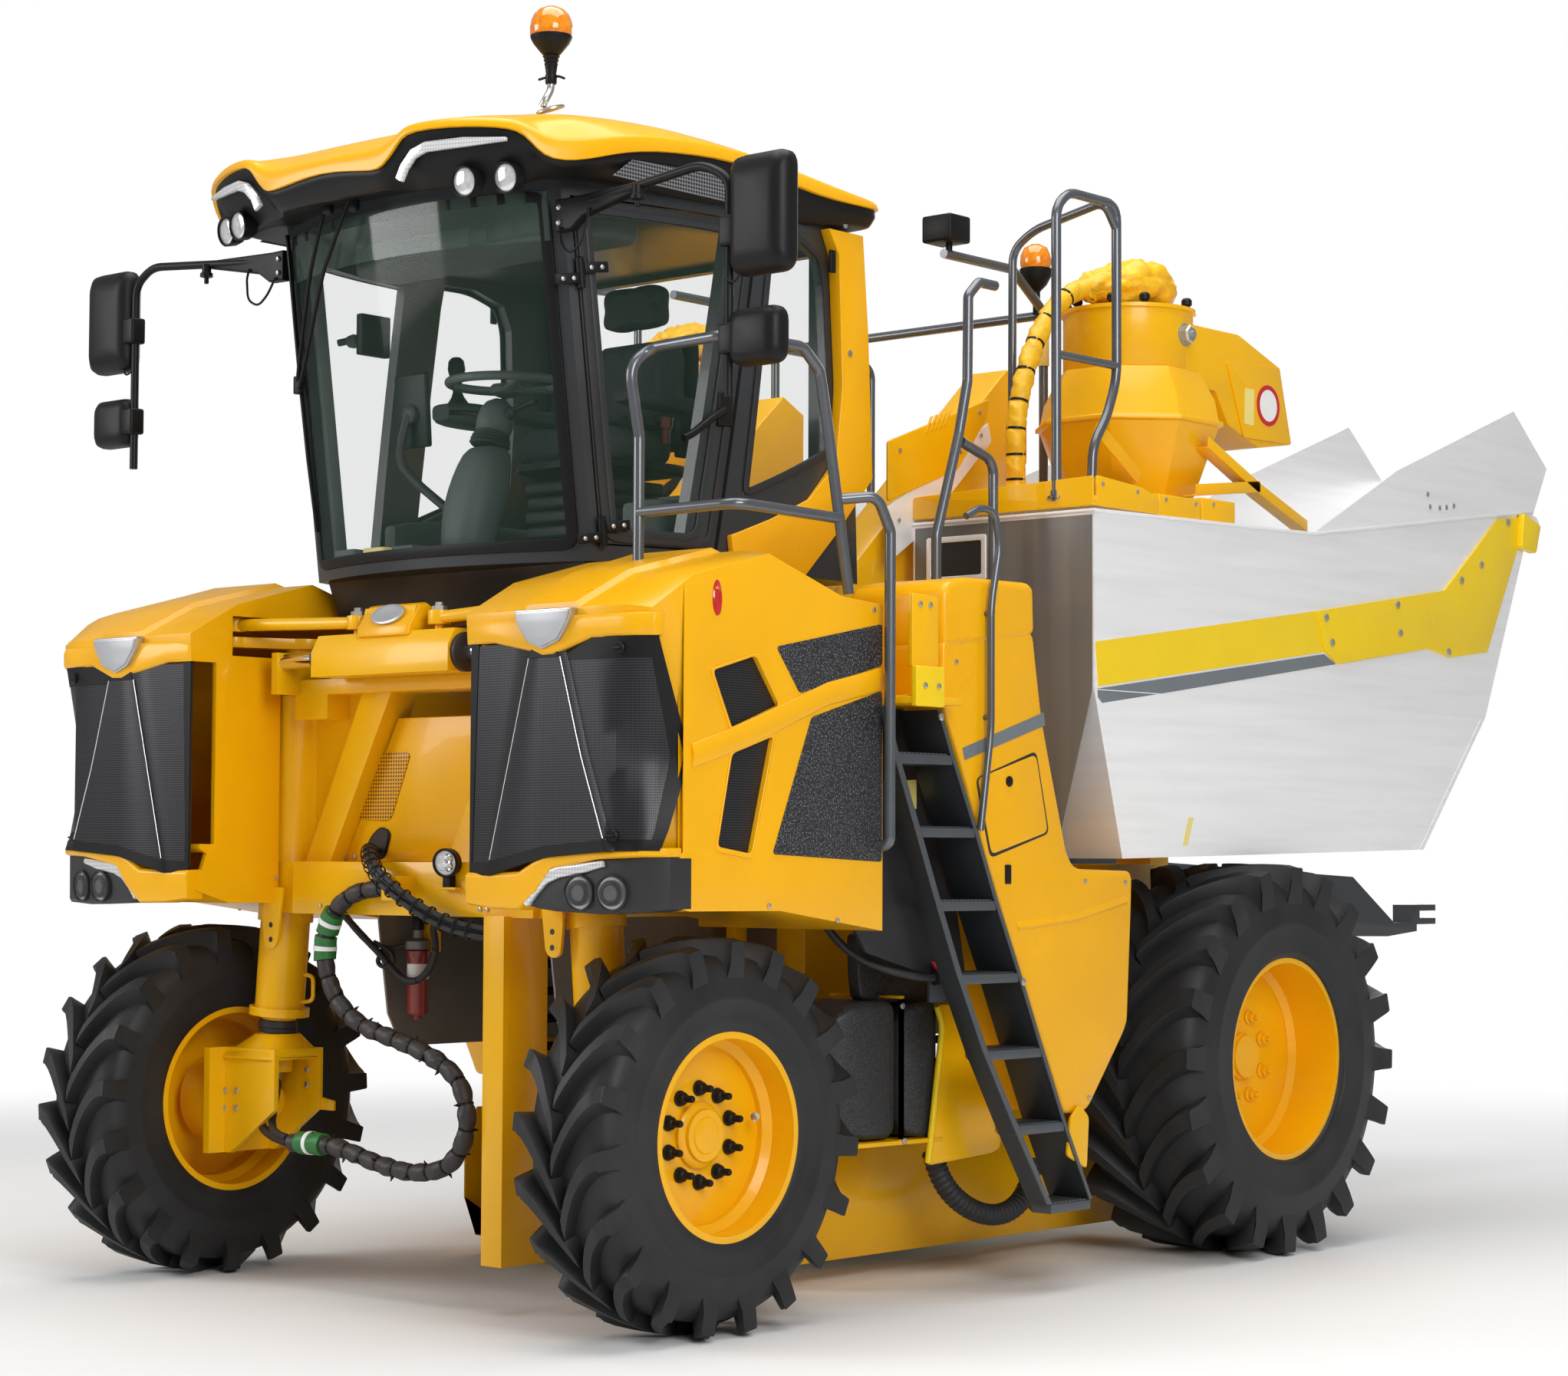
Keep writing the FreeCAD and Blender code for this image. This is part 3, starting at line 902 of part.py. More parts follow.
node("drawbar", cut(
    "hitch_form",
    fuse("hitch_outer", drawbar,
         box("hitch_beam", "-" + BEAM_OUT, BEAM_OUT, "beamRearY + fitGap", "beamRearY + 90", "lowBeamZ + 30",
             "lowBeamTop"),
         box("hitch_jaw", "-jawHalf", "jawHalf", "6040", "pinHoleY + 50", "jawLowZ", "jawTopZ")),
    box("hitch_slot", "-jawHalf - 1", "jawHalf + 1", "6130", "pinHoleY + 51", "jawLowZ + 28", "jawTopZ - 28"),
    rod("hitch_bore", "pinHoleRadius", "300", "0", "pinHoleY", "jawLowZ - 100")))

# side towers with a skirt over the rear wheels' front
both("side_towers", fuse(
    "tower_form",
    prism("tower_block", "YZ", [
        ("towerFrontY", "1400"), ("towerFrontY", "towerTopZ"), ("towerRearY - 10", "towerTopZ"),
        ("towerRearY", "1700"), ("towerRearY", "1100"), ("towerFrontY + 115", "1100")],
        "towerInnerX", "towerOuterX - towerInnerX"),
    prism("tower_skirt", "YZ", [("towerRearY + 55", "lowBeamTop"), ("1880", "1316"), ("1890", "1263"), ("1868", "766"),
                                ("1645", "570"), ("towerRearY + 55", "600")],
          "towerInnerX", "skirtOuterX - towerInnerX"),
    box("tower_link", "towerInnerX", "towerOuterX - 5", "towerRearY - 10", "towerRearY + 60", "1110", "lowBeamTop - 10"),
    box("tower_arm", BEAM_OUT + " + fitGap", "towerInnerX + 5", "1300", "towerRearY - 10", "1240", "lowBeamTop - 5")))


def ladder_shape():
    """Two leaning stringers with treads between them, hung from the step box."""
    y_top, z_top = val("ladderTopY"), val("ladderTopZ")
    y_low, z_low = val("ladderFootY"), val("ladderFootZ")
    depth, sheet_thick = val("ladderDepth"), val("ladderSheet")
    inner, outer = val("ladderInnerX"), val("ladderOuterX")
    solids = []
    for x in (inner, outer - sheet_thick):
        side = Part.makePolygon([Vec(x, y_top, z_top), Vec(x, y_top + depth, z_top),
                                 Vec(x, y_low + depth, z_low), Vec(x, y_low, z_low), Vec(x, y_top, z_top)])
        solids.append(Part.Face(side).extrude(Vec(sheet_thick, 0, 0)))
    count = int(val("treadCount"))
    for i in range(count):
        share = (i + 0.5) / count
        z = z_low + (z_top - z_low) * share
        y = y_low + (y_top - y_low) * share
        solids.append(Part.makeBox(outer - inner - 2 * sheet_thick, val("treadDepth"), val("treadThick"),
                                   Vec(inner + sheet_thick, y + 10, z)))
    return solids[0].fuse(solids[1:])


node("ladder", feature("ladder_form", ladder_shape()))
STEP_Y = "(podRearY + 34)"
node("step_box", fuse(
    "step_form",
    box("step_deck", "podInnerX + 155", "ladderOuterX", STEP_Y, "towerFrontY - 6", "platformZ - 6", "platformZ + plateThick"),
    box("step_side", "ladderOuterX - 2 * plateThick", "ladderOuterX - plateThick", STEP_Y + " + 200", "towerFrontY - 6",
        "platformZ - 4", "platformZ + 340"),
    box("step_fascia", "ladderOuterX - plateThick", "ladderOuterX", STEP_Y, "towerFrontY - 6", "platformZ - 6",
        "platformZ + 109"),
    box("step_arm", BEAM_OUT + " + fitGap", "podInnerX + 160", STEP_Y, STEP_Y + " + 70", "topBeamZ",
        "platformZ + plateThick")))
node("rear_deck", fuse(
    "rear_deck_form",
    box("deck_plate", "-deckHalf", "deckHalf", "fanY + 20", "3050", "deckZ - plateThick", "deckZ"),
    *[box("deck_leg_%s_%d" % (side, i), low, low + " + 100", at, at + " + 100", "topBeamTop + fitGap",
          "deckZ - plateThick + 5")
      for side, low in (("left", BEAM_IN + " + 30"), ("right", "-%s - 130" % BEAM_IN))
      for i, at in enumerate(("2450", "2900"))]))

# tank and its guard on the left, in front of the rear wheel
node("side_tank", fuse("tank_form",
                       box("tank_body", "880", "1080", "898", "1080", "520", "925"),
                       box("tank_arm", BEAM_OUT + " + fitGap", "960", "950", "1010", "800", "lowBeamTop - 40")))

# seat, steering column and wheel
node("seat", fuse("seat_form",
                  box("seat_base", "-200", "200", "560", "860", "cabFloorZ + cabWall + fitGap", "cabFloorZ + 400"),
                  box("seat_cushion", "-260", "260", "480", "960", "cabFloorZ + 400", "cabFloorZ + 520"),
                  box("seat_back", "-250", "250", "860", "980", "cabFloorZ + 500", "cabFloorZ + 1060")))
node("steering_column", prism("column_form", "YZ", [
    ("60", "cabFloorZ + cabWall + fitGap"), ("220", "cabFloorZ + cabWall + fitGap"), ("340", "cabFloorZ + 600"),
    ("260", "cabFloorZ + 619.7")], "-60", "120"))
wheel_ring = doc.addObject("Part::Torus", "steering_ring")
bind(wheel_ring, Radius1="steerRadius", Radius2="steerRing")
node("steering_wheel", fuse("steering_wheel_form",
                            place(wheel_ring, "0", "300", "cabFloorZ + 640"),
                            rod("steering_hub", "40", "40", "0", "300", "cabFloorZ + 620"),
                            box("steering_spoke_x", "5 - steerRadius", "steerRadius - 5", "288", "312",
                                "cabFloorZ + 632", "cabFloorZ + 646"),
                            box("steering_spoke_y", "-12", "12", "305 - steerRadius", "295 + steerRadius",
                                "cabFloorZ + 632", "cabFloorZ + 646")))

# the front hose's way across the machine's front, as X and Z
HOSE_POINTS = [
    (-40.3, 1302), (-185, 1302), (-318, 1225), (-360, 1085), (-305, 950), (-180, 862), (0, 825), (165, 780),
    (295, 712), (334, 570), (262, 445), (105, 410), (-60, 425), (-240, 468), (-410, 482), (-500, 472)]

# the sleeved hose in front of the tunnel, from the left web down and across to the right knuckle

def hose_shape():
    """A round hose: straight runs joined by tangent arcs."""
    points = [Vec(x, val("hoseY"), z) for x, z in HOSE_POINTS]
    radii = []
    for i in range(1, len(points) - 1):
        before, after = points[i] - points[i - 1], points[i + 1] - points[i]
        half = before.getAngle(after) / 2
        radii.append(0.45 * min(before.Length, after.Length) / math.tan(half))
    print("hose radii", [round(r) for r in radii])
    print("hose length", round(sum((b - a).Length for a, b in zip(points, points[1:]))))
    return swept(points, val("hoseRadius"), radii)


node("hose_front", feature("hose_form", hose_shape()))

doc.recompute()
bad = [obj.Name for obj in doc.Objects if "Invalid" in obj.State or "Error" in obj.State]
if bad:
    raise RuntimeError("failed objects: " + ", ".join(bad))
for name, obj in NODES:
    shape = obj.Shape
    if shape.isNull() or not shape.isValid() or not shape.Solids:
        raise RuntimeError("bad shape: " + name)

os.makedirs("parts", exist_ok=True)
for name, obj in NODES:
    obj.Shape.exportStep(os.path.join("parts", name + ".step"))
    print(name, len(obj.Shape.Solids), round(obj.Shape.Volume / 1e6, 2), "litres")
print(len(NODES), "nodes")
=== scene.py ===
import bpy
import bmesh
import json
import math
import random
from mathutils import Matrix, Vector, noise

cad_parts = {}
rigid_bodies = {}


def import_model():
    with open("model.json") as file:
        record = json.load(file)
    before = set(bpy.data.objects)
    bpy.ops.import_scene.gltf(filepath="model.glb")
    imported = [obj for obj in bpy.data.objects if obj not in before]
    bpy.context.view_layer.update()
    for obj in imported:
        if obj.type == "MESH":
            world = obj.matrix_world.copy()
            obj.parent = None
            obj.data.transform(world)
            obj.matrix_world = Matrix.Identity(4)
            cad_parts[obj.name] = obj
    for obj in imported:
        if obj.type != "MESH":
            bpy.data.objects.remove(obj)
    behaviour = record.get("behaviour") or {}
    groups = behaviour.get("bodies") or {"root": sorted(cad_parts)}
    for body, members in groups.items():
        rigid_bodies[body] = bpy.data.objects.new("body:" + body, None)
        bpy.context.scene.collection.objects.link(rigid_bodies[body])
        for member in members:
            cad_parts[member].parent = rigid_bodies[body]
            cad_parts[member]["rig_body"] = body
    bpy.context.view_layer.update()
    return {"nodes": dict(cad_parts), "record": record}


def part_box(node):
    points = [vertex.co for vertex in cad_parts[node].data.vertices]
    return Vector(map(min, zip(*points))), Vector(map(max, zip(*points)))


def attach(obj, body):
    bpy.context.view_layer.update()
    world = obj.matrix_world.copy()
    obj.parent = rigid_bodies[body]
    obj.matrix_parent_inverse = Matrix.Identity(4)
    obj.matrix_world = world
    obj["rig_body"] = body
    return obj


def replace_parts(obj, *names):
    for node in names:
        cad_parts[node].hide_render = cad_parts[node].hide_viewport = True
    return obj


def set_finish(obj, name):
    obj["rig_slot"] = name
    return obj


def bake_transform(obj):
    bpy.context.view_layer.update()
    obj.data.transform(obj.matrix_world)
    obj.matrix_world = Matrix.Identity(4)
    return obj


# Grape harvester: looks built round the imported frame.
# Points are written in millimetres from the ground below the front axle's middle:
# +X to the machine's left, -Y forward, +Z up.

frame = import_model()
cad = frame["nodes"]
axleY = sum(corner.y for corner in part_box("front_tyre_left")) / 2
print("frame loaded,", len(cad), "nodes")


def at(x, y, z):
    return Vector((x / 1000, y / 1000 + axleY, z / 1000))


def addObject(name, data):
    obj = bpy.data.objects.new(name, data)
    bpy.context.scene.collection.objects.link(obj)
    return obj


# camera

camera = {"place": (7.6050, -9.9011, 1.3985), "yaw": 40.976, "pitch": 3.041, "roll": 0.223,
          "lens": 74.0, "sensor": 36}


def setCamera(c):
    data = bpy.data.cameras.new("camera")
    data.lens = c["lens"]
    data.sensor_width = c["sensor"]
    yaw, pitch = math.radians(c["yaw"]), math.radians(c["pitch"])
    lookAt = Vector((-math.sin(yaw) * math.cos(pitch), math.cos(yaw) * math.cos(pitch),
                     math.sin(pitch)))
    obj = addObject("camera", data)
    turn = lookAt.to_track_quat("-Z", "Y").to_matrix().to_4x4()
    obj.matrix_world = (Matrix.Translation(Vector(c["place"])) @ turn
                        @ Matrix.Rotation(math.radians(c["roll"]), 4, "Z"))
    bpy.context.scene.camera = obj


setCamera(camera)

# materials


def newShader(name):
    material = bpy.data.materials.new(name)
    material.use_nodes = True
    tree = material.node_tree
    return material, tree, tree.nodes["Principled BSDF"], tree.links.new


def addNode(tree, kind, **values):
    item = tree.nodes.new(kind)
    for key, value in values.items():
        if key in item.inputs:
            item.inputs[key].default_value = value
        else:
            setattr(item, key, value)
    return item


def objectCoords(tree, stretch=(1, 1, 1)):
    coords = tree.nodes.new("ShaderNodeTexCoord")
    mapping = addNode(tree, "ShaderNodeMapping")
    mapping.inputs["Scale"].default_value = stretch
    tree.links.new(coords.outputs["Object"], mapping.inputs["Vector"])
    return mapping.outputs["Vector"]


def surface(name, color, rough=0.4, metal=0.0, coat=0.0, vary=0.06, patch=4.0, grain=0.1,
            grainSize=180.0, stretch=(1, 1, 1), depth=0.0004, specular=0.5):
    # broad colour patches, fine bump and a little change in shine
    material, tree, shader, link = newShader(name)
    vector = objectCoords(tree, stretch)
    broad = addNode(tree, "ShaderNodeTexNoise", Scale=patch, Detail=4.0)
    fine = addNode(tree, "ShaderNodeTexNoise", Scale=grainSize, Detail=3.0)
    ramp = tree.nodes.new("ShaderNodeValToRGB")
    for stop, share in zip(ramp.color_ramp.elements, (1 - vary, 1 + vary)):
        stop.color = [min(1, part * share) for part in color] + [1]
    ramp.color_ramp.elements[0].position, ramp.color_ramp.elements[1].position = 0.3, 0.7
    spread = addNode(tree, "ShaderNodeMapRange")
    spread.inputs["To Min"].default_value = max(0.02, rough - 0.06)
    spread.inputs["To Max"].default_value = rough + 0.06
    bump = addNode(tree, "ShaderNodeBump", Strength=grain, Distance=depth)
    for source in (broad, fine):
        link(vector, source.inputs["Vector"])
    link(broad.outputs["Fac"], ramp.inputs["Fac"])
    link(broad.outputs["Fac"], spread.inputs["Value"])
    link(fine.outputs["Fac"], bump.inputs["Height"])
    link(ramp.outputs["Color"], shader.inputs["Base Color"])
    link(spread.outputs["Result"], shader.inputs["Roughness"])
    link(bump.outputs["Normal"], shader.inputs["Normal"])
    shader.inputs["Metallic"].default_value = metal
    shader.inputs["Coat Weight"].default_value = coat
    shader.inputs["Coat Roughness"].default_value = 0.06
    shader.inputs["Specular IOR Level"].default_value = specular
    return material


def dotted(name, base, dot, spacing, size, rough=0.45, metal=0.2):
    # a sheet with a regular grid of round holes or studs
    material, tree, shader, link = newShader(name)
    vector = objectCoords(tree, (1 / spacing, 1 / spacing, 1 / spacing))
    wrap = addNode(tree, "ShaderNodeVectorMath", operation="FRACTION")
    shift = addNode(tree, "ShaderNodeVectorMath", operation="SUBTRACT")
    shift.inputs[1].default_value = (0.5, 0.5, 0.5)
    split = tree.nodes.new("ShaderNodeSeparateXYZ")
    across = addNode(tree, "ShaderNodeMath", operation="ADD")
    join = tree.nodes.new("ShaderNodeCombineXYZ")
    length = addNode(tree, "ShaderNodeVectorMath", operation="LENGTH")
    edge = addNode(tree, "ShaderNodeMath", operation="LESS_THAN")
    edge.inputs[1].default_value = size
    source = tree.nodes.new("ShaderNodeSeparateXYZ")
    flat = tree.nodes.new("ShaderNodeCombineXYZ")
    link(vector, source.inputs["Vector"])
    link(source.outputs["X"], across.inputs[0])
    link(source.outputs["Y"], across.inputs[1])
    link(across.outputs[0], flat.inputs["X"])
    link(source.outputs["Z"], flat.inputs["Y"])
    link(flat.outputs["Vector"], wrap.inputs[0])
    link(wrap.outputs["Vector"], split.inputs["Vector"])
    link(split.outputs["X"], join.inputs["X"])
    link(split.outputs["Y"], join.inputs["Y"])
    join.inputs["Z"].default_value = 0.5
    link(join.outputs["Vector"], shift.inputs[0])
    link(shift.outputs["Vector"], length.inputs[0])
    link(length.outputs["Value"], edge.inputs[0])
    mix = addNode(tree, "ShaderNodeMix", data_type="RGBA")
    mix.inputs[6].default_value, mix.inputs[7].default_value = list(base) + [1], list(dot) + [1]
    link(edge.outputs[0], mix.inputs["Factor"])
    link(mix.outputs[2], shader.inputs["Base Color"])
    bump = addNode(tree, "ShaderNodeBump", Strength=0.5, Distance=0.001, invert=True)
    link(edge.outputs[0], bump.inputs["Height"])
    link(bump.outputs["Normal"], shader.inputs["Normal"])
    shader.inputs["Roughness"].default_value = rough
    shader.inputs["Metallic"].default_value = metal
    return material


def speckled(name, base, dot, scale, share, rough=0.5):
    # fine flecks of a second colour, a little raised
    material, tree, shader, link = newShader(name)
    vector = objectCoords(tree)
    cells = addNode(tree, "ShaderNodeTexNoise", Scale=scale, Detail=1.0)
    ramp = tree.nodes.new("ShaderNodeValToRGB")
    ramp.color_ramp.elements[0].position, ramp.color_ramp.elements[1].position = share, share + 0.03
    ramp.color_ramp.elements[0].color = list(base) + [1]
    ramp.color_ramp.elements[1].color = list(dot) + [1]
    bump = addNode(tree, "ShaderNodeBump", Strength=0.4, Distance=0.001)
    link(vector, cells.inputs["Vector"])
    link(cells.outputs["Fac"], ramp.inputs["Fac"])
    link(ramp.outputs["Color"], shader.inputs["Base Color"])
    link(cells.outputs["Fac"], bump.inputs["Height"])
    link(bump.outputs["Normal"], shader.inputs["Normal"])
    shader.inputs["Roughness"].default_value = rough
    return material


def clear(name, color, alpha):
    # a thin pane with a faint haze
    rough = 0.04
    material, tree, shader, link = newShader(name)
    vector = objectCoords(tree)
    haze = addNode(tree, "ShaderNodeTexNoise", Scale=2.0, Detail=2.0)
    spread = addNode(tree, "ShaderNodeMapRange")
    spread.inputs["To Min"].default_value = rough
    spread.inputs["To Max"].default_value = rough + 0.04
    link(vector, haze.inputs["Vector"])
    link(haze.outputs["Fac"], spread.inputs["Value"])
    link(spread.outputs["Result"], shader.inputs["Roughness"])
    shader.inputs["Base Color"].default_value = list(color) + [1]
    shader.inputs["Alpha"].default_value = alpha
    shader.inputs["Specular IOR Level"].default_value = 0.7
    return material


yellow = surface("frame yellow", (0.88, 0.46, 0.001), 0.3, coat=0.15, grain=0.05, vary=0.03,
                 specular=0.35)
amber = surface("amber paint", (0.89, 0.435, 0.001), 0.3, coat=0.12, grain=0.04, vary=0.03,
                specular=0.35)
wheelYellow = surface("wheel yellow", (0.90, 0.45, 0.001), 0.32, coat=0.15, grain=0.06, vary=0.04,
                      specular=0.35)
stainless = surface("brushed stainless", (0.95, 0.95, 0.955), 0.36, metal=0.3, vary=0.04, patch=1.5,
                    grain=0.12, grainSize=60, stretch=(1, 1, 18), depth=0.0006)
darkSteel = surface("shaded steel", (0.30, 0.27, 0.24), 0.4, metal=0.6, vary=0.08)
rubber = surface("tyre rubber", (0.019, 0.0195, 0.021), 0.5, vary=0.3, patch=6, grain=0.35,
                 grainSize=90, depth=0.0012, specular=0.35)
blackPlastic = surface("black plastic", (0.009, 0.009, 0.0095), 0.42, grain=0.12, grainSize=400,
                       specular=0.2)
softBlack = surface("soft black trim", (0.02, 0.02, 0.022), 0.55, grain=0.3, grainSize=300)
darkGrey = surface("dark grey paint", (0.055, 0.062, 0.07), 0.42, metal=0.3, grain=0.1)
cabGrey = surface("cab grey paint", (0.035, 0.038, 0.042), 0.34, metal=0.2, coat=0.15, grain=0.06)
railGrey = surface("rail grey", (0.12, 0.13, 0.145), 0.26, metal=0.5, coat=0.4, grain=0.08)
chrome = surface("polished chrome", (0.78, 0.78, 0.8), 0.12, metal=1.0, vary=0.03, grain=0.03)
zinc = surface("zinc bolts", (0.55, 0.55, 0.53), 0.35, metal=0.9)
castGrey = surface("cast housings", (0.2, 0.2, 0.2), 0.55, metal=0.5, grain=0.4)
greenPlastic = surface("green plastic", (0.02, 0.16, 0.03), 0.45, grain=0.2)
redPaint = surface("red paint", (0.25, 0.02, 0.015), 0.35, coat=0.3)
redLens = surface("red lens", (0.55, 0.01, 0.01), 0.12, coat=0.8)
amberLens = surface("amber lens", (0.9, 0.25, 0.0), 0.1, coat=0.8, vary=0.25, patch=60)
lampGlass = surface("lamp glass", (0.85, 0.86, 0.88), 0.08, metal=0.5, coat=0.8, vary=0.2, patch=60)
whiteLens = dotted("ribbed white lens", (0.62, 0.63, 0.65), (0.85, 0.86, 0.88), 0.012, 0.42, 0.15,
                   0.3)
sleeve = surface("hose sleeve", (0.03, 0.024, 0.024), 0.5, vary=0.2, patch=20, grain=0.8,
                 grainSize=35, depth=0.004)
yellowSleeve = surface("yellow sleeve", (0.9, 0.5, 0.01), 0.42, vary=0.12, patch=25, grain=0.9,
                       grainSize=28, depth=0.006)
fabric = speckled("seat fabric", (0.03, 0.034, 0.04), (0.06, 0.065, 0.07), 500, 0.5, 0.85)
cabPlastic = surface("cab trim", (0.07, 0.085, 0.08), 0.6, grain=0.1, grainSize=350)
meshBlack = dotted("black mesh", (0.045, 0.045, 0.05), (0.004, 0.004, 0.005), 0.0075, 0.36, 0.35,
                   0.5)
holedSheet = dotted("holed yellow sheet", (0.8, 0.38, 0.004), (0.12, 0.05, 0.0), 0.012, 0.33, 0.4,
                    0.0)
speckPanel = speckled("speckled panel", (0.012, 0.012, 0.014), (0.16, 0.165, 0.18), 190, 0.58)
checkPlate = dotted("checker plate", (0.9, 0.44, 0.004), (1.0, 0.55, 0.03), 0.03, 0.3, 0.3, 0.1)
glass = clear("cab glass", (0.10, 0.20, 0.15), 0.06)
signWhite = surface("white sign", (0.85, 0.85, 0.83), 0.35)
stripeYellow = surface("stripe yellow", (0.90, 0.62, 0.003), 0.3, coat=0.15, vary=0.02)
stripeGrey = surface("stripe grey", (0.16, 0.18, 0.2), 0.35, coat=0.3, vary=0.03)
print("materials made")

# ways of making a piece


weldGap = {"curve": 0.00002, "frame": 0.00005}  # metres between points that become one
creaseAngle, bevelAngle = 40, 32  # degrees from which an edge stays sharp, and is eased


def finishPiece(name, mesh, material, body="root", replaces=(), slot=None, smooth=creaseAngle):
    obj = addObject(name, mesh)
    if material and not mesh.materials:
        mesh.materials.append(material)
    if smooth:
        mesh.shade_smooth()
        mesh.set_sharp_from_angle(angle=math.radians(smooth))
    if body:
        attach(obj, body)
    for node in replaces:
        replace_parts(obj, node)
    if slot:
        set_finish(obj, slot)
    return obj


def faceOutward(mesh, gap=0):
    # all faces look outward; points closer than the gap become one
    form = bmesh.new()
    form.from_mesh(mesh)
    if gap:
        bmesh.ops.remove_doubles(form, verts=form.verts, dist=gap)
    bmesh.ops.recalc_face_normals(form, faces=form.faces)
    form.to_mesh(mesh)
    form.free()


def fromFaces(name, points, faces, material, bevel=0, subdivide=0, thick=0, **more):
    mesh = bpy.data.meshes.new(name)
    mesh.from_pydata([tuple(at(*p)) for p in points], [], faces)
    faceOutward(mesh)
    return applied(finishPiece(name, mesh, material, **more), bevel, subdivide, thick)


def evaluatedMesh(obj):
    # a new mesh of the object as its modifiers leave it
    bpy.context.view_layer.update()
    shape = obj.evaluated_get(bpy.context.evaluated_depsgraph_get())
    return bpy.data.meshes.new_from_object(shape)


def applied(obj, bevel=0, subdivide=0, thick=0):
    # thickness, eased edges and smoothing, worked into the mesh
    if thick:
        solid = obj.modifiers.new("thick", "SOLIDIFY")
        solid.thickness, solid.offset = thick / 1000, -1
    if bevel:
        edge = obj.modifiers.new("edge", "BEVEL")
        edge.width, edge.segments, edge.limit_method = bevel / 1000, 3, "ANGLE"
        edge.angle_limit = math.radians(bevelAngle)
    if subdivide:
        smoothOut = obj.modifiers.new("smooth", "SUBSURF")
        smoothOut.levels = smoothOut.render_levels = subdivide
    if obj.modifiers:
        mesh = evaluatedMesh(obj)
        obj.modifiers.clear()
        old = obj.data
        obj.data = mesh
        bpy.data.meshes.remove(old)
    obj.data.shade_smooth()
    obj.data.set_sharp_from_angle(angle=math.radians(creaseAngle))
    return obj


def roundCorners(points, radius, steps=4):
    # each corner of a closed outline becomes a short arc
    out = []
    count = len(points)
    for i in range(count):
        here, before, after = (Vector(points[j % count]) for j in (i, i - 1, i + 1))
        a, b = (before - here), (after - here)
        reach = min(radius, a.length * 0.45, b.length * 0.45)
        start, end = here + a.normalized() * reach, here + b.normalized() * reach
        for k in range(steps + 1):
            share = k / steps
            out.append(tuple(start * (1 - share) ** 2 + here * 2 * share * (1 - share)
                             + end * share ** 2))
    return out


def curveMesh(curve):
    # the mesh of a curve, by way of a passing object
    holder = addObject(curve.name, curve)
    mesh = evaluatedMesh(holder)
    bpy.data.objects.remove(holder)
    return mesh


def nurbsPoints(name, places, order, fine):
    # points along the smooth line that a few control places give
    curve = bpy.data.curves.new(name, "CURVE")
    curve.dimensions, curve.resolution_u = "3D", fine
    spline = curve.splines.new("NURBS")
    spline.points.add(len(places) - 1)
    for point, where in zip(spline.points, places):
        point.co = tuple(at(*where)) + (1,)
    spline.order_u, spline.use_endpoint_u = order, True
    return [vert.co.copy() for vert in curveMesh(curve).vertices]


toLeft, toFront, toTop = (1, 0, 0), (0, -1, 0), (0, 0, 1)
axes = {"YZ": ((0, 1, 0), (0, 0, 1), (1, 0, 0)), "XZ": ((1, 0, 0), (0, 0, 1), (0, 1, 0)),
        "XY": ((1, 0, 0), (0, 1, 0), (0, 0, 1))}


def plate(name, plane, outline, low, high, material, holes=(), edge=0, corner=0, **more):
    # a flat outline with holes, between two levels of the plane's third axis, with rounded edges
    curve = bpy.data.curves.new(name, "CURVE")
    curve.dimensions, curve.fill_mode = "2D", "BOTH"
    curve.extrude = (high - low) / 2000 - edge / 1000
    curve.bevel_depth, curve.offset, curve.bevel_resolution = edge / 1000, -edge / 1000, 2
    for points in [outline] + list(holes):
        points = roundCorners(points, corner) if corner else points
        spline = curve.splines.new("POLY")
        spline.points.add(len(points) - 1)
        for point, (a, b) in zip(spline.points, points):
            point.co = (a / 1000, b / 1000, 0, 1)
        spline.use_cyclic_u = True
    mesh = curveMesh(curve)
    across, up, out = (Vector(v) for v in axes[plane])
    turn = Matrix((across, up, out)).transposed().to_4x4()
    mesh.transform(Matrix.Translation(at(0, 0, 0) + out * (low + high) / 2000) @ turn)
    faceOutward(mesh, weldGap["curve"])
    mesh.materials.clear()
    return finishPiece(name, mesh, material, **more)


def tube(name, points, radius, material, bend=40, closed=False, rings=6, **more):
    # a bent bar: straight runs with rounded corners
    curve = bpy.data.curves.new(name, "CURVE")
    curve.dimensions, curve.bevel_depth, curve.bevel_resolution = "3D", radius / 1000, rings // 2
    curve.use_fill_caps = True
    path = [Vector(p) for p in points]
    if not closed:
        path = [path[0]] + [Vector(p) for p in roundCorners(path, bend, 6)][7:-7] + [path[-1]]
    spline = curve.splines.new("POLY")
    spline.points.add(len(path) - 1)
    for point, where in zip(spline.points, path):
        point.co = tuple(at(*where)) + (1,)
    spline.use_cyclic_u = closed
    mesh = curveMesh(curve)
    mesh.materials.clear()
    return finishPiece(name, mesh, material, **more)


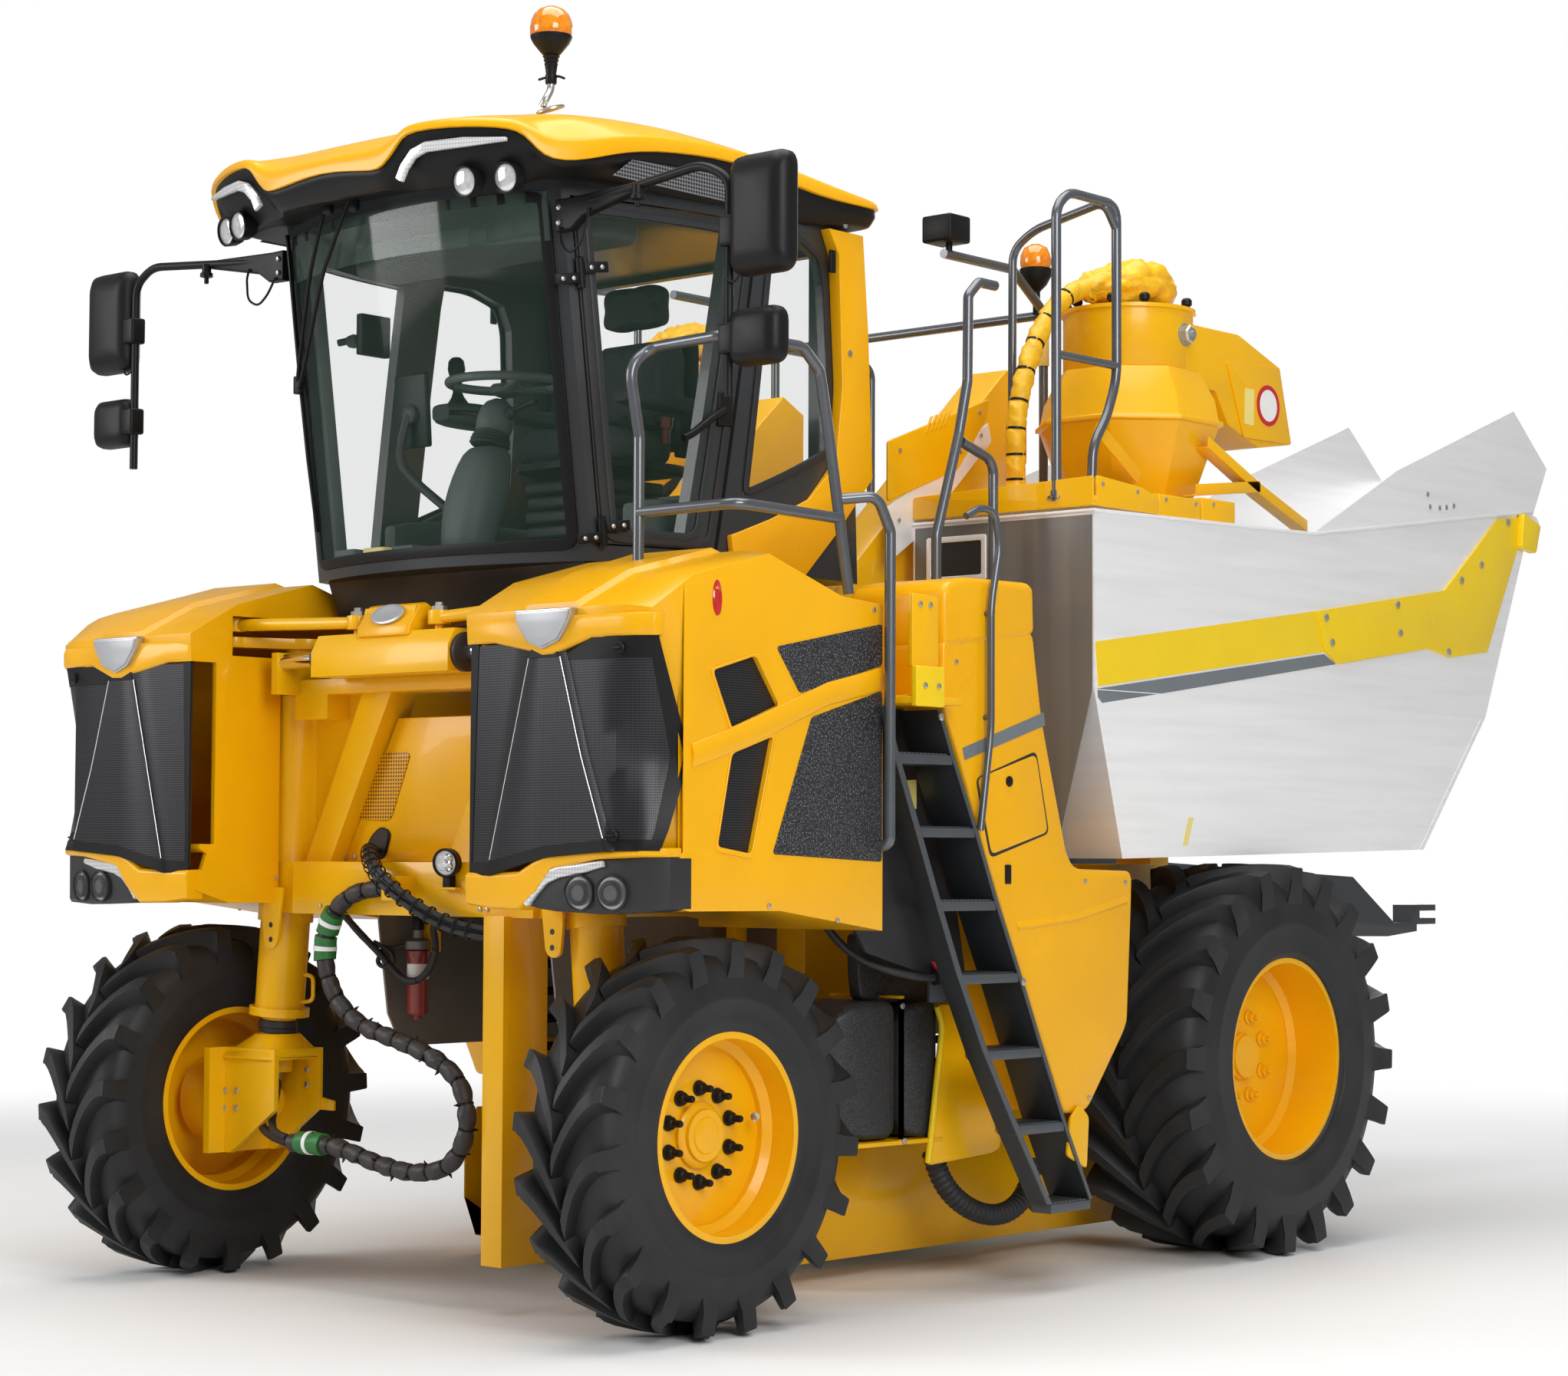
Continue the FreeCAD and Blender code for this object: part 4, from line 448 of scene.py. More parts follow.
def lathe(name, centre, axis, profile, material, steps=40, **more):
    # profile runs as (radius, distance along the axis); its ends close on the axis or on each other
    axis = Vector(axis).normalized()
    side = axis.orthogonal().normalized()
    other = axis.cross(side)
    points, faces = [], []
    for radius, along in profile:
        for k in range(steps):
            turn = 2 * math.pi * k / steps
            points.append(tuple(Vector(centre) + axis * along
                                + (side * math.cos(turn) + other * math.sin(turn)) * radius))
    loop = profile[0] == profile[-1]
    if loop:
        points = points[:-steps]
    rows = len(profile) - 1
    for i in range(rows):
        below, above = i * steps, ((i + 1) % rows if loop else i + 1) * steps
        for k in range(steps):
            after = (k + 1) % steps
            faces.append((below + k, below + after, above + after, above + k))
    if not loop:
        faces.append(tuple(range(steps)))
        faces.append(tuple(rows * steps + k for k in reversed(range(steps))))
    return fromFaces(name, points, faces, material, **more)


def ringFaces(count, size, start=0):
    # faces round and over the ends of a row of rings, whose points count up from start
    faces = []
    for i in range(count - 1):
        low, high = start + i * size, start + (i + 1) * size
        for k in range(size):
            after = (k + 1) % size
            faces.append((low + k, low + after, high + after, high + k))
    faces.append(tuple(range(start, start + size)))
    faces.append(tuple(start + (count - 1) * size + k for k in reversed(range(size))))
    return faces


def loft(name, rings, material, **more):
    # a skin over rings of equally many points
    points = [p for ring in rings for p in ring]
    return fromFaces(name, points, ringFaces(len(rings), len(rings[0])), material, **more)


def block(name, low, high, material, edge=4, **more):
    # a block with eased edges
    (a, b, c), (d, e, f) = low, high
    ring = [(a, b), (d, b), (d, e), (a, e)]
    return loft(name, [[(x, y, c) for x, y in ring], [(x, y, f) for x, y in ring]], material,
                bevel=edge, **more)


def joined(name, pieces):
    # several pieces of one finish become one piece
    form = bmesh.new()
    for piece in pieces:
        form.from_mesh(piece.data)
    first = pieces[0]
    mesh = bpy.data.meshes.new(name)
    form.to_mesh(mesh)
    form.free()
    for material in first.data.materials:
        mesh.materials.append(material)
    mesh.shade_smooth()
    mesh.set_sharp_from_angle(angle=math.radians(creaseAngle))
    first.data = mesh
    first.name = name
    for piece in pieces[1:]:
        bpy.data.objects.remove(piece)
    return first


def mirrored(piece, name, body, replaces=()):
    # the same piece on the machine's other side
    mesh = piece.data.copy()
    mesh.transform(Matrix.Scale(-1, 4, (1, 0, 0)))
    mesh.flip_normals()
    copy = finishPiece(name, mesh, None, body, replaces, smooth=0)
    if "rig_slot" in piece:
        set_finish(copy, piece["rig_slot"])


def mirrorAll(pieces, replaced=()):
    # the same pieces on the machine's other side, riding that side's own bodies
    for piece in pieces:
        mirrored(piece, piece.name.replace("Left", "Right"),
                 piece["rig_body"].replace("left", "right"), dict(replaced).get(piece.name, ()))


leftRight = ((1, "Left"), (-1, "Right"))
rightLeft = leftRight[::-1]


def strip(name, path, section, material, edge=1.5, **more):
    # one cross-section carried along a path
    return loft(name, [[(x + a, y + b, z + c) for a, b, c in section] for x, y, z in path],
                material, bevel=edge, **more)


def roundedBox(name, low, high, corner, material, **more):
    # a box with soft corners, from rings of rounded outlines
    (a, b, c), (d, e, f) = low, high
    outline = roundCorners([(a, c), (d, c), (d, f), (a, f)], corner, 5)
    middle = Vector(((a + d) / 2, (c + f) / 2))
    rings = []
    depth = e - b
    for share, shrink in ((0, 0.62), (0.1, 0.82), (0.28, 0.95), (0.55, 1.0), (0.86, 1.0),
                          (0.96, 0.97), (1, 0.93)):
        rings.append([(middle.x + (x - middle.x) * shrink, b + depth * share,
                       middle.y + (z - middle.y) * shrink) for x, z in outline])
    return loft(name, rings, material, **more)


def between(table, value):
    # straight-line lookup in a list of pairs
    if value <= table[0][0]:
        return table[0][1]
    for (a, p), (b, q) in zip(table, table[1:]):
        if value <= b:
            return p + (q - p) * (value - a) / (b - a)
    return table[-1][1]


def lensRings(stations, section, side=1):
    # rings of a lamp strip across the front: stations are x, y, z and half width
    rings = []
    for i, (x, y, z, wide) in enumerate(stations):
        a, b = stations[max(0, i - 1)], stations[min(len(stations) - 1, i + 1)]
        way = Vector((b[0] - a[0], 0, b[2] - a[2])).normalized()
        up = Vector((-way.z, 0, way.x))
        rings.append([(side * (x + up.x * u * wide), y + v, z + up.z * u * wide)
                      for u, v in section])
    return rings


def crumple(obj, size, scale, seed):
    # folds of a loose sheet: each point moves in or out by layered noise
    shift = Vector((seed, seed * 0.7, seed * 1.3))
    for vert in obj.data.vertices:
        spot = vert.co * scale + shift
        ridge = abs(noise.noise(spot)) * 2 - 0.55 + 0.5 * abs(noise.noise(spot * 2.3))
        vert.co += vert.normal * ridge * size / 1000
    obj.data.update()


def routeLine(points, fine=16):
    # a smooth line through the space of a few control points, in millimetres
    return [(spot - at(0, 0, 0)) * 1000 for spot in nurbsPoints("route", points, 4, fine)]


def softTube(name, points, radius, material, pleat=0, ties=(), tieWide=4, sides=16, ribs=(0, 0),
             **more):
    # a flexible hose along a smooth line, pinched where its ties sit
    line = routeLine(points, 64 if ribs[0] else 16)
    count = len(line)
    rings, bands = [], []
    spread = [(line[i + 1] - line[i]).length for i in range(count - 1)]
    total, run = sum(spread), 0
    reach = (line[-1] - line[0]).normalized()
    side = Vector((1, 0, 0) if abs(reach.x) < 0.8 else (0, 1, 0))
    for i, here in enumerate(line):
        way = (line[min(i + 1, count - 1)] - line[max(i - 1, 0)]).normalized()
        across = (side - way * side.dot(way)).normalized()
        up = way.cross(across)
        pinch = sum(math.exp(-((run - tie * total) / 14) ** 2) for tie in ties)
        ring = []
        for k in range(sides):
            turn = 2 * math.pi * k / sides
            wave = pleat * math.sin(run / 9 + 3 * turn) * math.cos(run / 23 + turn)
            out = radius * (1 - 0.1 * pinch) + wave
            out += ribs[1] * math.sin(run * math.pi / ribs[0]) if ribs[0] else 0
            ring.append(tuple(here + across * math.cos(turn) * out + up * math.sin(turn) * out))
        rings.append(ring)
        for tie in ties:
            if abs(run - tie * total) <= (spread[min(i, count - 2)]) / 2:
                bands.append(lathe(name + "Tie", tuple(here), tuple(way),
                                   [(radius * 0.8, -tieWide), (radius * 0.97, -tieWide),
                                    (radius * 0.97, tieWide), (radius * 0.8, tieWide),
                                    (radius * 0.8, -tieWide)], blackPlastic, 20, **more))
        run += spread[min(i, count - 2)]
    made = [loft(name, rings, material, **more)]
    if bands:
        made.append(joined(name + "Ties", bands))
    return made


bodyOf = {node: body for body, nodes in frame["record"]["behaviour"]["bodies"].items()
          for node in nodes}


def refined(node, material, edge=4, cuts=(), shape=None, name=None):
    # a copy of the node's form, cut along planes, pulled by shape(x, y, z), its edges eased
    form = bmesh.new()
    form.from_mesh(cad[node].data)
    bmesh.ops.remove_doubles(form, verts=form.verts, dist=weldGap["frame"])
    bmesh.ops.dissolve_limit(form, angle_limit=0.02, verts=form.verts, edges=form.edges)
    for place, normal in cuts:
        bmesh.ops.bisect_plane(form, geom=form.verts[:] + form.edges[:] + form.faces[:],
                               dist=weldGap["frame"], plane_co=at(*place), plane_no=Vector(normal))
    if shape:
        for vert in form.verts:
            spot = (vert.co - at(0, 0, 0)) * 1000
            vert.co = at(*shape(*spot))
        bmesh.ops.connect_verts_nonplanar(form, angle_limit=0.05, faces=form.faces)
    mesh = bpy.data.meshes.new(node)
    form.to_mesh(mesh)
    form.free()
    piece = finishPiece(name or node + "Look", mesh, material, bodyOf[node], [node], smooth=0)
    return applied(piece, edge) if edge else piece


def bolts(name, centres, axis, radius, height, material, sides=6, **more):
    return joined(name, [lathe(name + str(i), centre, axis,
                               [(radius, 0), (radius, height * 0.8), (radius * 0.8, height)],
                               material, sides, **more) for i, centre in enumerate(centres)])


def paint(material, *names):
    for name in names:
        slots = cad[name].data.materials
        if slots:
            for i in range(len(slots)):
                slots[i] = material
        else:
            slots.append(material)


paint(yellow, "front_legs", "rear_legs", "knuckle_left", "knuckle_right", "chassis_frame",
      "tunnel_lining", "troughs", "elevators", "front_cover", "walkway_left", "walkway_right",
      "rear_frame", "side_towers", "step_box", "rear_deck", "steering_cylinder", "tie_rod_left",
      "tie_rod_right", "fan_left", "fan_right")
paint(wheelYellow, "front_rim_left", "front_rim_right", "rear_rim_left", "rear_rim_right")
paint(amber, "cab_fairings", "pod_left", "pod_right")
paint(stainless, "hopper_left", "hopper_right")
paint(railGrey, "handrails", "rear_rails")
paint(cabGrey, "cab_shell", "cab_door")
paint(darkGrey, "ladder", "drawbar")
paint(blackPlastic, "shakers", "side_tank", "mirrors", "grille_left", "grille_right")
paint(greenPlastic, "catcher_scales")
paint(chrome, "steering_rod")
paint(castGrey, "engine")
paint(cabPlastic, "steering_column", "steering_wheel")

# front hose: a sleeved hose bundle across the tunnel's mouth

# places along it are in metres from its upper end
frontHose = {"across": -152, "thick": 64, "length": 2.27,
             "route": [(-40.3, 1302), (-185, 1302), (-318, 1225), (-360, 1085), (-305, 950),
                       (-180, 862), (0, 825), (165, 780), (295, 712), (334, 570), (262, 445),
                       (105, 410), (-60, 425), (-240, 468), (-410, 482), (-500, 472)],
             "tieEvery": 78, "pleats": 0.0035, "noTies": (0.30, 0.44),
             "collars": [(0.285, 0.36), (0.372, 0.447), (2.10, 2.16), (2.165, 2.215)],
             "bands": (0.322, 0.41, 2.163)}


def makeFrontHose(h):
    # bare line first: the sleeve, its ties and its collars all follow it
    line = nurbsPoints("hoseLine", [(x, h["across"], z) for x, z in h["route"]], 3, 24)
    runs = [0]
    for a, b in zip(line, line[1:]):
        runs.append(runs[-1] + (b - a).length)

    def along(distance):
        # place and direction at a distance along the line
        for i in range(1, len(line)):
            if runs[i] >= distance or i == len(line) - 1:
                share = (distance - runs[i - 1]) / (runs[i] - runs[i - 1])
                place = line[i - 1].lerp(line[i], min(share, 1))
                return place, (line[i] - line[i - 1]).normalized()

    def tubeAlong(name, start, end, radiusAt, material, step=0.006, sides=20):
        form = bmesh.new()
        rings = []
        count = max(2, round((end - start) / step))
        for i in range(count + 1):
            distance = start + (end - start) * i / count
            place, way = along(distance)
            side = Vector((0, 1, 0))
            up = way.cross(side).normalized()
            ring = []
            for k in range(sides):
                turn = 2 * math.pi * k / sides
                radius = radiusAt(distance, turn)
                ring.append(form.verts.new(place + (side * math.cos(turn) + up * math.sin(turn))
                                           * radius))
            rings.append(ring)
        for a, b in zip(rings, rings[1:]):
            for k in range(sides):
                form.faces.new((a[k], a[(k + 1) % sides], b[(k + 1) % sides], b[k]))
        form.faces.new(rings[0])
        form.faces.new(list(reversed(rings[-1])))
        bmesh.ops.recalc_face_normals(form, faces=form.faces)
        shape = bpy.data.meshes.new(name)
        form.to_mesh(shape)
        form.free()
        return finishPiece(name, shape, material, smooth=50)

    full = h["thick"] / 2000
    random.seed(7)
    folds = [(random.uniform(9, 23), random.uniform(0, 6.3), random.choice((2, 3, 3, 5)))
             for _ in range(7)]
    tieStep = h["tieEvery"] / 1000

    def sleeveRadius(distance, turn):
        pinch = math.exp(-((distance % tieStep - tieStep / 2) / 0.007) ** 2)
        wave = sum(math.sin(distance * rate * 6.3 + turn * turns + phase)
                   for rate, phase, turns in folds) / 7
        swell = math.cos((distance % tieStep / tieStep - 0.5) * 6.283)
        return full - 0.0042 - 0.004 * pinch + h["pleats"] * wave - 0.0012 * swell

    total = runs[-1]
    body = tubeAlong("frontHose", 0, total, sleeveRadius, sleeve)
    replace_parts(body, "hose_front")
    extras = []
    for i in range(int(total / tieStep)):
        where = tieStep * (i + 0.5)
        if h["noTies"][0] < where < h["noTies"][1]:
            continue
        extras.append(tubeAlong("hoseTie" + str(i), where - 0.003, where + 0.003,
                                lambda d, t: full - 0.0062, blackPlastic, 0.002))
        place, way = along(where)
        turn = random.uniform(0, 6.3)
        outward = Vector((0, math.cos(turn), 0)) + way.cross(Vector((0, 1, 0))) * math.sin(turn)
        low = (place + outward * (full - 0.006) - at(0, 0, 0)) * 1000
        extras.append(lathe("tieHead" + str(i), tuple(low), tuple(outward),
                            [(5, 0), (5, 5), (3, 7), (2, 14)], blackPlastic, 6))
    ties = joined("hoseTies", extras)
    greens = [tubeAlong("hoseCollar" + str(i), a, b,
                        lambda d, t, a=a: full + 0.0042 + 0.0012 * math.sin(t * 3 + d * 90),
                        greenPlastic, 0.005, 28) for i, (a, b) in enumerate(h["collars"])]
    bands = [tubeAlong("hoseBand" + str(i), m - 0.008, m + 0.008, lambda d, t: full + 0.0062,
                       signWhite, 0.004, 28) for i, m in enumerate(h["bands"])]
    collar, band = joined("hoseCollars", greens), joined("hoseBands", bands)


makeFrontHose(frontHose)
print("front hose made")

# tyres: ribbed casing with staggered curved lugs

frontTyre = {"radius": 585, "width": 340, "bead": 300, "lugs": 19, "deep": 46, "lugWide": 48,
             "sweep": 0.36, "at": (1120, 0, 585)}
rearTyre = {"radius": 695, "width": 540, "bead": 352, "lugs": 20, "deep": 52, "lugWide": 60,
            "sweep": 0.36, "at": (1150, 2842, 695)}


def makeTyre(name, t, body, node):
    radius, half, deep = t["radius"], t["width"] / 2, t["deep"]
    floor = radius - deep
    cx, cy, cz = t["at"]
    bead, wall = t["bead"], half - 4
    rise = floor - bead
    profile = [(bead, half * 0.84), (bead + 12, half * 0.92), (bead + 20, half * 0.93),
               (bead + 26, half * 0.955), (bead + rise * 0.2, wall * 0.985),
               (bead + rise * 0.42, wall), (bead + rise * 0.45, wall + 2.5),
               (bead + rise * 0.48, wall), (bead + rise * 0.68, wall * 0.985),
               (bead + rise * 0.84, wall * 0.93), (floor - 12, wall * 0.8),
               (floor + 1, wall * 0.55), (floor + 4, 0)]
    section = profile + [(r, -x) for r, x in reversed(profile[:-1])]
    section = section + [(bead, -half * 0.8), (bead, half * 0.8)]
    casing = lathe(name, (cx, cy, cz), toLeft, section + [section[0]], rubber, 96)
    lugs, faces = [], []
    count, pitch = t["lugs"], 2 * math.pi / t["lugs"]

    def casingRadius(x):
        # height of the casing's skin at a distance from the middle
        share = min(abs(x) / wall, 1)
        if share <= 0.55:
            return floor + 3 - 4 * share
        if share <= 0.8:
            return floor + 1 - 13 * (share - 0.55) / 0.25
        return floor - 12 - (rise * 0.3) * ((share - 0.8) / 0.2) ** 1.6

    for side in (1, -1):
        for i in range(count):
            base = i * pitch + (pitch / 2 if side < 0 else 0)
            rings = []
            stations = [-0.05, 0.03, 0.12, 0.25, 0.4, 0.55, 0.7, 0.84, 0.94, 1.0, 1.0, 1.0]
            for j, share in enumerate(stations):
                x = share * (half - 1)
                swing = t["sweep"] * (1 - (1 - min(share, 0.94)) ** 1.7)
                angle = base + swing
                down = max(0, j - 9)
                top = radius - 5 * share * share - (8, 0)[share < 0.9] - 24 * down ** 1.25
                under = min(casingRadius(x) - 6, top - 4)
                grow = 0.82 + 0.4 * share + 0.12 * down
                wide = t["lugWide"] * grow / 2
                slant = 0.25 + 0.75 * (1 - share)
                ring = []
                for across, high, lean in ((-1.42, under, 1), (-0.98, top - 5, 1), (-0.86, top, 1),
                                           (0.86, top, 1), (0.98, top - 5, 1), (1.42, under, 1)):
                    turn = angle + across * wide / radius
                    shift = -across * wide * slant * 0.55 * (0 if share < 0 else 1)
                    xx = side * max(-4,
                                    min(half - 0.5, x + shift * lean * (0.4 if share < 0.9 else 0)))
                    if share >= 1:
                        xx = side * (half - 0.5 - (10 if high == under else 0))
                    ring.append((cx + xx, cy + high * math.sin(turn), cz + high * math.cos(turn)))
                rings.append(ring)
            faces += ringFaces(len(rings), len(rings[0]), len(lugs))
            lugs += [p for ring in rings for p in ring]
    tread = fromFaces(name + "Lugs", lugs, faces, rubber)
    piece = joined(name, [casing, tread])
    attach(piece, body)
    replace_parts(piece, node)
    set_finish(piece, "tyre")
    return piece


for kind, size in (("front", frontTyre), ("rear", rearTyre)):
    left = makeTyre(kind + "TyreLeft", size, kind + "_wheel_left", kind + "_tyre_left")
    mirrored(left, kind + "TyreRight", kind + "_wheel_right", [kind + "_tyre_right"])
print("tyres made")

# wheel discs, hub studs and valves

wheelFittings = {"studs": 10, "studCircle": 138, "discFace": 28, "nuts": 8, "nutCircle": 150,
                 "rearDiscFace": 42}


def makeHub(w):
    x, _, axle = frontTyre["at"]
    face = x + w["discFace"]
    studs = []
    for i in range(w["studs"]):
        turn = 2 * math.pi * (i + 0.5) / w["studs"]
        y, z = w["studCircle"] * math.cos(turn), axle + w["studCircle"] * math.sin(turn)
        studs.append(lathe("stud" + str(i), (face, y, z), toLeft,
                           [(24, 0), (24, 4), (20, 6), (20, 16), (15, 24), (11, 26), (11, 50),
                            (9, 54)], blackPlastic, 12))
    piece = joined("hubStudsLeft", studs)
    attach(piece, "front_wheel_left")
    mirrored(piece, "hubStudsRight", "front_wheel_right")
    cap = lathe("hubCapLeft", (face - 2, 0, axle), toLeft,
                [(98, 0), (98, 12), (90, 20), (60, 26), (52, 38), (30, 42), (12, 40), (0.5, 40)],
                wheelYellow, 48, body="front_wheel_left")
    mirrored(cap, "hubCapRight", "front_wheel_right")
    rearX, rearY, rearAxle = rearTyre["at"]
    rearFace = rearX + w["rearDiscFace"]
    nuts = []
    for i in range(w["nuts"]):
        turn = 2 * math.pi * (i + 0.5) / w["nuts"]
        nuts.append(lathe("nut" + str(i), (rearFace, rearY + w["nutCircle"] * math.cos(turn),
                                           rearAxle + w["nutCircle"] * math.sin(turn)), toLeft,
                          [(26, 0), (26, 5), (18, 8), (18, 22), (10, 24), (10, 40), (8, 43)],
                          wheelYellow, 12))
    piece = joined("rearHubNutsLeft", nuts)
    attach(piece, "rear_wheel_left")
    mirrored(piece, "rearHubNutsRight", "rear_wheel_right")
    cap = lathe("rearHubCapLeft", (rearFace - 2, rearY, rearAxle), toLeft,
                [(84, 0), (84, 16), (74, 26), (40, 32), (10, 32), (0.5, 30)], wheelYellow, 40,
                body="rear_wheel_left")
    mirrored(cap, "rearHubCapRight", "rear_wheel_right")
    valve = lathe("valveLeft", (x + 70, 205, 630), (0.6, -0.75, -0.28),
                  [(14, 0), (14, 3), (7, 6), (6, 26), (4, 34)], zinc, 12, body="front_wheel_left")
    mirrored(valve, "valveRight", "front_wheel_right")


makeHub(wheelFittings)
print("wheel fittings made")

# cab: raked panes with black borders, seals, door gear and roof

cab = {"floor": 2318, "top": 3500, "rake": 157, "halfFront": 640, "halfRear": 700, "corner": 57,
       "bulge": 145, "rear": 1215, "sideBulge": 121}


def rakeAt(z):
    return -cab["rake"] * (z - cab["floor"]) / (cab["top"] - cab["floor"])


def frontSkin(x, z, out=0):
    # the windscreen's bowed outer face
    bow = (cab["halfFront"] ** 2 + cab["bulge"] ** 2) / (2 * cab["bulge"])
    y = cab["corner"] - cab["bulge"] + bow - math.sqrt(bow * bow - x * x) - out
    return (x, y + rakeAt(z), z)


def sideSkin(y, z, out=0, side=1):
    # the cab flank's bowed outer face; y is measured where it is, rake included
    y0 = y - rakeAt(z)
    span = Vector((cab["halfRear"] - cab["halfFront"], cab["rear"] + cab["rake"] - cab["corner"]))
    half = span.length / 2
    bow = (half * half + cab["sideBulge"] ** 2) / (2 * cab["sideBulge"])
    middle = Vector((cab["halfFront"], cab["corner"])) + span / 2
    inward = Vector((-span.y, span.x)).normalized()
    centre = middle + inward * (bow - cab["sideBulge"])
    x = centre.x + math.sqrt(max(0, (bow + out) ** 2 - (y0 - centre.y) ** 2))
    return (side * x, y, z)


def skinPatch(name, outline, skinAt, material, out=0, thick=0, **more):
    # fills an outline of four corners on a curved skin: low left, low right, high right, high left
    (a0, low), (b0, _), (b1, high), (a1, _) = outline
    points, faces = [], []
    rows, cols = 10, 12
    for r in range(rows + 1):
        v = r / rows
        z = low + (high - low) * v
        left, right = a0 + (a1 - a0) * v, b0 + (b1 - b0) * v
        for c in range(cols + 1):
            points.append(skinAt(left + (right - left) * c / cols, z, out))
    for r in range(rows):
        for c in range(cols):
            i = r * (cols + 1) + c
            faces.append((i, i + 1, i + cols + 2, i + cols + 1))
    return fromFaces(name, points, faces, material, thick=thick, **more)


def skinFrame(name, edge, skinAt, material, wide, out, thick, **more):
    # a strip along a closed outline on a curved skin, wide inward
    centre = Vector((sum(p[0] for p in edge) / len(edge), sum(p[1] for p in edge) / len(edge)))
    loop = roundCorners(edge, 55, 5)
    fine = []
    for i, here in enumerate(loop):
        after = loop[(i + 1) % len(loop)]
        steps = max(1, int((Vector(after) - Vector(here)).length / 90))
        fine += [tuple(Vector(here).lerp(Vector(after), k / steps)) for k in range(steps)]
    count = len(fine)
    inner = []
    for i in range(count):
        here = Vector(fine[i])
        way = (Vector(fine[(i + 1) % count]) - Vector(fine[i - 1])).normalized()
        side = Vector((-way.y, way.x))
        if side.dot(centre - here) < 0:
            side = -side
        inner.append(tuple(here + side * wide))
    points = []
    for ring, lift in ((fine, out - thick), (fine, out), (inner, out), (inner, out - thick)):
        points += [skinAt(a, z, lift) for a, z in ring]
    faces = []
    for r in range(4):
        for k in range(count):
            a, b = r * count, ((r + 1) % 4) * count
            faces.append((a + k, a + (k + 1) % count, b + (k + 1) % count, b + k))
    return fromFaces(name, points, faces, material, bevel=1.5, **more)


screen = {"half": 606, "low": 2352, "high": 3452, "band": 3300}


door = {"front": 83, "rear": 481, "lean": 0.1554}


def rightSkin(y, z, out=0):
    return sideSkin(y, z, out, -1)


def doorOutline(low, high, inset):
    # the door opening's corners between two levels, set in from its front and rear edges
    corners = []
    for z in (low, high):
        corners.append((door["front"] + inset + rakeAt(z), z))
        corners.append((door["rear"] - 2.5 * inset + door["lean"] * (z - cab["floor"]), z))
    return corners[:2] + corners[:1:-1]


def makeCabGlass(s):
    low, high, half = s["low"], s["high"], s["half"]
    edge = [(-half, low), (half, low), (half, high), (-half, high)]
    skinPatch("windscreen", edge, frontSkin, glass, 7, 5)
    skinPatch("windscreenBand",
              [(4 - half, s["band"]), (half - 4, s["band"]), (half - 4, high), (4 - half, high)],
              frontSkin, bandGlass, 8.5)
    skinFrame("windscreenBorder", edge, frontSkin, blackPlastic, 34, 8, 7)
    # door: full-height pane in a grey frame
    ride = {"body": "cab_door_body"}
    skinPatch("doorGlass", doorOutline(2396, 3412, 22), sideSkin, glass, 2, 5, **ride)
    skinFrame("doorSeal", doorOutline(2378, 3430, 10), sideSkin, softBlack, 26, 7, 9, **ride)
    skinFrame("doorRim", doorOutline(2398, 3410, 34), sideSkin, cabGrey, 20, 9, 8, **ride)
    pane = doorOutline(2392, 3416, 30)
    skinPatch("rightGlass", pane, rightSkin, glass, 2, 5)
    skinFrame("rightSeal", pane, rightSkin, softBlack, 26, 6, 8)
    quarter = [(592, 2560), (1032, 2745), (1040, 2963), (1020, 3300), (985, 3385), (860, 3430),
               (722, 3430), (704, 3340)]
    wide = [(y + (10 if y > 800 else -10), z + (12 if z > 3000 else -14)) for y, z in quarter]
    for side, skin in (("Left", sideSkin), ("Right", rightSkin)):
        pane = [skin(y, z, 3) for y, z in wide]
        middle = skin(830, 3000, 3)
        fromFaces("quarterGlass" + side, pane + [middle],
                  [(k, (k + 1) % len(pane), len(pane)) for k in range(len(pane))], glass, thick=4)
        skinFrame("quarterSeal" + side, wide, skin, softBlack, 24, 8, 7)
    rearPane = [(x, cab["rear"] + 4, z)
                for x, z in ((-572, 2660), (572, 2660), (572, 3448), (-572, 3448))]
    fromFaces("rearGlass", rearPane, [(0, 1, 2, 3)], glass, thick=4)


bandGlass = clear("windscreen band", (0.08, 0.13, 0.10), 0.45)
makeCabGlass(screen)
print("cab glass made")

hinge = {"place": (671.5, 81.4, 2318), "rise": (0, -0.1317, 0.9913), "yaw": 22.4, "lugs": (60, 860)}


def onHinge(across, back, up):
    # from the door hinge's own directions to the machine's
    turn = math.radians(-hinge["yaw"])
    x = across * math.cos(turn) - back * math.sin(turn)
    y = across * math.sin(turn) + back * math.cos(turn)
    rise = Vector(hinge["rise"])
    side = Vector((1, 0, 0))
    depth = rise.cross(side).normalized()
    out = Vector(hinge["place"]) + side * x + depth * y + rise * up
    return tuple(out)


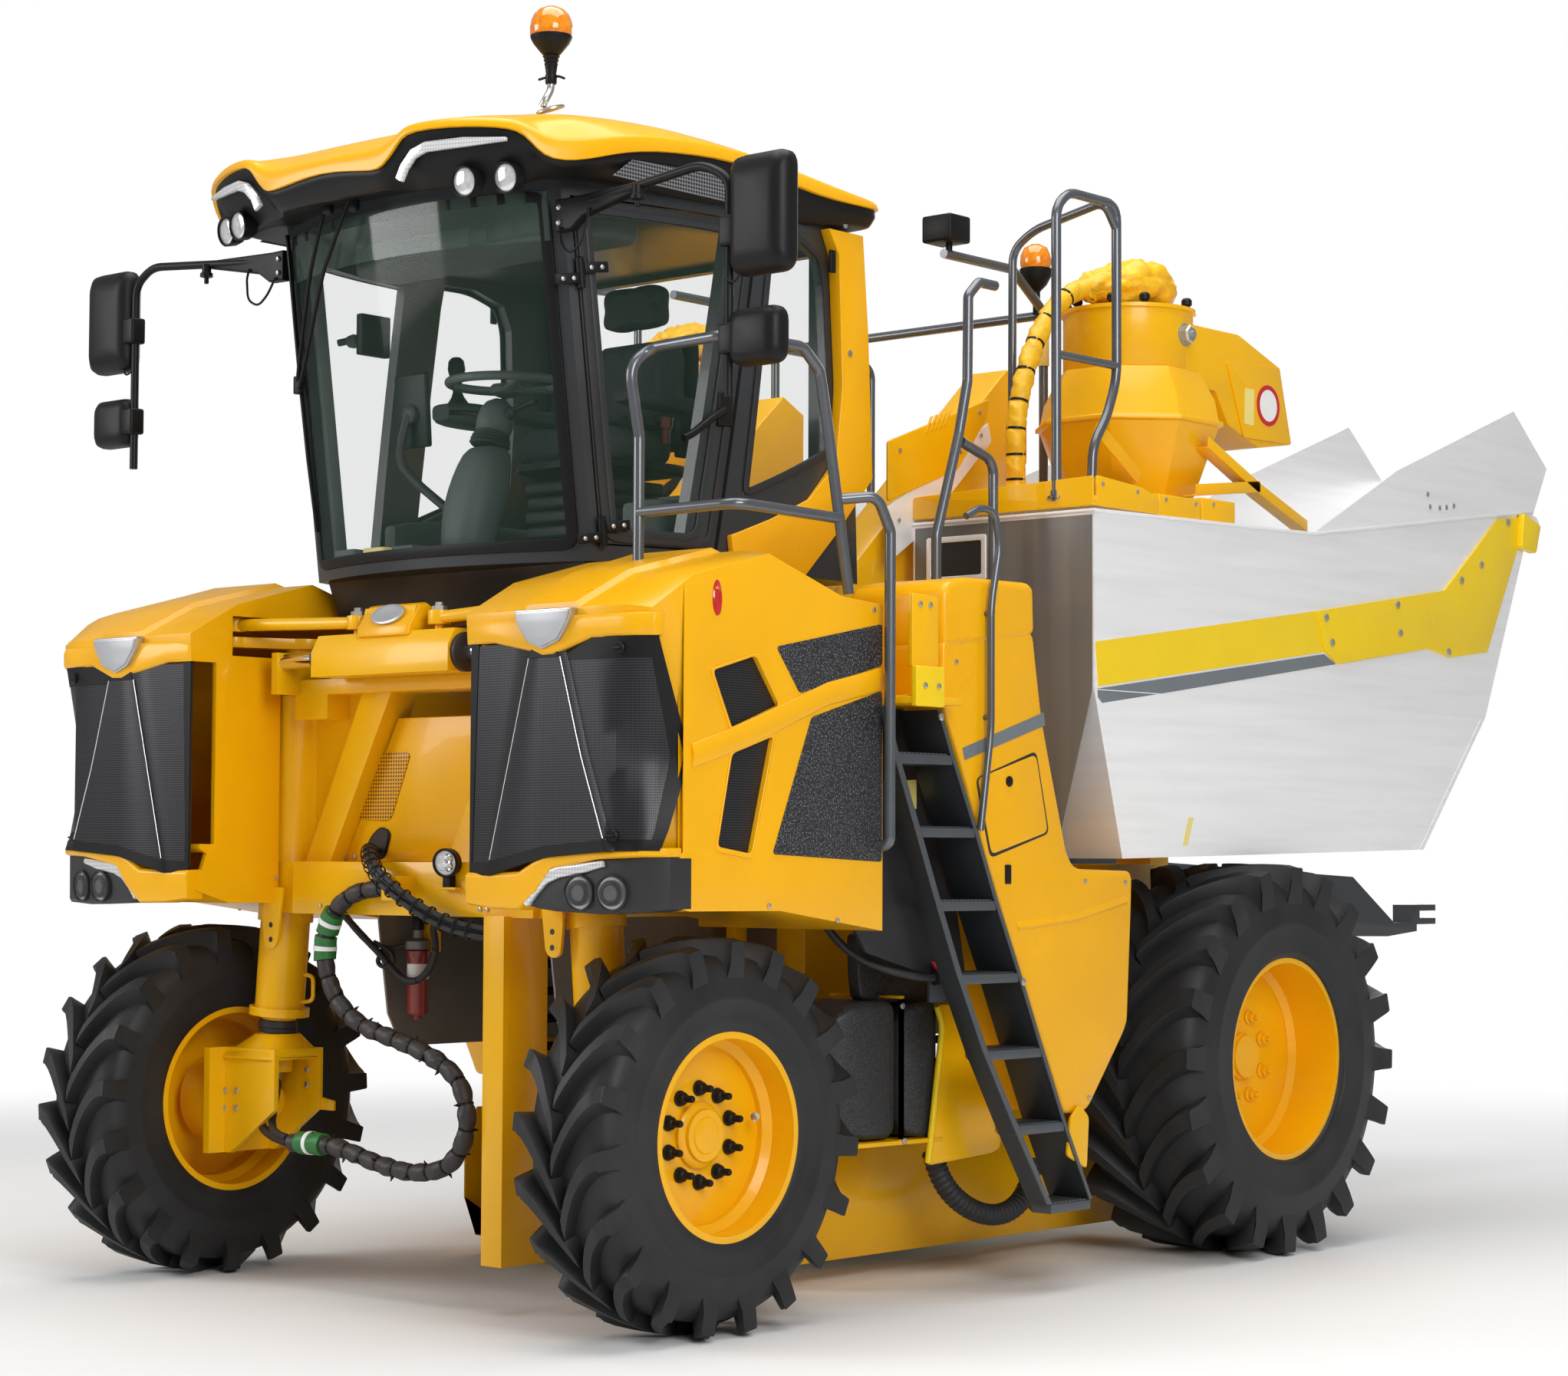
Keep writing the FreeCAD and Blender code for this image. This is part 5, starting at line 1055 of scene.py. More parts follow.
def makeDoorGear():
    # hinge plates with bolts on frame and door, lever handle on the door's rear edge
    out = Vector(onHinge(1, 0, 0)) - Vector(onHinge(0, 0, 0))
    plates = (("hingePost", (-86, -8), 0, 30, "root"),
              ("hingeLeaf", (12, 92), 30.3, 31, "cab_door_body"))
    for i, up in enumerate(hinge["lugs"]):
        for name, (near, far), start, tall, body in plates:
            low, high = up + start - 2, up + start + tall
            corners = ((near, low), (far, low), (far, high), (near, high))
            loft(name + str(i),
                 [[onHinge(level, back, rise) for back, rise in corners] for level in (-6, 7)],
                 blackPlastic, bevel=2, body=body)
            bolts(name + "Bolts" + str(i),
                  [onHinge(6, near + along, (low + high) / 2) for along in (22, 58)], tuple(out), 7,
                  5, zinc, 12, body=body)
        lathe("hingeCap" + str(i), onHinge(0, 0, up - 16), hinge["rise"],
              [(13, 0), (13, 92), (8, 96)], blackPlastic, 20, body="cab_door_body")
    tube("doorHandle", [(786, 500, 2822), (800, 430, 2790), (806, 330, 2728), (800, 296, 2712)], 13,
         blackPlastic, 30, body="cab_door_body")
    block("doorLock", (762, 470, 2770), (792, 540, 2880), blackPlastic, 8, body="cab_door_body")


makeDoorGear()
print("door gear made")

# roof: an amber shell with three lobes over a black visor with lamps

# its rim runs from the front's middle round to the rear's: x, y, lower edge, band's height
roof = {"rim": [(0, -515, 3524, 48), (130, -514, 3512, 58), (240, -512, 3497, 70),
                (275, -509, 3503, 72), (322, -504, 3548, 46), (352, -502, 3586, 34),
                (400, -497, 3601, 32), (520, -462, 3603, 32), (620, -418, 3597, 32),
                (700, -378, 3588, 32), (738, -345, 3570, 36), (758, -310, 3524, 62),
                (780, -270, 3497, 72), (815, -200, 3500, 74), (843, -120, 3522, 66),
                (850, -20, 3552, 60), (850, 120, 3580, 54), (850, 300, 3598, 50),
                (850, 483, 3608, 46), (850, 700, 3588, 52), (850, 900, 3562, 56),
                (850, 1100, 3562, 40), (846, 1190, 3565, 30), (825, 1235, 3566, 26),
                (780, 1255, 3566, 24), (500, 1255, 3566, 26), (200, 1255, 3566, 28),
                (0, 1255, 3566, 28)],
        "top": [(-515, 3568), (-440, 3622), (-300, 3668), (-160, 3712), (100, 3738), (300, 3743),
                (600, 3732), (900, 3700), (1255, 3602)],
        "lobe": 30,
        "led": [(331, -487, 3463, 17), (352, -486, 3500, 17), (392, -486, 3536, 17),
                (440, -480, 3551, 16), (560, -436, 3556, 15), (688, -383, 3556, 6)],
        "ledSection": ((-1, 14), (-1, 4), (-0.7, -1), (0.7, -1), (1, 4), (1, 14)),
        "lamps": ((655, -345, 3448), (531, -398, 3444))}


def domeAt(x, y):
    drop = 16 * min(abs(x) / 500, 1) ** 2 + 70 * max(0, (abs(x) - 500) / 350) ** 2
    lobe = math.exp(-((abs(x) - 560) / 190) ** 2)
    swell = roof["lobe"] * lobe * math.exp(-((y + 430) / 130) ** 2)
    return between(roof["top"], y) - drop + swell


def bothSides(half):
    # a half outline from front to rear, closed round the other side
    return half + [(-p[0],) + tuple(p[1:]) for p in reversed(half[1:-1])]


def inset(loop, distance):
    # moves a plan outline inward; distance may differ from point to point
    out = []
    count = len(loop)
    for i, point in enumerate(loop):
        before, after = loop[i - 1], loop[(i + 1) % count]
        way = Vector((after[0] - before[0], after[1] - before[1])).normalized()
        step = distance[i] if isinstance(distance, list) else distance
        out.append((point[0] - way.y * step, point[1] + way.x * step))
    return out


def makeRoof(r):
    rim = bothSides(r["rim"])
    plan = [(p[0], p[1]) for p in rim]
    rings = [[(x, y, p[2] + 6) for (x, y), p in zip(inset(plan, 12), rim)],
             [(x, y, p[2]) for (x, y), p in zip(inset(plan, 3), rim)],
             [(x, y, p[2] + 5) for (x, y), p in zip(plan, rim)],
             [(x, y, p[2] + p[3] - 8) for (x, y), p in zip(inset(plan, 4), rim)],
             [(x, y, p[2] + p[3]) for (x, y), p in zip(inset(plan, 14), rim)]]
    for reach in (44, 84):
        ring = []
        for (x, y), p in zip(inset(plan, reach), rim):
            share = reach / 84
            ring.append((x, y, (p[2] + p[3] + 8) * (1 - share) + domeAt(x, y) * share))
        rings.append(ring)
    base = inset(plan, 84)
    for share in (0.15, 0.35, 0.6, 0.82, 0.97):
        ring = []
        for x, y in base:
            px, py = x * (1 - share), 370 + (y - 370) * (1 - share)
            ring.append((px, py, domeAt(px, py)))
        rings.append(ring)
    loft("roofShell", rings, amber, subdivide=1, replaces=["cab_roof"], slot="amber")
    # black visor under it
    visor = []
    for x, y, z, _ in rim:
        # how far in and how high its middle and its foot are
        if y < -200 and abs(x) < 300:
            visor.append((20, 60, z - 24, 3446))
        elif y < -300:
            visor.append((46, 108, 3516, 3440))
        elif y < -60:
            visor.append((30, 84, z - 20, 3462))
        elif y < 1000:
            visor.append((26, 60, z - 30, 3468))
        else:
            visor.append((10, 40, z - 20, 3504))
    middle, lower = inset(plan, [v[0] for v in visor]), inset(plan, [v[1] for v in visor])
    deep = [(x * 0.72, max(-330, min(1180, y * 0.72 + 40))) for x, y in plan]
    visorRings = [[(x, y, p[2] + 22) for (x, y), p in zip(inset(plan, 24), rim)],
                  [(x, y, p[2] + 5) for (x, y), p in zip(inset(plan, 13), rim)],
                  [(x, y, p[2] - 12) for (x, y), p in zip(inset(plan, 16), rim)],
                  [(x, y, v[2]) for (x, y), v in zip(middle, visor)],
                  [(x, y, v[3]) for (x, y), v in zip(lower, visor)],
                  [(x, y, v[3] + 3) for (x, y), v in zip(inset(lower, 14), visor)],
                  [(x, y, 3503) for x, y in deep]]
    loft("roofVisor", visorRings, blackPlastic, subdivide=1)
    for side, name in leftRight:
        loft("ledStrip" + name, lensRings(r["led"], r["ledSection"], side), whiteLens, bevel=1)
        for i, (x, y, z) in enumerate(r["lamps"]):
            way = (side * 0.12, -1, -0.16)
            lathe("workLamp" + name + str(i), (side * x, y, z), way,
                  [(20, -64), (38, -52), (47, -30), (49, 4), (45, 6), (44, 0), (42, -4)],
                  blackPlastic, 32)
            lathe("workLens" + name + str(i), (side * x, y, z), way,
                  [(43, -8), (43, -3), (38, 1), (20, 3), (0.5, 4)], lampGlass, 32)
            block("lampStem" + name + str(i), (side * x - 9, y + 20, z + 30),
                  (side * x + 9, y + 44, z + 78), blackPlastic, 3)
        vent = [(side * 826, y, z) for y, z in ((-60, 3478), (620, 3478), (560, 3560), (40, 3536))]
        ventOut = [(side * 832, y, z)
                   for y, z in ((-60, 3478), (620, 3478), (560, 3566), (20, 3540))]
        loft("roofVent" + name, [vent, ventOut], ventMesh, bevel=2)


ventMesh = dotted("vent mesh", (0.32, 0.33, 0.35), (0.02, 0.02, 0.025), 0.012, 0.36, 0.35, 0.6)
makeRoof(roof)
print("roof made")


beacon = {"foot": (560, -60, 3722), "bolts": (0.6, 2.6, 4.8),
          "stem": [(15, 0), (18, 4), (18, 30), (16, 32), (20, 60), (22, 64), (19, 67), (24, 76),
                   (21, 79), (27, 88), (24, 91), (30, 96), (40, 108), (56, 128), (64, 142),
                   (66, 150), (62, 156)],
          "lens": [(62, -32), (66, -26), (67, -4), (63, 20), (54, 40), (38, 55), (20, 63),
                   (0.5, 65)]}


def makeBeacon(b):
    x, y, low = b["foot"]
    lathe("beaconBase", (x, y, low - 4), (-0.12, -0.3, 1), [(46, 0), (46, 6), (40, 9), (20, 12)],
          zinc, 32)
    pipe = [(x - 12, y - 26, low + 6), (x + 4, y - 26, low + 26), (x, y, low + 60), (x, y, 3840)]
    tube("beaconPipe", pipe, 12, zinc, 30)
    lathe("beaconStem", (x, y, 3800), toTop, b["stem"], blackPlastic, 40)
    lathe("beaconLens", (x, y, 3980), toTop, b["lens"], amberLens, 40, replaces=["beacon"],
          slot="amber")
    bolts("beaconBolts",
          [(x + 32 * math.cos(t), y + 32 * math.sin(t), low + 4) for t in b["bolts"]], toTop, 7, 5,
          zinc, 12)
    tube("beaconLever",
         [(x - 50, y - 4, 3822), (x - 12, y, 3826), (x + 30, y + 6, 3822), (x + 52, y + 6, 3812)],
         4, blackPlastic, 6)


makeBeacon(beacon)
print("beacon made")

# mirrors: rounded heads with a glass on the rear face, hung from a black arm

mirror = {"arm": [(640, -100, 3385), (1286, -154, 3432), (1386, -146, 3380), (1386, -146, 2740)],
          "heads": [(1402, 1622, -190, -108, 3085, 3438), (1398, 1592, -182, -112, 2822, 2990)]}


def makeMirrors(m):
    made = [tube("mirrorArmLeft", m["arm"], 14, blackPlastic, 46, replaces=["mirrors"])]
    beam = [(640, 3318), (708, 3318), (760, 3352), (1010, 3398), (1010, 3424), (700, 3418),
            (640, 3420)]
    rings = []
    for lift in (-118, -114, -86, -82):
        tight = 4 if lift in (-118, -82) else 0
        rings.append([(x, lift - 20 * (x - 640) / 400, z - (tight if z > 3400 else -tight))
                      for x, z in beam])
    made.append(loft("mirrorBeamLeft", rings, blackPlastic, bevel=3))
    for i, (a, d, b, e, c, f) in enumerate(m["heads"]):
        made.append(roundedBox("mirrorHeadLeft" + str(i), (a, b, c), (d, e, f), 46, blackPlastic))
        made.append(plate("mirrorGlassLeft" + str(i), "XZ",
                          [(a + 16, c + 16), (d - 16, c + 16), (d - 16, f - 16), (a + 16, f - 16)],
                          e - 2, e + 1.5, chrome, edge=0.5, corner=34))
        middle = (c + f) / 2 - (40 if i == 0 else 0)
        made.append(block("mirrorClampLeft" + str(i), (1366, -176, middle - 45),
                          (1425, -116, middle + 45), blackPlastic, 9))
    made.append(bolts("mirrorBoltsLeft", [(660, -120, 3345), (660, -120, 3392)], (0.1, -1, 0), 9, 7,
                      zinc, 12))
    made.append(lathe("mirrorKnobLeft", (1010, -140, 3380), (0, 0, -1),
                      [(16, -30), (16, -4), (22, 0), (22, 12), (8, 16), (8, 34), (3, 36)],
                      blackPlastic, 16))
    loop = [(668, -124, 3330), (690, -140, 3270), (730, -146, 3236), (784, -146, 3262),
            (800, -138, 3340), (796, -130, 3372)]
    made.append(tube("mirrorLeadLeft", loop, 4, blackPlastic, 40))
    low = [(1420, -130, 3160), (1450, -152, 3110), (1420, -160, 3066), (1386, -158, 3080)]
    made.append(tube("mirrorLeadLowLeft", low, 3.5, blackPlastic, 24))
    mirrorAll(made)


makeMirrors(mirror)
print("mirrors made")

# pods: the frame's own sheet-metal forms with pressed creases and eased edges

pod = {"corner": [(1232, -436), (1300, -436), (1364, -398), (1419, -371), (1690, -282),
                  (2051, -426), (2130, -440)],
       "creaseInner": (905, 812), "creaseOuter": (1100, 1180), "raise": 16, "frontY": -480,
       "creaseLength": 700, "cornerX": 1200, "cornerWide": 185, "topZ": 2060}


def podShape(x, y, z):
    side = 1 if x > 0 else -1
    x = abs(x)
    if y < -360 and x > pod["cornerX"]:
        outer = between(pod["corner"], z)
        share = (x - pod["cornerX"]) / pod["cornerWide"]
        y = y + (outer - pod["frontY"]) * share ** 1.3 * (1 if y < -400 else 0.6)
        if x > 1340:
            x -= 22
    share = max(0, min(1, (y - pod["frontY"]) / pod["creaseLength"]))
    low = pod["creaseInner"][0] + (pod["creaseInner"][1] - pod["creaseInner"][0]) * share
    high = pod["creaseOuter"][0] + (pod["creaseOuter"][1] - pod["creaseOuter"][0]) * share
    if z > pod["topZ"] and low - 6 < x < high + 6:
        z += pod["raise"]
    if z > pod["topZ"] and x > 1290:
        z -= 14 * (x - 1290) / 95
    return side * x, y, z


def makePods(p):
    for side, name in leftRight:
        node = "pod_" + name.lower()
        cuts = [((0, 0, 1690), (0, 0, 1)), ((0, 0, 1419), (0, 0, 1)), ((0, -330, 0), (0, 1, 0)),
                ((side * p["cornerX"], 0, 0), (1, 0, 0)), ((side * 1290, 0, 0), (1, 0, 0)),
                ((0, 220, 0), (0, 1, 0)), ((0, -130, 0), (0, 1, 0))]
        for base, lift in ((p["creaseInner"], -16), (p["creaseInner"], 0), (p["creaseOuter"], 0),
                           (p["creaseOuter"], 16)):
            slope = (base[1] - base[0]) / p["creaseLength"]
            cuts.append(((side * (base[0] + lift), p["frontY"], 0),
                         Vector((side, -slope, 0)).normalized()))
        refined(node, amber, 7, cuts, podShape, "podShell" + name)


makePods(pod)
print("pods made")

# pod faces: grille door, badge, lamp cluster and side panels

lampClear = clear("lamp cover", (0.9, 0.92, 0.95), 0.08)
podFace = {"grilleLow": 1352, "grilleHigh": 2030,
           "stops": [0, 0.1, 0.2, 0.28, 0.3, 0.42, 0.55, 0.57, 0.585, 0.65, 0.72, 0.77, 0.82,
                     0.86, 0.9, 0.94, 0.97, 1.0],
           "edges": [("Outer", [0.93, 0.95, 0.97, 1.0], 1370, 2030),
                     ("Inner", [0, 0.02, 0.035], 1362, 2030),
                     ("Top", [0.585, 0.65, 0.72, 0.77, 0.82, 0.86, 0.9, 0.95, 1.0], 1968, 2030),
                     ("TopMiddle", [0.3, 0.4, 0.5, 0.55], 1978, 2026)],
           "lowEdge": (1346, 1386),
           "badge": [(886, 2112), (1104, 2112), (1094, 2080), (1056, 2028), (992, 2008),
                     (938, 2028), (896, 2080)],
           "badgeRim": [(880, 2118), (1110, 2118), (1099, 2078), (1060, 2023), (992, 2001),
                        (932, 2023), (890, 2078)],
           "browStops": (0, 0.1, 0.28, 0.42, 0.55, 0.66, 0.76, 0.86, 0.93, 1.0),
           "chin": ((649, 1352, 1262), (760, 1352, 1250), (880, 1356, 1248), (950, 1392, 1300),
                    (1010, 1410, 1368), (1180, 1420, 1396), (1330, 1424, 1402),
                    (1384, 1424, 1402)),
           "chinFront": [(649, -470), (880, -482), (1180, -474), (1330, -440), (1384, -392)],
           "housing": ((896, 1276, 1262), (950, 1352, 1252), (1010, 1372, 1246),
                       (1180, 1394, 1240), (1330, 1402, 1246), (1386, 1400, 1256)),
           "housingFront": [(896, -474), (1180, -462), (1330, -430), (1386, -384)],
           "panels": {"speckTop": [(69, 2023), (560, 2118), (560, 1990), (176, 1889)],
                      "speckLow": [(230, 1821), (560, 1913), (560, 1391), (56, 1413)]},
           "windows": {"meshTop": [(-208, 1940), (-23, 1991), (82, 1850), (-124, 1774)],
                       "meshLow": [(-124, 1702), (56, 1758), (-39, 1414), (-185, 1434)]},
           "band": [(-296, 1690), (-150, 1732), (70, 1806), (300, 1892), (560, 1948)],
           "lampStrip": ((902, 1268, 14), (936, 1310, 19), (976, 1344, 20), (1030, 1360, 17),
                         (1120, 1370, 15), (1200, 1384, 9)),
           "lampSection": ((-1, 6), (-1, -8), (-0.6, -13), (0.6, -13), (1, -8), (1, 6)),
           "headLamp": {"Ring": ([(46, -30), (54, -2), (54, 8), (50, 11), (47, 6), (46, -4)],
                                 softBlack),
                        "Bowl": ([(46, 0), (44, -6), (36, -20), (20, -28), (12, -28), (12, -14),
                                  (8, -8), (0.5, -7)], chrome),
                        "Glass": ([(47, 2), (46, 5), (30, 10), (0.5, 12)], lampClear),
                        "Rose": ([(37, 5), (37, 9.5), (25, 12), (23.5, 8)], softBlack)}}


def grillePoint(u, z):
    # u runs 0 to 1 from the hinge side to the outer edge, wrapping round the pod's corner
    outerY = between(pod["corner"], z) - 4
    creaseOne = 755 + (918 - 755) * (z - 1373) / 608
    creaseTwo = 1218 + (1056 - 1218) * (z - 1419) / 541
    path = [(0.0, (655, -466)), (0.28, (creaseOne, -486)), (0.3, (creaseOne + 8, -492)),
            (0.55, (creaseTwo - 6, -494)), (0.57, (creaseTwo + 4, -486)),
            (0.585, (creaseTwo + 14, -474)), (0.72, (1255, -470)),
            (0.86, (1322, (outerY - 470) / 2 - 12)), (1.0, (1372, outerY))]
    for (a, p), (b, q) in zip(path, path[1:]):
        if u <= b:
            share = (u - a) / (b - a)
            return p[0] + (q[0] - p[0]) * share, p[1] + (q[1] - p[1]) * share
    return path[-1][1]


def lifted(x, z):
    # the grille's foot sweeps up over the lamps
    rise = between([(655, 0), (880, 4), (950, 42), (1010, 62), (1180, 72), (1384, 76)], x)
    return z + rise * max(0, min(1, (1700 - z) / 354))


def grilleSheet(name, uStops, zLow, zHigh, material, lift=0, thick=10):
    rows = [zLow + (zHigh - zLow) * i / 14 for i in range(15)]
    points = []
    for z in rows:
        for u in uStops:
            x, y = grillePoint(u, z)
            points.append((x + (lift * 0.6 if u > 0.8 else 0), y - lift, lifted(x, z)))
    wide = len(uStops)
    faces = [(r * wide + c, r * wide + c + 1, (r + 1) * wide + c + 1, (r + 1) * wide + c)
             for r in range(14) for c in range(wide - 1)]
    return fromFaces(name, points, faces, material, thick=thick, body="grille_door_left")


def makePodFaces(f):
    ride = {"body": "grille_door_left"}
    made = [grilleSheet("grilleMeshLeft", f["stops"], f["grilleLow"] + 20, f["grilleHigh"] - 6,
                        meshBlack)]
    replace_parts(made[0], "grille_left")
    for name, stops, low, high in f["edges"] + [("Low", f["stops"], *f["lowEdge"])]:
        made.append(grilleSheet("grilleEdge" + name + "Left", stops, low, high, blackPlastic,
                                lift=2, thick=12))
    for i, u in enumerate((0.29, 0.56)):
        rail = []
        for k in range(9):
            z = f["grilleLow"] + 40 + (f["grilleHigh"] - 92 - f["grilleLow"]) * k / 8
            x, y = grillePoint(u, z)
            rail.append((x, y - 3, lifted(x, z)))
        made.append(tube("grilleCreaseLeft" + str(i), rail, 2.6 if i else 2, chrome, 1, **ride))
    for i, (u, z) in enumerate(((0.74, 1996), (0.66, 1400))):
        x, y = grillePoint(u, z)
        z = lifted(x, z)
        made.append(lathe("grilleLatchLeft" + str(i), (x, y - 2, z), (0.2, -1, 0),
                          [(19, 0), (19, 5), (15, 9), (5, 9)], blackPlastic, 24, **ride))
        made.append(block("grilleTurnLeft" + str(i), (x - 17, y - 18, z - 3),
                          (x + 17, y - 8, z + 3), blackPlastic, 1.5, **ride))
    # blank shield badge on the brow
    made.append(plate("podBadgeLeft", "XZ", f["badge"], -519, -500, badgePale, edge=3, corner=8))
    made.append(plate("podBadgeRimLeft", "XZ", f["badgeRim"], -512, -478, zinc, edge=3, corner=8))
    # brow over the grille
    brow = []
    for u in f["browStops"]:
        x, y = grillePoint(u, 2040)
        dip = 46 * math.exp(-((x - 992) / 78) ** 4)
        brow.append([(x, y + 30, 2100), (x, y - 6, 2096), (x, y - 12, 2078),
                     (x, y - 10, 2040 - dip), (x, y - 2, 2030 - dip), (x, y + 24, 2032 - dip)])
    made.append(loft("podBrowLeft", brow, amber, bevel=4))
    # chin under the grille and the lamp cluster
    chin = []
    for x, top, low in f["chin"]:
        y = between(f["chinFront"], x)
        chin.append([(x, y + 60, top + 6), (x, y - 2, top + 4), (x, y - 10, top - 6),
                     (x, y - 8, low + 6), (x, y + 2, low), (x, y + 60, low)])
    made.append(loft("podChinLeft", chin, amber, bevel=4))
    face = f["housingFront"]
    housing = []
    for x, top, low in f["housing"]:
        y = between(face, x)
        housing.append([(x, y + 90, top), (x, y, top), (x, y + 2, low + 12), (x, y + 10, low),
                        (x, y + 90, low)])
    made.append(loft("lampHousingLeft", housing, softBlack, bevel=4))
    stations = [(x, between(face, x), z, wide) for x, z, wide in f["lampStrip"]]
    made.append(loft("lampStripLeft", lensRings(stations, f["lampSection"]), whiteLens, bevel=1.5))
    for i, x in enumerate((1110, 1226)):
        for part, (profile, material) in f["headLamp"].items():
            made.append(lathe("headLamp" + part + "Left" + str(i), (x, between(face, x) - 2, 1300),
                              (0.1 + 0.1 * i, -1, -0.05), profile, material, 40))
    # side panels and their windows
    for name, outline in f["panels"].items():
        made.append(plate(name + "Left", "YZ", outline, 1378, 1389, speckPanel, edge=3, corner=14))
    for name, outline in f["windows"].items():
        centre = Vector((sum(p[0] for p in outline) / 4, sum(p[1] for p in outline) / 4))
        grown = [tuple(centre + (Vector(p) - centre) * 1.05) for p in outline]
        made.append(plate(name + "Left", "YZ", grown, 1366, 1372, meshBlack, edge=1, corner=10))
        rim = [tuple(centre + (Vector(p) - centre) * 1.10) for p in outline]
        made.append(plate(name + "RimLeft", "YZ", rim, 1380, 1390, amber, holes=[outline], edge=4,
                          corner=16))
    rings = []
    for y, z in f["band"]:
        rings.append([(1381, y, z - 40), (1391, y + 4, z - 30), (1398, y, z + 8),
                      (1391, y - 4, z + 34), (1381, y, z + 40)])
    made.append(loft("podBandLeft", rings, amber, bevel=3))
    marker = lathe("markerRimLeft", (1381, -190, 2150), (1, 0, 0.1),
                   [(20, 0), (20, 6), (15, 9), (12, 5), (0.5, 5)], redLens, 36)
    made.append(marker)
    marker.data.transform(Matrix.Translation(at(0, 0, 2150)) @ Matrix.Diagonal((1, 1, 2.6, 1))
                          @ Matrix.Translation(-at(0, 0, 2150)))
    made.append(bolts("podBoltsLeft", [(1386, 350, 1216), (1386, 40, 1262), (1386, 520, 2160)],
                      toLeft, 8, 5, zinc, 12))
    mirrorAll(made, {"grilleMeshLeft": ["grille_right"]})


badgePale = surface("badge silver", (0.55, 0.56, 0.58), 0.3, metal=0.5, vary=0.03)
makePodFaces(podFace)
print("pod faces made")

# hoppers: rim flanges, stripes and the bolted tipping plates


tip = {"body": "hopper_tip_left"}  # everything up to the walkways rides on the left hopper


hopper = {"outerX": 1450, "foldZ": 1960, "lean": (150, 565),
          "rim": [(1450, 1584, 2546), (1450, 2940, 2574), (1450, 4572, 2790)],
          "stripe": [(1587, 2116), (2956, 2300), (3013, 2155), (1604, 1970)],
          "greyStripe": [(1600, 1962), (3008, 2147), (3086, 2114), (1975, 1962), (1642, 1917),
                         (1612, 1934)],
          "plate": [(2952, 2300), (3871, 2434), (4296, 2745), (4528, 2770), (4198, 2216),
                    (3910, 2180), (3739, 2204), (3086, 2114), (3009, 2155)],
          "bolts": [(4365, 2735), (4149, 2552), (3993, 2481), (3511, 2357), (3530, 2252),
                    (3006, 2279), (3046, 2190), (3889, 2200)],
          "flapBolts": [(3755, 2793), (3772, 2747), (3845, 2749), (3953, 2766), (3897, 2755)]}


def hopperSide(z, lift=0):
    # how far out the outer sheet is: upright above its fold, drawn in below
    inward, down = hopper["lean"]
    return hopper["outerX"] + lift - max(0, hopper["foldZ"] - z) * inward / down


def makeHoppers(h):
    made = [strip("hopperRimLeft", h["rim"], [(-6, 0, 0), (13, 0, 0), (13, 0, 9), (-6, 0, 9)],
                  stainless, **tip), strip("hopperLipLeft", [(694, 1583, 2546), (1463, 1583, 2546)],
                                           [(0, 0, 0), (0, -13, 0), (0, -13, 9), (0, 0, 9)],
                                           stainless, **tip),
            plate("hopperStripeLeft", "YZ", h["stripe"], 1449, 1451.6, stripeYellow, **tip),
            plate("tippingPlateLeft", "YZ", h["plate"], 1449, 1459, stripeYellow, edge=1.5,
                  corner=8, **tip)]
    grey = [(hopperSide(z, 1.6), y, z) for y, z in h["greyStripe"]]
    made.append(fromFaces("hopperLineLeft", grey, [(0, 1, 2, 3), (0, 3, 4, 5)], stripeGrey,
                          thick=2.5, **tip))
    made.append(bolts("tippingBoltsLeft", [(1459, y, z) for y, z in h["bolts"]], toLeft, 15, 8,
                      zinc, 6, **tip))
    made.append(bolts("flapBoltsLeft", [(1450, y, z) for y, z in h["flapBolts"]], toLeft, 10, 5,
                      zinc, 16, **tip))
    made.append(plate("tipEarLeft", "YZ", [(4462, 2780), (4600, 2740), (4560, 2625), (4440, 2640)],
                      1452, 1482, stripeYellow, edge=4, corner=14, **tip))
    # fold lines pressed into the outer sheet, and the stiffener under the fold
    made.append(strip("hopperFoldLeft", [(1451, 1586, 1960), (1451, 4180, 1960)],
                      [(-3, 0, -2), (0.8, 0, -2), (0.8, 0, 1), (-3, 0, 1)], stainless, 0, **tip))
    made.append(strip("hopperBeadLeft",
                      [(hopperSide(1948, 0.4), 4160, 1948), (hopperSide(1450, 0.4), 3925, 1450)],
                      [(-3, -4, 0), (1.2, -4, 0), (1.2, 4, 0), (-3, 4, 0)], stainless, 0, **tip))
    made.append(plate("hopperWindowRimLeft", "XZ",
                      [(752, 2343), (1008, 2343), (1008, 2499), (752, 2499)], 1574, 1583, stainless,
                      holes=[[(772, 2363), (988, 2363), (988, 2479), (772, 2479)]], edge=2,
                      corner=10, **tip))
    made.append(plate("hopperWindowLeft", "XZ",
                      [(768, 2359), (992, 2359), (992, 2483), (768, 2483)], 1578, 1581, softBlack,
                      **tip))
    made.append(plate("hopperFrontLeft", "XZ",
                      [(700, 1412), (1296, 1412), (1444, 1962), (1444, 2536), (700, 2536)], 1579.5,
                      1582.5, frontSteel, **tip))
    label = [(hopperSide(z, 1), y, z)
             for y, z in ((2296, 1452), (2326, 1452), (2326, 1548), (2296, 1548))]
    made.append(fromFaces("hopperLabelLeft", label, [(0, 1, 2, 3)], labelYellow, thick=1.5, **tip))
    mirrorAll(made)


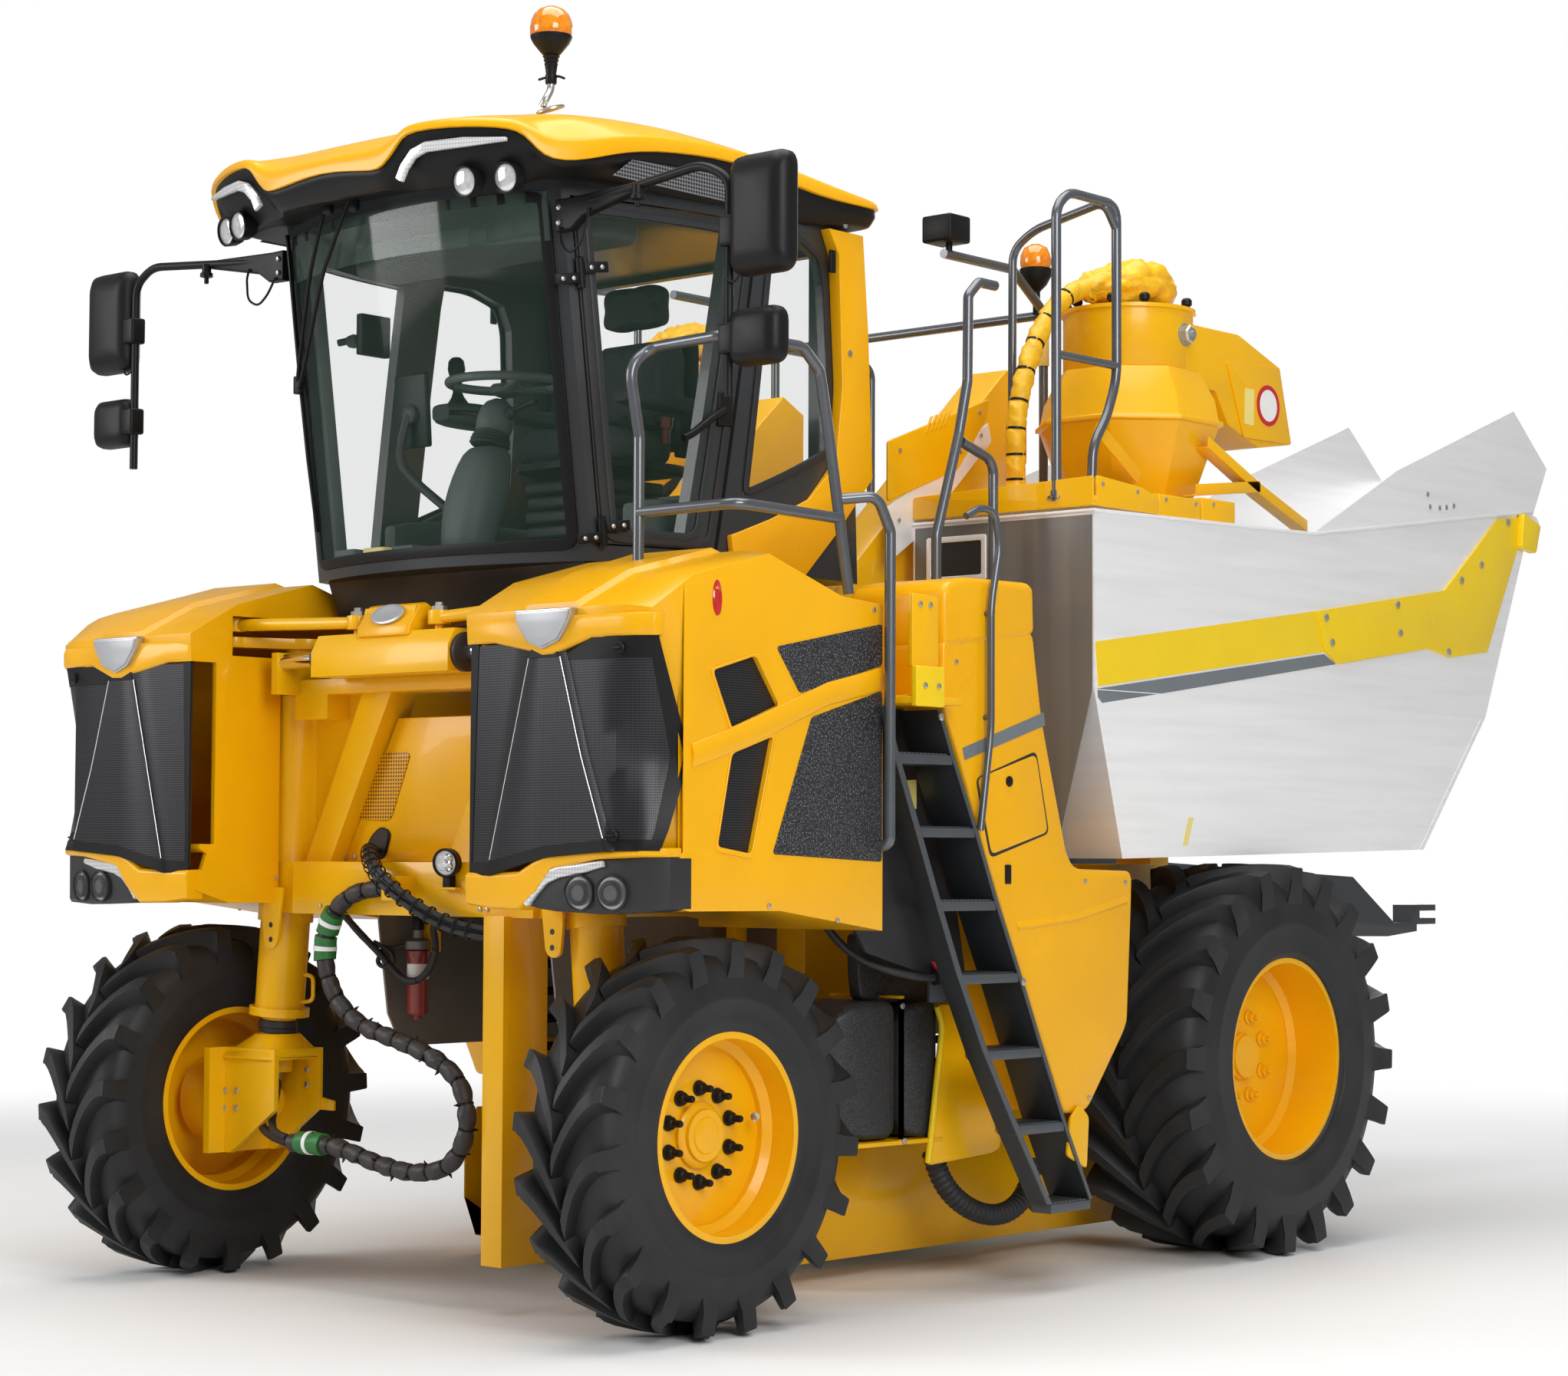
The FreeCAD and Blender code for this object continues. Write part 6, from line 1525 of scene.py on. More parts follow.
frontSteel = surface("shaded stainless", (0.23, 0.225, 0.215), 0.34, metal=0.45, vary=0.45,
                     patch=1.6, stretch=(3, 1, 0.15), grain=0.1)
labelYellow = surface("plain yellow label", (0.86, 0.72, 0.22), 0.4, vary=0.02, grain=0.02)
makeHoppers(hopper)
print("hoppers made")

# fans: drum, faceted hood, duct, sleeved hose under a loose cover

fan = {"x": 1060, "y": 2340,
       "outlet": [(2640, 2958), (2828, 2898), (3036, 2928), (3028, 2948), (2830, 2920),
                  (2650, 2978)],
       "label": [(2722, 2968), (2782, 2966), (2786, 3098), (2726, 3098)],
       "drum": [(0.5, 3121), (228, 3121), (232, 3126), (232, 3326), (241, 3331), (241, 3344),
                (229, 3346), (225, 3338), (130, 3342), (0.5, 3342)],
       "hood": [(238, 3122), (244, 3106), (286, 3020), (300, 2944), (315, 2941), (315, 2926),
                (300, 2923), (212, 2664), (204, 2640)],
       "duct": [(2340, 3070), (2340, 3290), (2409, 3288), (2700, 3289), (2975, 3200), (3046, 2924),
                (2828, 2892), (2632, 2954), (2552, 3067)],
       "panel": [(2614, 3180), (2958, 3200), (3037, 2924), (2722, 2918)],
       "knobs": (20, 75, 130, 160, 200, 245, 300), "sign": (1298, 2878, 3050),
       "hose": [(1040, 2130, 3412), (1010, 2040, 3385), (1000, 1930, 3290), (1000, 1822, 3120),
                (1000, 1766, 2960), (1000, 1748, 2840), (1000, 1756, 2720), (1000, 1756, 2606)],
       "hoseRadius": 35,
       "ties": (0.12, 0.26, 0.38, 0.5, 0.62, 0.72, 0.81, 0.9),
       "cover": [(2560, 3400, 40, 30), (2520, 3425, 92, 70), (2450, 3440, 128, 96),
                 (2370, 3443, 136, 100), (2290, 3436, 128, 90), (2215, 3424, 100, 72),
                 (2150, 3414, 62, 52), (2110, 3406, 42, 42)]}


def makeFans(f):
    x, y = f["x"], f["y"]
    made = [lathe("fanDrumLeft", (x, y, 0), toTop, f["drum"], yellow, 64, **tip)]
    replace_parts(made[0], "fan_left")
    rings = []
    for radius, z in f["hood"]:
        reach = radius / math.cos(math.pi / 8)
        rings.append([(x + reach * math.cos(math.pi / 8 * (2 * k + 1)),
                       y + reach * math.sin(math.pi / 8 * (2 * k + 1)), z) for k in range(8)])
    made.append(loft("fanHoodLeft", rings, yellow, bevel=3, **tip))
    made.append(plate("fanDuctLeft", "YZ", f["duct"], x + 6, 1291, yellow, edge=5, corner=10,
                      **tip))
    made.append(plate("fanPanelLeft", "YZ", f["panel"], 1288, 1299, yellow, edge=2.5, corner=8,
                      **tip))
    made.append(plate("fanOutletLeft", "YZ", f["outlet"], x + 20, 1284, softBlack, edge=2, **tip))
    made.append(lathe("fanSignLeft", f["sign"], toLeft, [(60, 0), (60, 3.4), (0.5, 3.4)], signWhite,
                      48, **tip))
    made.append(lathe("fanSignRingLeft", f["sign"], toLeft,
                      [(58, 0), (74, 0), (74, 4.2), (58, 4.2), (58, 0)], signRed, 48, **tip))
    made.append(plate("fanLabelLeft", "YZ", f["label"], 1298, 1300.5, labelYellow, corner=6,
                      **tip))
    made.append(lathe("fanWasherLeft", (1290, 2352, 3244), toLeft, [(40, 0), (40, 6), (0.5, 6)],
                      zinc, 32, **tip))
    made.append(lathe("fanNutLeft", (1295, 2352, 3244), toLeft,
                      [(34, 0), (34, 22), (28, 28), (12, 28), (12, 40), (0.5, 40)], zinc, 6, **tip))
    knobs = []
    for turn in f["knobs"]:
        way = math.radians(turn)
        knobs.append(lathe("knob", (x + 218 * math.sin(way), y + 218 * math.cos(way), 3343), toTop,
                           [(12, 0), (12, 8), (19, 14), (19, 30), (12, 38), (0.5, 39)],
                           blackPlastic, 14, **tip))
    made.append(joined("fanKnobsLeft", knobs))
    seam = []
    for k in range(8):
        way = math.pi / 4 * k
        for offset in (-0.22, 0.22):
            seam.append((x + 292 * math.cos(way + offset), y + 292 * math.sin(way + offset), 2941))
    made.append(bolts("fanSeamBoltsLeft", seam, toTop, 8, 8, zinc, 6, **tip))
    bent = [(0, 0, 0), (56, 0, 0), (56, 0, 40), (50, 0, 40), (50, 0, 6), (0, 0, 6)]
    made.append(strip("fanArmLeft", [(1330, 2360, 2838), (1330, 2700, 2700), (1330, 3004, 2596)],
                      bent, yellow, 1, **tip))
    made.append(strip("fanLegLeft", [(1330, 2284, 2664), (1330, 2690, 2712)], bent, yellow, 1,
                      **tip))
    made.append(strip("fanBraceLeft", [(1255, 1850, 2850), (1255, 2100, 2700)],
                      [(0, 0, 0), (9, 0, 0), (9, 30, 42), (0, 30, 42)], yellow, 1, **tip))
    made.append(block("fanFootLeft", (700, 2232, 2566), (1442, 2440, 2650), yellow, 5, **tip))
    made.append(block("fanTrayLeft", (1250, 1972, 2560), (1442, 2224, 2640), yellow, 5, **tip))
    made.append(bolts("fanTrayBoltsLeft",
                      [(1442, 2010, 2622), (1442, 2190, 2622), (1442, 2300, 2630)], toLeft, 8, 5,
                      zinc, 6, **tip))
    rings = []
    for cy, cz, wide, tall in f["cover"]:
        rings.append([(x - 30 * max(0, 2300 - cy) / 200 + wide * math.cos(math.pi * k / 9), cy,
                       max(3347, cz + tall * math.sin(math.pi * k / 9))) for k in range(18)])
    cover = loft("fanCoverLeft", rings, yellowSleeve, subdivide=2, **tip)
    crumple(cover, 22, 11, 3.0)
    crumple(cover, 7, 34, 8.0)
    made.append(cover)
    made.append(lathe("fanCollarLeft", (x, y, 0), toTop,
                      [(126, 3340), (140, 3344), (136, 3362), (120, 3366), (120, 3340)],
                      blackPlastic, 48, **tip))
    made += softTube("fanHoseLeft", f["hose"], f["hoseRadius"], yellowSleeve, 3.6, f["ties"], **tip)
    mirrorAll(made, {"fanDrumLeft": ["fan_right"]})


signRed = surface("sign red", (0.55, 0.01, 0.02), 0.35, vary=0.02)
makeFans(fan)
print("fans made")

# walkways with their guards

guard = {"frame": [(1290, 1592, 2590), (1290, 1592, 3580), (1290, 1662, 3640), (1290, 1940, 3640),
                   (1290, 1940, 3040), (1290, 1880, 2900), (1290, 1800, 2800), (1290, 1790, 2590)],
         "middle": [(1290, 1596, 3085), (1290, 1936, 3085)],
         "inner": [(1290, 1936, 3560), (1290, 1870, 3640), (990, 1870, 3580), (900, 1870, 3520),
                   (896, 1870, 2590)]}


def makeWalkways(g):
    made = [block("walkDeckLeft", (692, 1584, 2568), (1448, 1958, 2600), checkPlate, 3, **tip)]
    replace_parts(made[0], "walkway_left")
    made.append(tube("walkGuardLeft", g["frame"], 17, railGrey, 62, rings=8, **tip))
    made.append(tube("walkGuardMiddleLeft", g["middle"], 15, railGrey, 1, rings=8, **tip))
    made.append(tube("walkGuardInnerLeft", g["inner"], 15, railGrey, 62, rings=8, **tip))
    made.append(plate("walkSideLeft", "YZ",
                      [(1600, 2566), (1600, 2668), (1860, 2650), (1962, 2622), (1962, 2566)], 1440,
                      1450, yellow, edge=2, corner=12, **tip))
    made.append(plate("walkEndLeft", "XZ", [(692, 2566), (1450, 2566), (1450, 2664), (692, 2644)],
                      1577, 1585, yellow, edge=2, corner=10, **tip))
    made.append(bolts("walkBoltsLeft", [(1450, 1630, 2640), (1450, 1830, 2632)], toLeft, 8, 5, zinc,
                      6, **tip))
    for i, (x, y) in enumerate(((1290, 1592), (1290, 1790), (896, 1870))):
        made.append(lathe("walkFootLeft" + str(i), (x, y, 2600), toTop,
                          [(30, 0), (30, 7), (20, 9), (20, 26)],
                          blackPlastic if i == 1 else railGrey, 24, **tip))
    mirrorAll(made, {"walkDeckLeft": ["walkway_right"]})


makeWalkways(guard)
print("walkways made")

# side towers, ladder, step box and tank

tower = {"side": [(866, 1885), (866, 2100), (1340, 2140), (1352, 2060), (1390, 1854), (1440, 1690),
                  (1524, 1425), (1560, 1382), (1600, 1370), (1882, 1364), (1896, 1340),
                  (1893, 1250), (1868, 860), (1845, 822), (1645, 585), (1600, 572), (1505, 575),
                  (1485, 620), (1300, 985), (1120, 1345), (960, 1700)],
         "lid": [(866, 2060), (866, 2236), (890, 2270), (970, 2292), (1312, 2296), (1340, 2280),
                 (1346, 2130), (1300, 2118), (930, 2066)],
         "stripe": [(962, 1750), (1392, 1878), (1400, 1836), (974, 1712)],
         "hatch": [(1040, 1656), (1348, 1740), (1412, 1490), (1112, 1416)],
         "gap": [(1030, 1656), (1352, 1752), (1422, 1486), (1106, 1404)],
         "rail": [(1410, 948, 2480), (1410, 1020, 2514), (1410, 1097, 2507), (1410, 1122, 2394),
                  (1410, 1077, 2207), (1410, 1077, 1811), (1410, 1023, 1492)]}


def makeTowers(t):
    made = [plate("sideTowerLeft", "YZ", t["side"], 1002, 1384, amber, edge=14, corner=40),
            plate("towerLidLeft", "YZ", t["lid"], 996, 1388, amber, edge=22, corner=44),
            plate("towerStripeLeft", "YZ", t["stripe"], 1382, 1385.4, stripeGrey),
            plate("towerGapLeft", "YZ", t["gap"], 1380, 1385, softBlack, corner=26),
            plate("towerHatchLeft", "YZ", t["hatch"], 1380, 1388, amber, edge=3, corner=24),
            lathe("towerLockLeft", (1388, 1201, 1650), toLeft,
                  [(17, 0), (17, 4), (12, 7), (0.5, 7)], blackPlastic, 24),
            block("towerLatchLeft", (1382, 1184, 1322), (1390, 1214, 1384), blackPlastic, 4)]
    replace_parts(made[0], "side_towers")
    # a pressed shoulder over the skirt, and the tower's bolts
    rings = []
    for y, z in ((1250, 1182), (1560, 1206), (1860, 1262)):
        rings.append([(1380, y, z + 26), (1387, y, z + 14), (1391, y, z), (1385, y, z - 9),
                      (1380, y, z - 12)])
    made.append(loft("skirtFoldLeft", rings, amber, bevel=1))
    made.append(bolts("towerBoltsLeft", [(1384, 1620, 1330), (1384, 1850, 1326), (1384, 1640, 620),
                                         (1384, 930, 2020)], toLeft, 8, 5, zinc, 12))
    mirrorAll(made)
    tube("towerRail", t["rail"], 12, railGrey, 46, rings=8)
    for i, (y, z) in enumerate(((1077, 2180), (1077, 1850), (1024, 1500))):
        tube("towerRailFoot" + str(i), [(1380, y, z), (1410, y, z)], 9, railGrey, 1, rings=6)


makeTowers(tower)


# front and rear are the ladder's stringers, tread by tread
access = {"front": [(540, 1865), (594, 1726), (698, 1500), (802, 1271), (911, 1041), (1044, 798),
                    (1203, 554), (1384, 292)],
          "rear": [(826, 1865), (892, 1726), (1008, 1500), (1117, 1271), (1237, 1041), (1358, 798),
                   (1481, 554), (1628, 292)],
          "drain": [(1060, 620, 1260), (1090, 690, 1130), (1160, 800, 1056), (1225, 920, 1028),
                    (1240, 1006, 1024)],
          "hose": [(1000, 1300, 440), (1000, 1330, 360), (1010, 1400, 275), (1020, 1567, 205),
                   (1020, 1737, 215), (1010, 1830, 300), (1000, 1850, 380)],
          "stepBack": [(584, 1874), (584, 1250), (690, 1110), (950, 1045), (1160, 930),
                       (1200, 1000), (1130, 1320), (960, 1690), (880, 1874)],
          "stepGrip": [(810, 610), (1446, 610), (1446, 850), (810, 850)],
          "stepFascia": [(600, 1866), (600, 1990), (738, 1990), (738, 1866)],
          "stepPanel": [(604, 1985), (604, 2214), (732, 2206), (732, 1985)],
          "stepDuct": [(900, 1160), (1317, 1199), (1366, 1097), (1375, 935), (1236, 925),
                       (921, 949), (906, 1018)],
          "ladderGuard": [(1203, 928), (1449, 926), (1532, 822), (1549, 445), (1500, 430),
                          (1156, 412), (1200, 650), (1236, 863)],
          "guardEdge": [(1092, 1206, 924), (1092, 1236, 860), (1092, 1200, 650),
                        (1092, 1160, 420)],
          "ladderFoot": [(1502, 440), (1520, 560), (1571, 603), (1622, 560), (1610, 391)],
          "drainValve": [(17, 0), (24, 4), (24, 26), (16, 30), (16, 52), (22, 56), (22, 74),
                         (0.5, 74)]}


def makeAccess(a):
    front, rear = a["front"], a["rear"]
    # the stringers' sides carry the ladder grey darkened as painted shade; the flanges keep the lit
    # grey
    sides = [strip("ladderSide", [(1400, y, z) for y, z in front],
                   [(-70, 0, 0), (-70, 12, 0), (0, 12, 0), (0, 0, 0)], ladderShade, 1),
             strip("ladderSide", [(1400, y, z) for y, z in rear],
                   [(-160, -12, 0), (-160, 0, 0), (0, 0, 0), (0, -12, 0)], ladderShade, 1)]
    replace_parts(joined("ladderSides", sides), "ladder")
    flanges = [strip("ladderFlange", [(1400, y, z) for y, z in front],
                     [(0, -2, 0), (0, 24, 0), (7, 24, 0), (7, -2, 0)], ladderGrey, 1.5),
               strip("ladderFlange", [(1400, y, z) for y, z in rear],
                     [(0, -15, 0), (0, 2, 0), (7, 2, 0), (7, -15, 0)], ladderGrey, 1.5)]
    joined("ladderFlanges", flanges)
    studs, noses = [], []
    for (y, z), (far, _) in zip(front[1:], rear[1:]):
        noses.append(plate("tread", "XY", [(1246, y + 112), (1326, y + 22), (1404, y + 20),
                                           (1404, far - 6), (1246, far - 6)], z - 32, z - 2,
                           ladderGrey, edge=2))
        studs.append(plate("treadGrip", "XY", [(1254, y + 122), (1334, y + 34), (1397, y + 32),
                                               (1397, far - 20), (1254, far - 20)], z - 2, z + 3,
                           gripGrey, edge=1))
    joined("ladderTreads", noses)
    joined("ladderGrips", studs)
    bolts("ladderBolts", [(1408, 820, 1842), (1408, 1245, 1010)], toLeft, 13, 8, zinc)
    plate("stepBack", "YZ", a["stepBack"], 1206, 1220, softBlack, edge=2, corner=14)
    for i, (y, z) in enumerate(((868, 1556), (1010, 1540))):
        plate("stepLabel" + str(i), "YZ", [(y, z), (y + 68, z + 4), (y + 68, z + 96), (y, z + 92)],
              1219, 1221.5, labelYellow)
    step = block("stepDeck", (560, 602, 1876), (1468, 856, 1898), yellow, 3)
    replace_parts(step, "step_box")
    plate("stepGrip", "XY", a["stepGrip"], 1897, 1902, checkPlate, edge=1)
    plate("stepFascia", "YZ", a["stepFascia"], 1468, 1490, stripeYellow, edge=3, corner=8)
    plate("stepPanel", "YZ", a["stepPanel"], 1452, 1470, yellow, edge=3, corner=10)
    bolts("stepBolts", [(1470, 690, 2180), (1470, 640, 2180), (1490, 640, 1930), (1490, 706, 1930)],
          toLeft, 10, 6, zinc, 6)
    tank = roundedBox("fuelTank", (800, 730, 508), (1080, 1010, 948), 30, tankBlack)
    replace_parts(tank, "side_tank")
    roundedBox("rearTank", (800, 1044, 500), (1074, 1235, 940), 24, tankBlack)
    strip("tankStrap", [(800, 1012, 954), (1088, 1012, 954), (1088, 1012, 496), (800, 1012, 496)],
          [(0, 0, 0), (0, 30, 0), (0, 30, 8), (0, 0, 8)], yellow, 1)
    strip("tankShelf", [(820, 740, 490), (820, 1235, 486)],
          [(0, 0, 0), (276, 0, 0), (276, 0, 14), (0, 0, 14)], yellow, 2)
    bolts("tankBolts", [(1090, 1026, 930), (1096, 1030, 500)], toLeft, 11, 8, zinc)
    plate("stepDuct", "YZ", a["stepDuct"], 960, 1010, tankBlack, edge=10, corner=20)
    plate("ladderGuard", "YZ", a["ladderGuard"], 1082, 1094, yellow, edge=4, corner=26)
    tube("guardEdge", a["guardEdge"], 11, stripeYellow, 60)
    softTube("drainPipe", a["drain"], 13, softBlack, 0.4, sides=12)
    block("drainBracket", (1218, 994, 946), (1232, 1088, 1032), darkGrey, 3)
    lathe("drainValve", (1240, 1000, 1024), (0, 1, 0.03), a["drainValve"], blackPlastic, 8)
    for turn in (-0.7, 0.7):
        strip("drainTap" + str(turn > 0), [(1236, 1026, 1046), (1236, 1026 + 40 * turn, 1076)],
              [(0, -9, 0), (8, -9, 0), (8, 9, 0), (0, 9, 0)], redLens, 2)
    softTube("stepHose", a["hose"], 34, softBlack, sides=18, ribs=(11, 2.4))
    plate("ladderFoot", "YZ", a["ladderFoot"], 1388, 1400, yellow, edge=3, corner=16)


tankBlack = speckled("tank black", (0.014, 0.014, 0.015), (0.045, 0.045, 0.048), 240, 0.52, 0.5)
ladderGrey = surface("ladder grey", (0.085, 0.094, 0.104), 0.36, metal=0.3, grain=0.1)
# the ladder grey darkened for the stringers' sides: painted shade
ladderShade = surface("ladder side painted shade", (0.03, 0.034, 0.038), 0.4, metal=0.2, grain=0.1)
gripGrey = dotted("tread grip", (0.05, 0.055, 0.06), (0.15, 0.16, 0.17), 0.02, 0.3, 0.5, 0.4)
makeAccess(access)
print("towers and ladder made")

# rear rails' lamp and beacon, elevator covers

rear = {"beacon": (624, 2378, 3430), "lamp": (650, 1830, 3560),
        "cover": [(1440, 2826), (2010, 3034), (1992, 2962), (1830, 2766), (1440, 2618)],
        "side": [(1440, 2600), (1603, 2690), (2005, 2948), (2025, 2884), (1603, 2508),
                 (1440, 2404)]}


def makeRear(r):
    bx, by, bz = r["beacon"]
    lathe("rearBeaconCup", (bx, by, bz), toTop, [(11, -40), (11, 0), (16, 10), (16, 46), (40, 70),
                                                 (56, 100), (60, 128), (52, 132), (0.5, 132)],
          blackPlastic, 36)
    lathe("rearBeaconLens", (bx, by, bz), toTop,
          [(54, 130), (58, 150), (56, 180), (44, 206), (22, 219), (0.5, 222)], amberLens, 36)
    x, y, z = r["lamp"]
    block("rearLamp", (x - 70, y - 70, z + 8), (x + 60, y + 50, z + 104), blackPlastic, 10)
    block("rearLampFace", (x - 56, y + 46, z + 22), (x + 46, y + 56, z + 90), lampGlass, 4)
    tube("rearLampArm", [(x, y, z + 10), (x, y, z - 30), (x, y + 60, z - 30)], 12, blackPlastic, 20)
    lathe("railSleeve", (650, 2390, 0), toTop, [(20, 3200), (21, 3202), (21, 3330), (20, 3332)],
          labelYellow, 24)
    refined("elevators", yellow, 5)
    refined("rear_deck", yellow, 4)
    refined("rear_frame", yellow, 5)
    refined("drawbar", darkGrey, 4)
    made = [plate("elevatorCoverLeft", "YZ", r["cover"], 683, 694, yellow, edge=3, corner=12),
            plate("elevatorSideLeft", "YZ", r["side"], 683, 691, stainless, edge=2, corner=6)]
    slots = []
    for i in range(5):
        y = 1640 + 26 * i
        slots.append(plate("louvre", "YZ", [(y, 2874 + 9 * i), (y + 12, 2878 + 9 * i),
                                            (y + 44, 2938 + 9 * i), (y + 32, 2934 + 9 * i)], 690,
                           697, yellow, edge=2))
    made.append(joined("elevatorLouvresLeft", slots))
    made.append(bolts("elevatorBoltsLeft", [(693, 1500, 2800), (693, 1950, 2980), (690, 1500, 2560),
                                            (690, 1960, 2900), (693, 1840, 2830)], toLeft, 9, 6,
                      zinc, 6))
    mirrorAll(made)


makeRear(rear)
print("rear made")

# front end: covers, looms, filter, work lamp and knuckle gear

front = {"patch": [(-246, 1743), (-114, 1736), (-209, 1517), (-363, 1522)],
         "slot": [(-250, 1502), (-203, 1482), (-232, 1392), (-343, 1392), (-300, 1470)],
         "loom": [(-262, -8, 1420), (-215, -80, 1425), (-136, -150, 1411), (-47, -214, 1353),
                  (75, -200, 1271), (221, -150, 1186), (360, -118, 1168), (420, -60, 1150),
                  (430, 60, 1120)],
         "loomOffsets": [(0, 0, 0), (16, -12, 12), (-15, -8, 14), (8, -20, -14), (-10, 6, -16)],
         "filter": (-290, 200), "lamp": (214, -150, 1383),
         "filterHoseA": [(-505, 60, 1215), (-450, 80, 1150), (-395, 130, 1085), (-345, 150, 1015),
                         (-270, 150, 985), (-200, 150, 1010), (-150, 150, 1080), (-120, 120, 1140),
                         (-80, 60, 1190), (20, 20, 1205)],
         "filterHoseB": [(-332, 190, 1112), (-380, 160, 1100), (-425, 140, 1075), (-420, 140, 1040),
                         (-370, 150, 1035), (-345, 150, 1065), (-372, 150, 1095),
                         (-420, 120, 1120)]}


def makeFront(f):
    refined("chassis_frame", yellow, 5)
    refined("front_legs", yellow, 4)
    refined("rear_legs", yellow, 5)
    refined("troughs", yellow, 4)
    refined("front_cover", yellow, 3)
    plate("coverPatch", "XZ", f["patch"], -3.2, 0.2, holedSheet, edge=0.6, corner=24)
    plate("coverSlotRim", "XZ", f["slot"], -6, 0.2, blackPlastic, edge=2, corner=30)
    inner = [(x * 0.86 - 37, z * 0.9 + 144) for x, z in f["slot"]]
    plate("coverSlot", "XZ", inner, -7.4, -5, softBlack, corner=26)
    bolts("coverBolts",
          [(-380, -1, 1400), (-230, -1, 1800), (200, -1, 1800), (40, -1, 1400), (-420, -1, 1400)],
          toFront, 8, 5, zinc, 12)
    tubes = []
    for i, (a, b, c) in enumerate(f["loomOffsets"]):
        path = [(x + a * min(1, k), y + b * min(1, k), z + c * min(1, k))
                for k, (x, y, z) in enumerate(f["loom"])]
        tubes += softTube("loom" + str(i), path, 11 - i % 2 * 2, softBlack, sides=12)
    joined("frontLoom", tubes)
    wraps = []
    line = routeLine([(x, y - 6, z) for x, y, z in f["loom"]])
    for i in range(14, len(line) - 24, 7):
        wraps.append(lathe("wrap", tuple(line[i]), tuple(line[i + 1] - line[i - 1]),
                           [(27, -4), (30, -4), (30, 4), (27, 4), (27, -4)], blackPlastic, 20))
    joined("loomTies", wraps)
    x, y = f["filter"]
    lathe("filterBody", (x, y, 0), toTop, [(0.5, 866), (14, 868), (14, 880), (30, 884), (35, 892),
                                           (35, 1068), (38, 1072), (38, 1092), (33, 1096),
                                           (0.5, 1096)], redPaint, 40)
    lathe("filterHead", (x, y, 0), toTop,
          [(30, 1096), (42, 1098), (42, 1124), (30, 1130), (17, 1134), (17, 1160), (0.5, 1160)],
          castGrey, 36)
    lathe("filterPlug", (x, y, 0), toTop,
          [(16, 1160), (19, 1164), (19, 1206), (15, 1212), (0.5, 1212)], blackPlastic, 24)
    lathe("filterLabel", (x, y, 0), toTop, [(35.4, 1000), (36, 1002), (36, 1048), (35.4, 1050)],
          signWhite, 40)
    block("filterBracket", (x - 60, y + 30, 1090), (x + 60, y + 48, 1215), yellow, 4)
    softTube("filterHoseA", f["filterHoseA"], 12, softBlack, 0.5, (0.3, 0.5, 0.7), 3, 12)
    softTube("filterHoseB", f["filterHoseB"], 8, softBlack, sides=12)
    x, y, z = f["lamp"]
    way = Vector((0.28, -1, -0.08)).normalized()
    lathe("workLampRing", (x, y, z), tuple(way),
          [(30, -34), (44, -22), (46, 6), (42, 10), (38, 8), (38, -4)], blackPlastic, 36)
    lathe("workLampBowl", (x, y, z), tuple(way), [(40, 0), (38, 3), (0.5, 3)], lampGlass, 36)
    for i in range(4):
        turn = math.pi * (i / 2 + 0.25)
        spot = Vector((x, y, z)) + way * 3 + Vector((math.cos(turn) * 17, 0, math.sin(turn) * 17))
        lathe("workLampSpot" + str(i), tuple(spot), tuple(way),
              [(15, 0), (12, 3), (6, -1), (0.5, -1)], chrome, 20)
    strip("workLampFoot", [(x - 10, y + 10, z - 76), (x - 10, y + 10, z - 40)],
          [(-16, 0, 0), (16, 0, 0), (16, 26, 0), (-16, 26, 0)], blackPlastic, 2)
    block("workLampShelf", (x - 46, -142, z - 84), (x + 34, -108, z - 76), yellow, 2)
    bolts("beamBolts",
          [(-640, -112, 1330), (330, -112, 1240), (360, -112, 1240), (-420, -112, 1240)], toFront,
          7, 5, zinc, 12)


makeFront(front)


knuckle = {"lean": 5, "foot": (753, 859),
           "arm": ([(700, 84, 610), (700, 104, 610), (700, 104, 560), (700, 84, 560)],
                   [(600, 110, 588), (600, 122, 588), (600, 122, 556), (600, 110, 556)]),
           "ear": [(600, 1300), (690, 1300), (700, 1200), (690, 1110), (668, 1096), (640, 1100),
                   (624, 1120)],
           "hoses": [(-790, -34, 640), (-800, -52, 600), (-772, -66, 520), (-700, -90, 488),
                     (-600, -130, 478), (-520, -150, 472)],
           "hosesB": [(-780, 20, 648), (-740, -10, 640), (-716, -50, 560), (-690, -80, 510),
                      (-600, -138, 494), (-520, -156, 488)]}


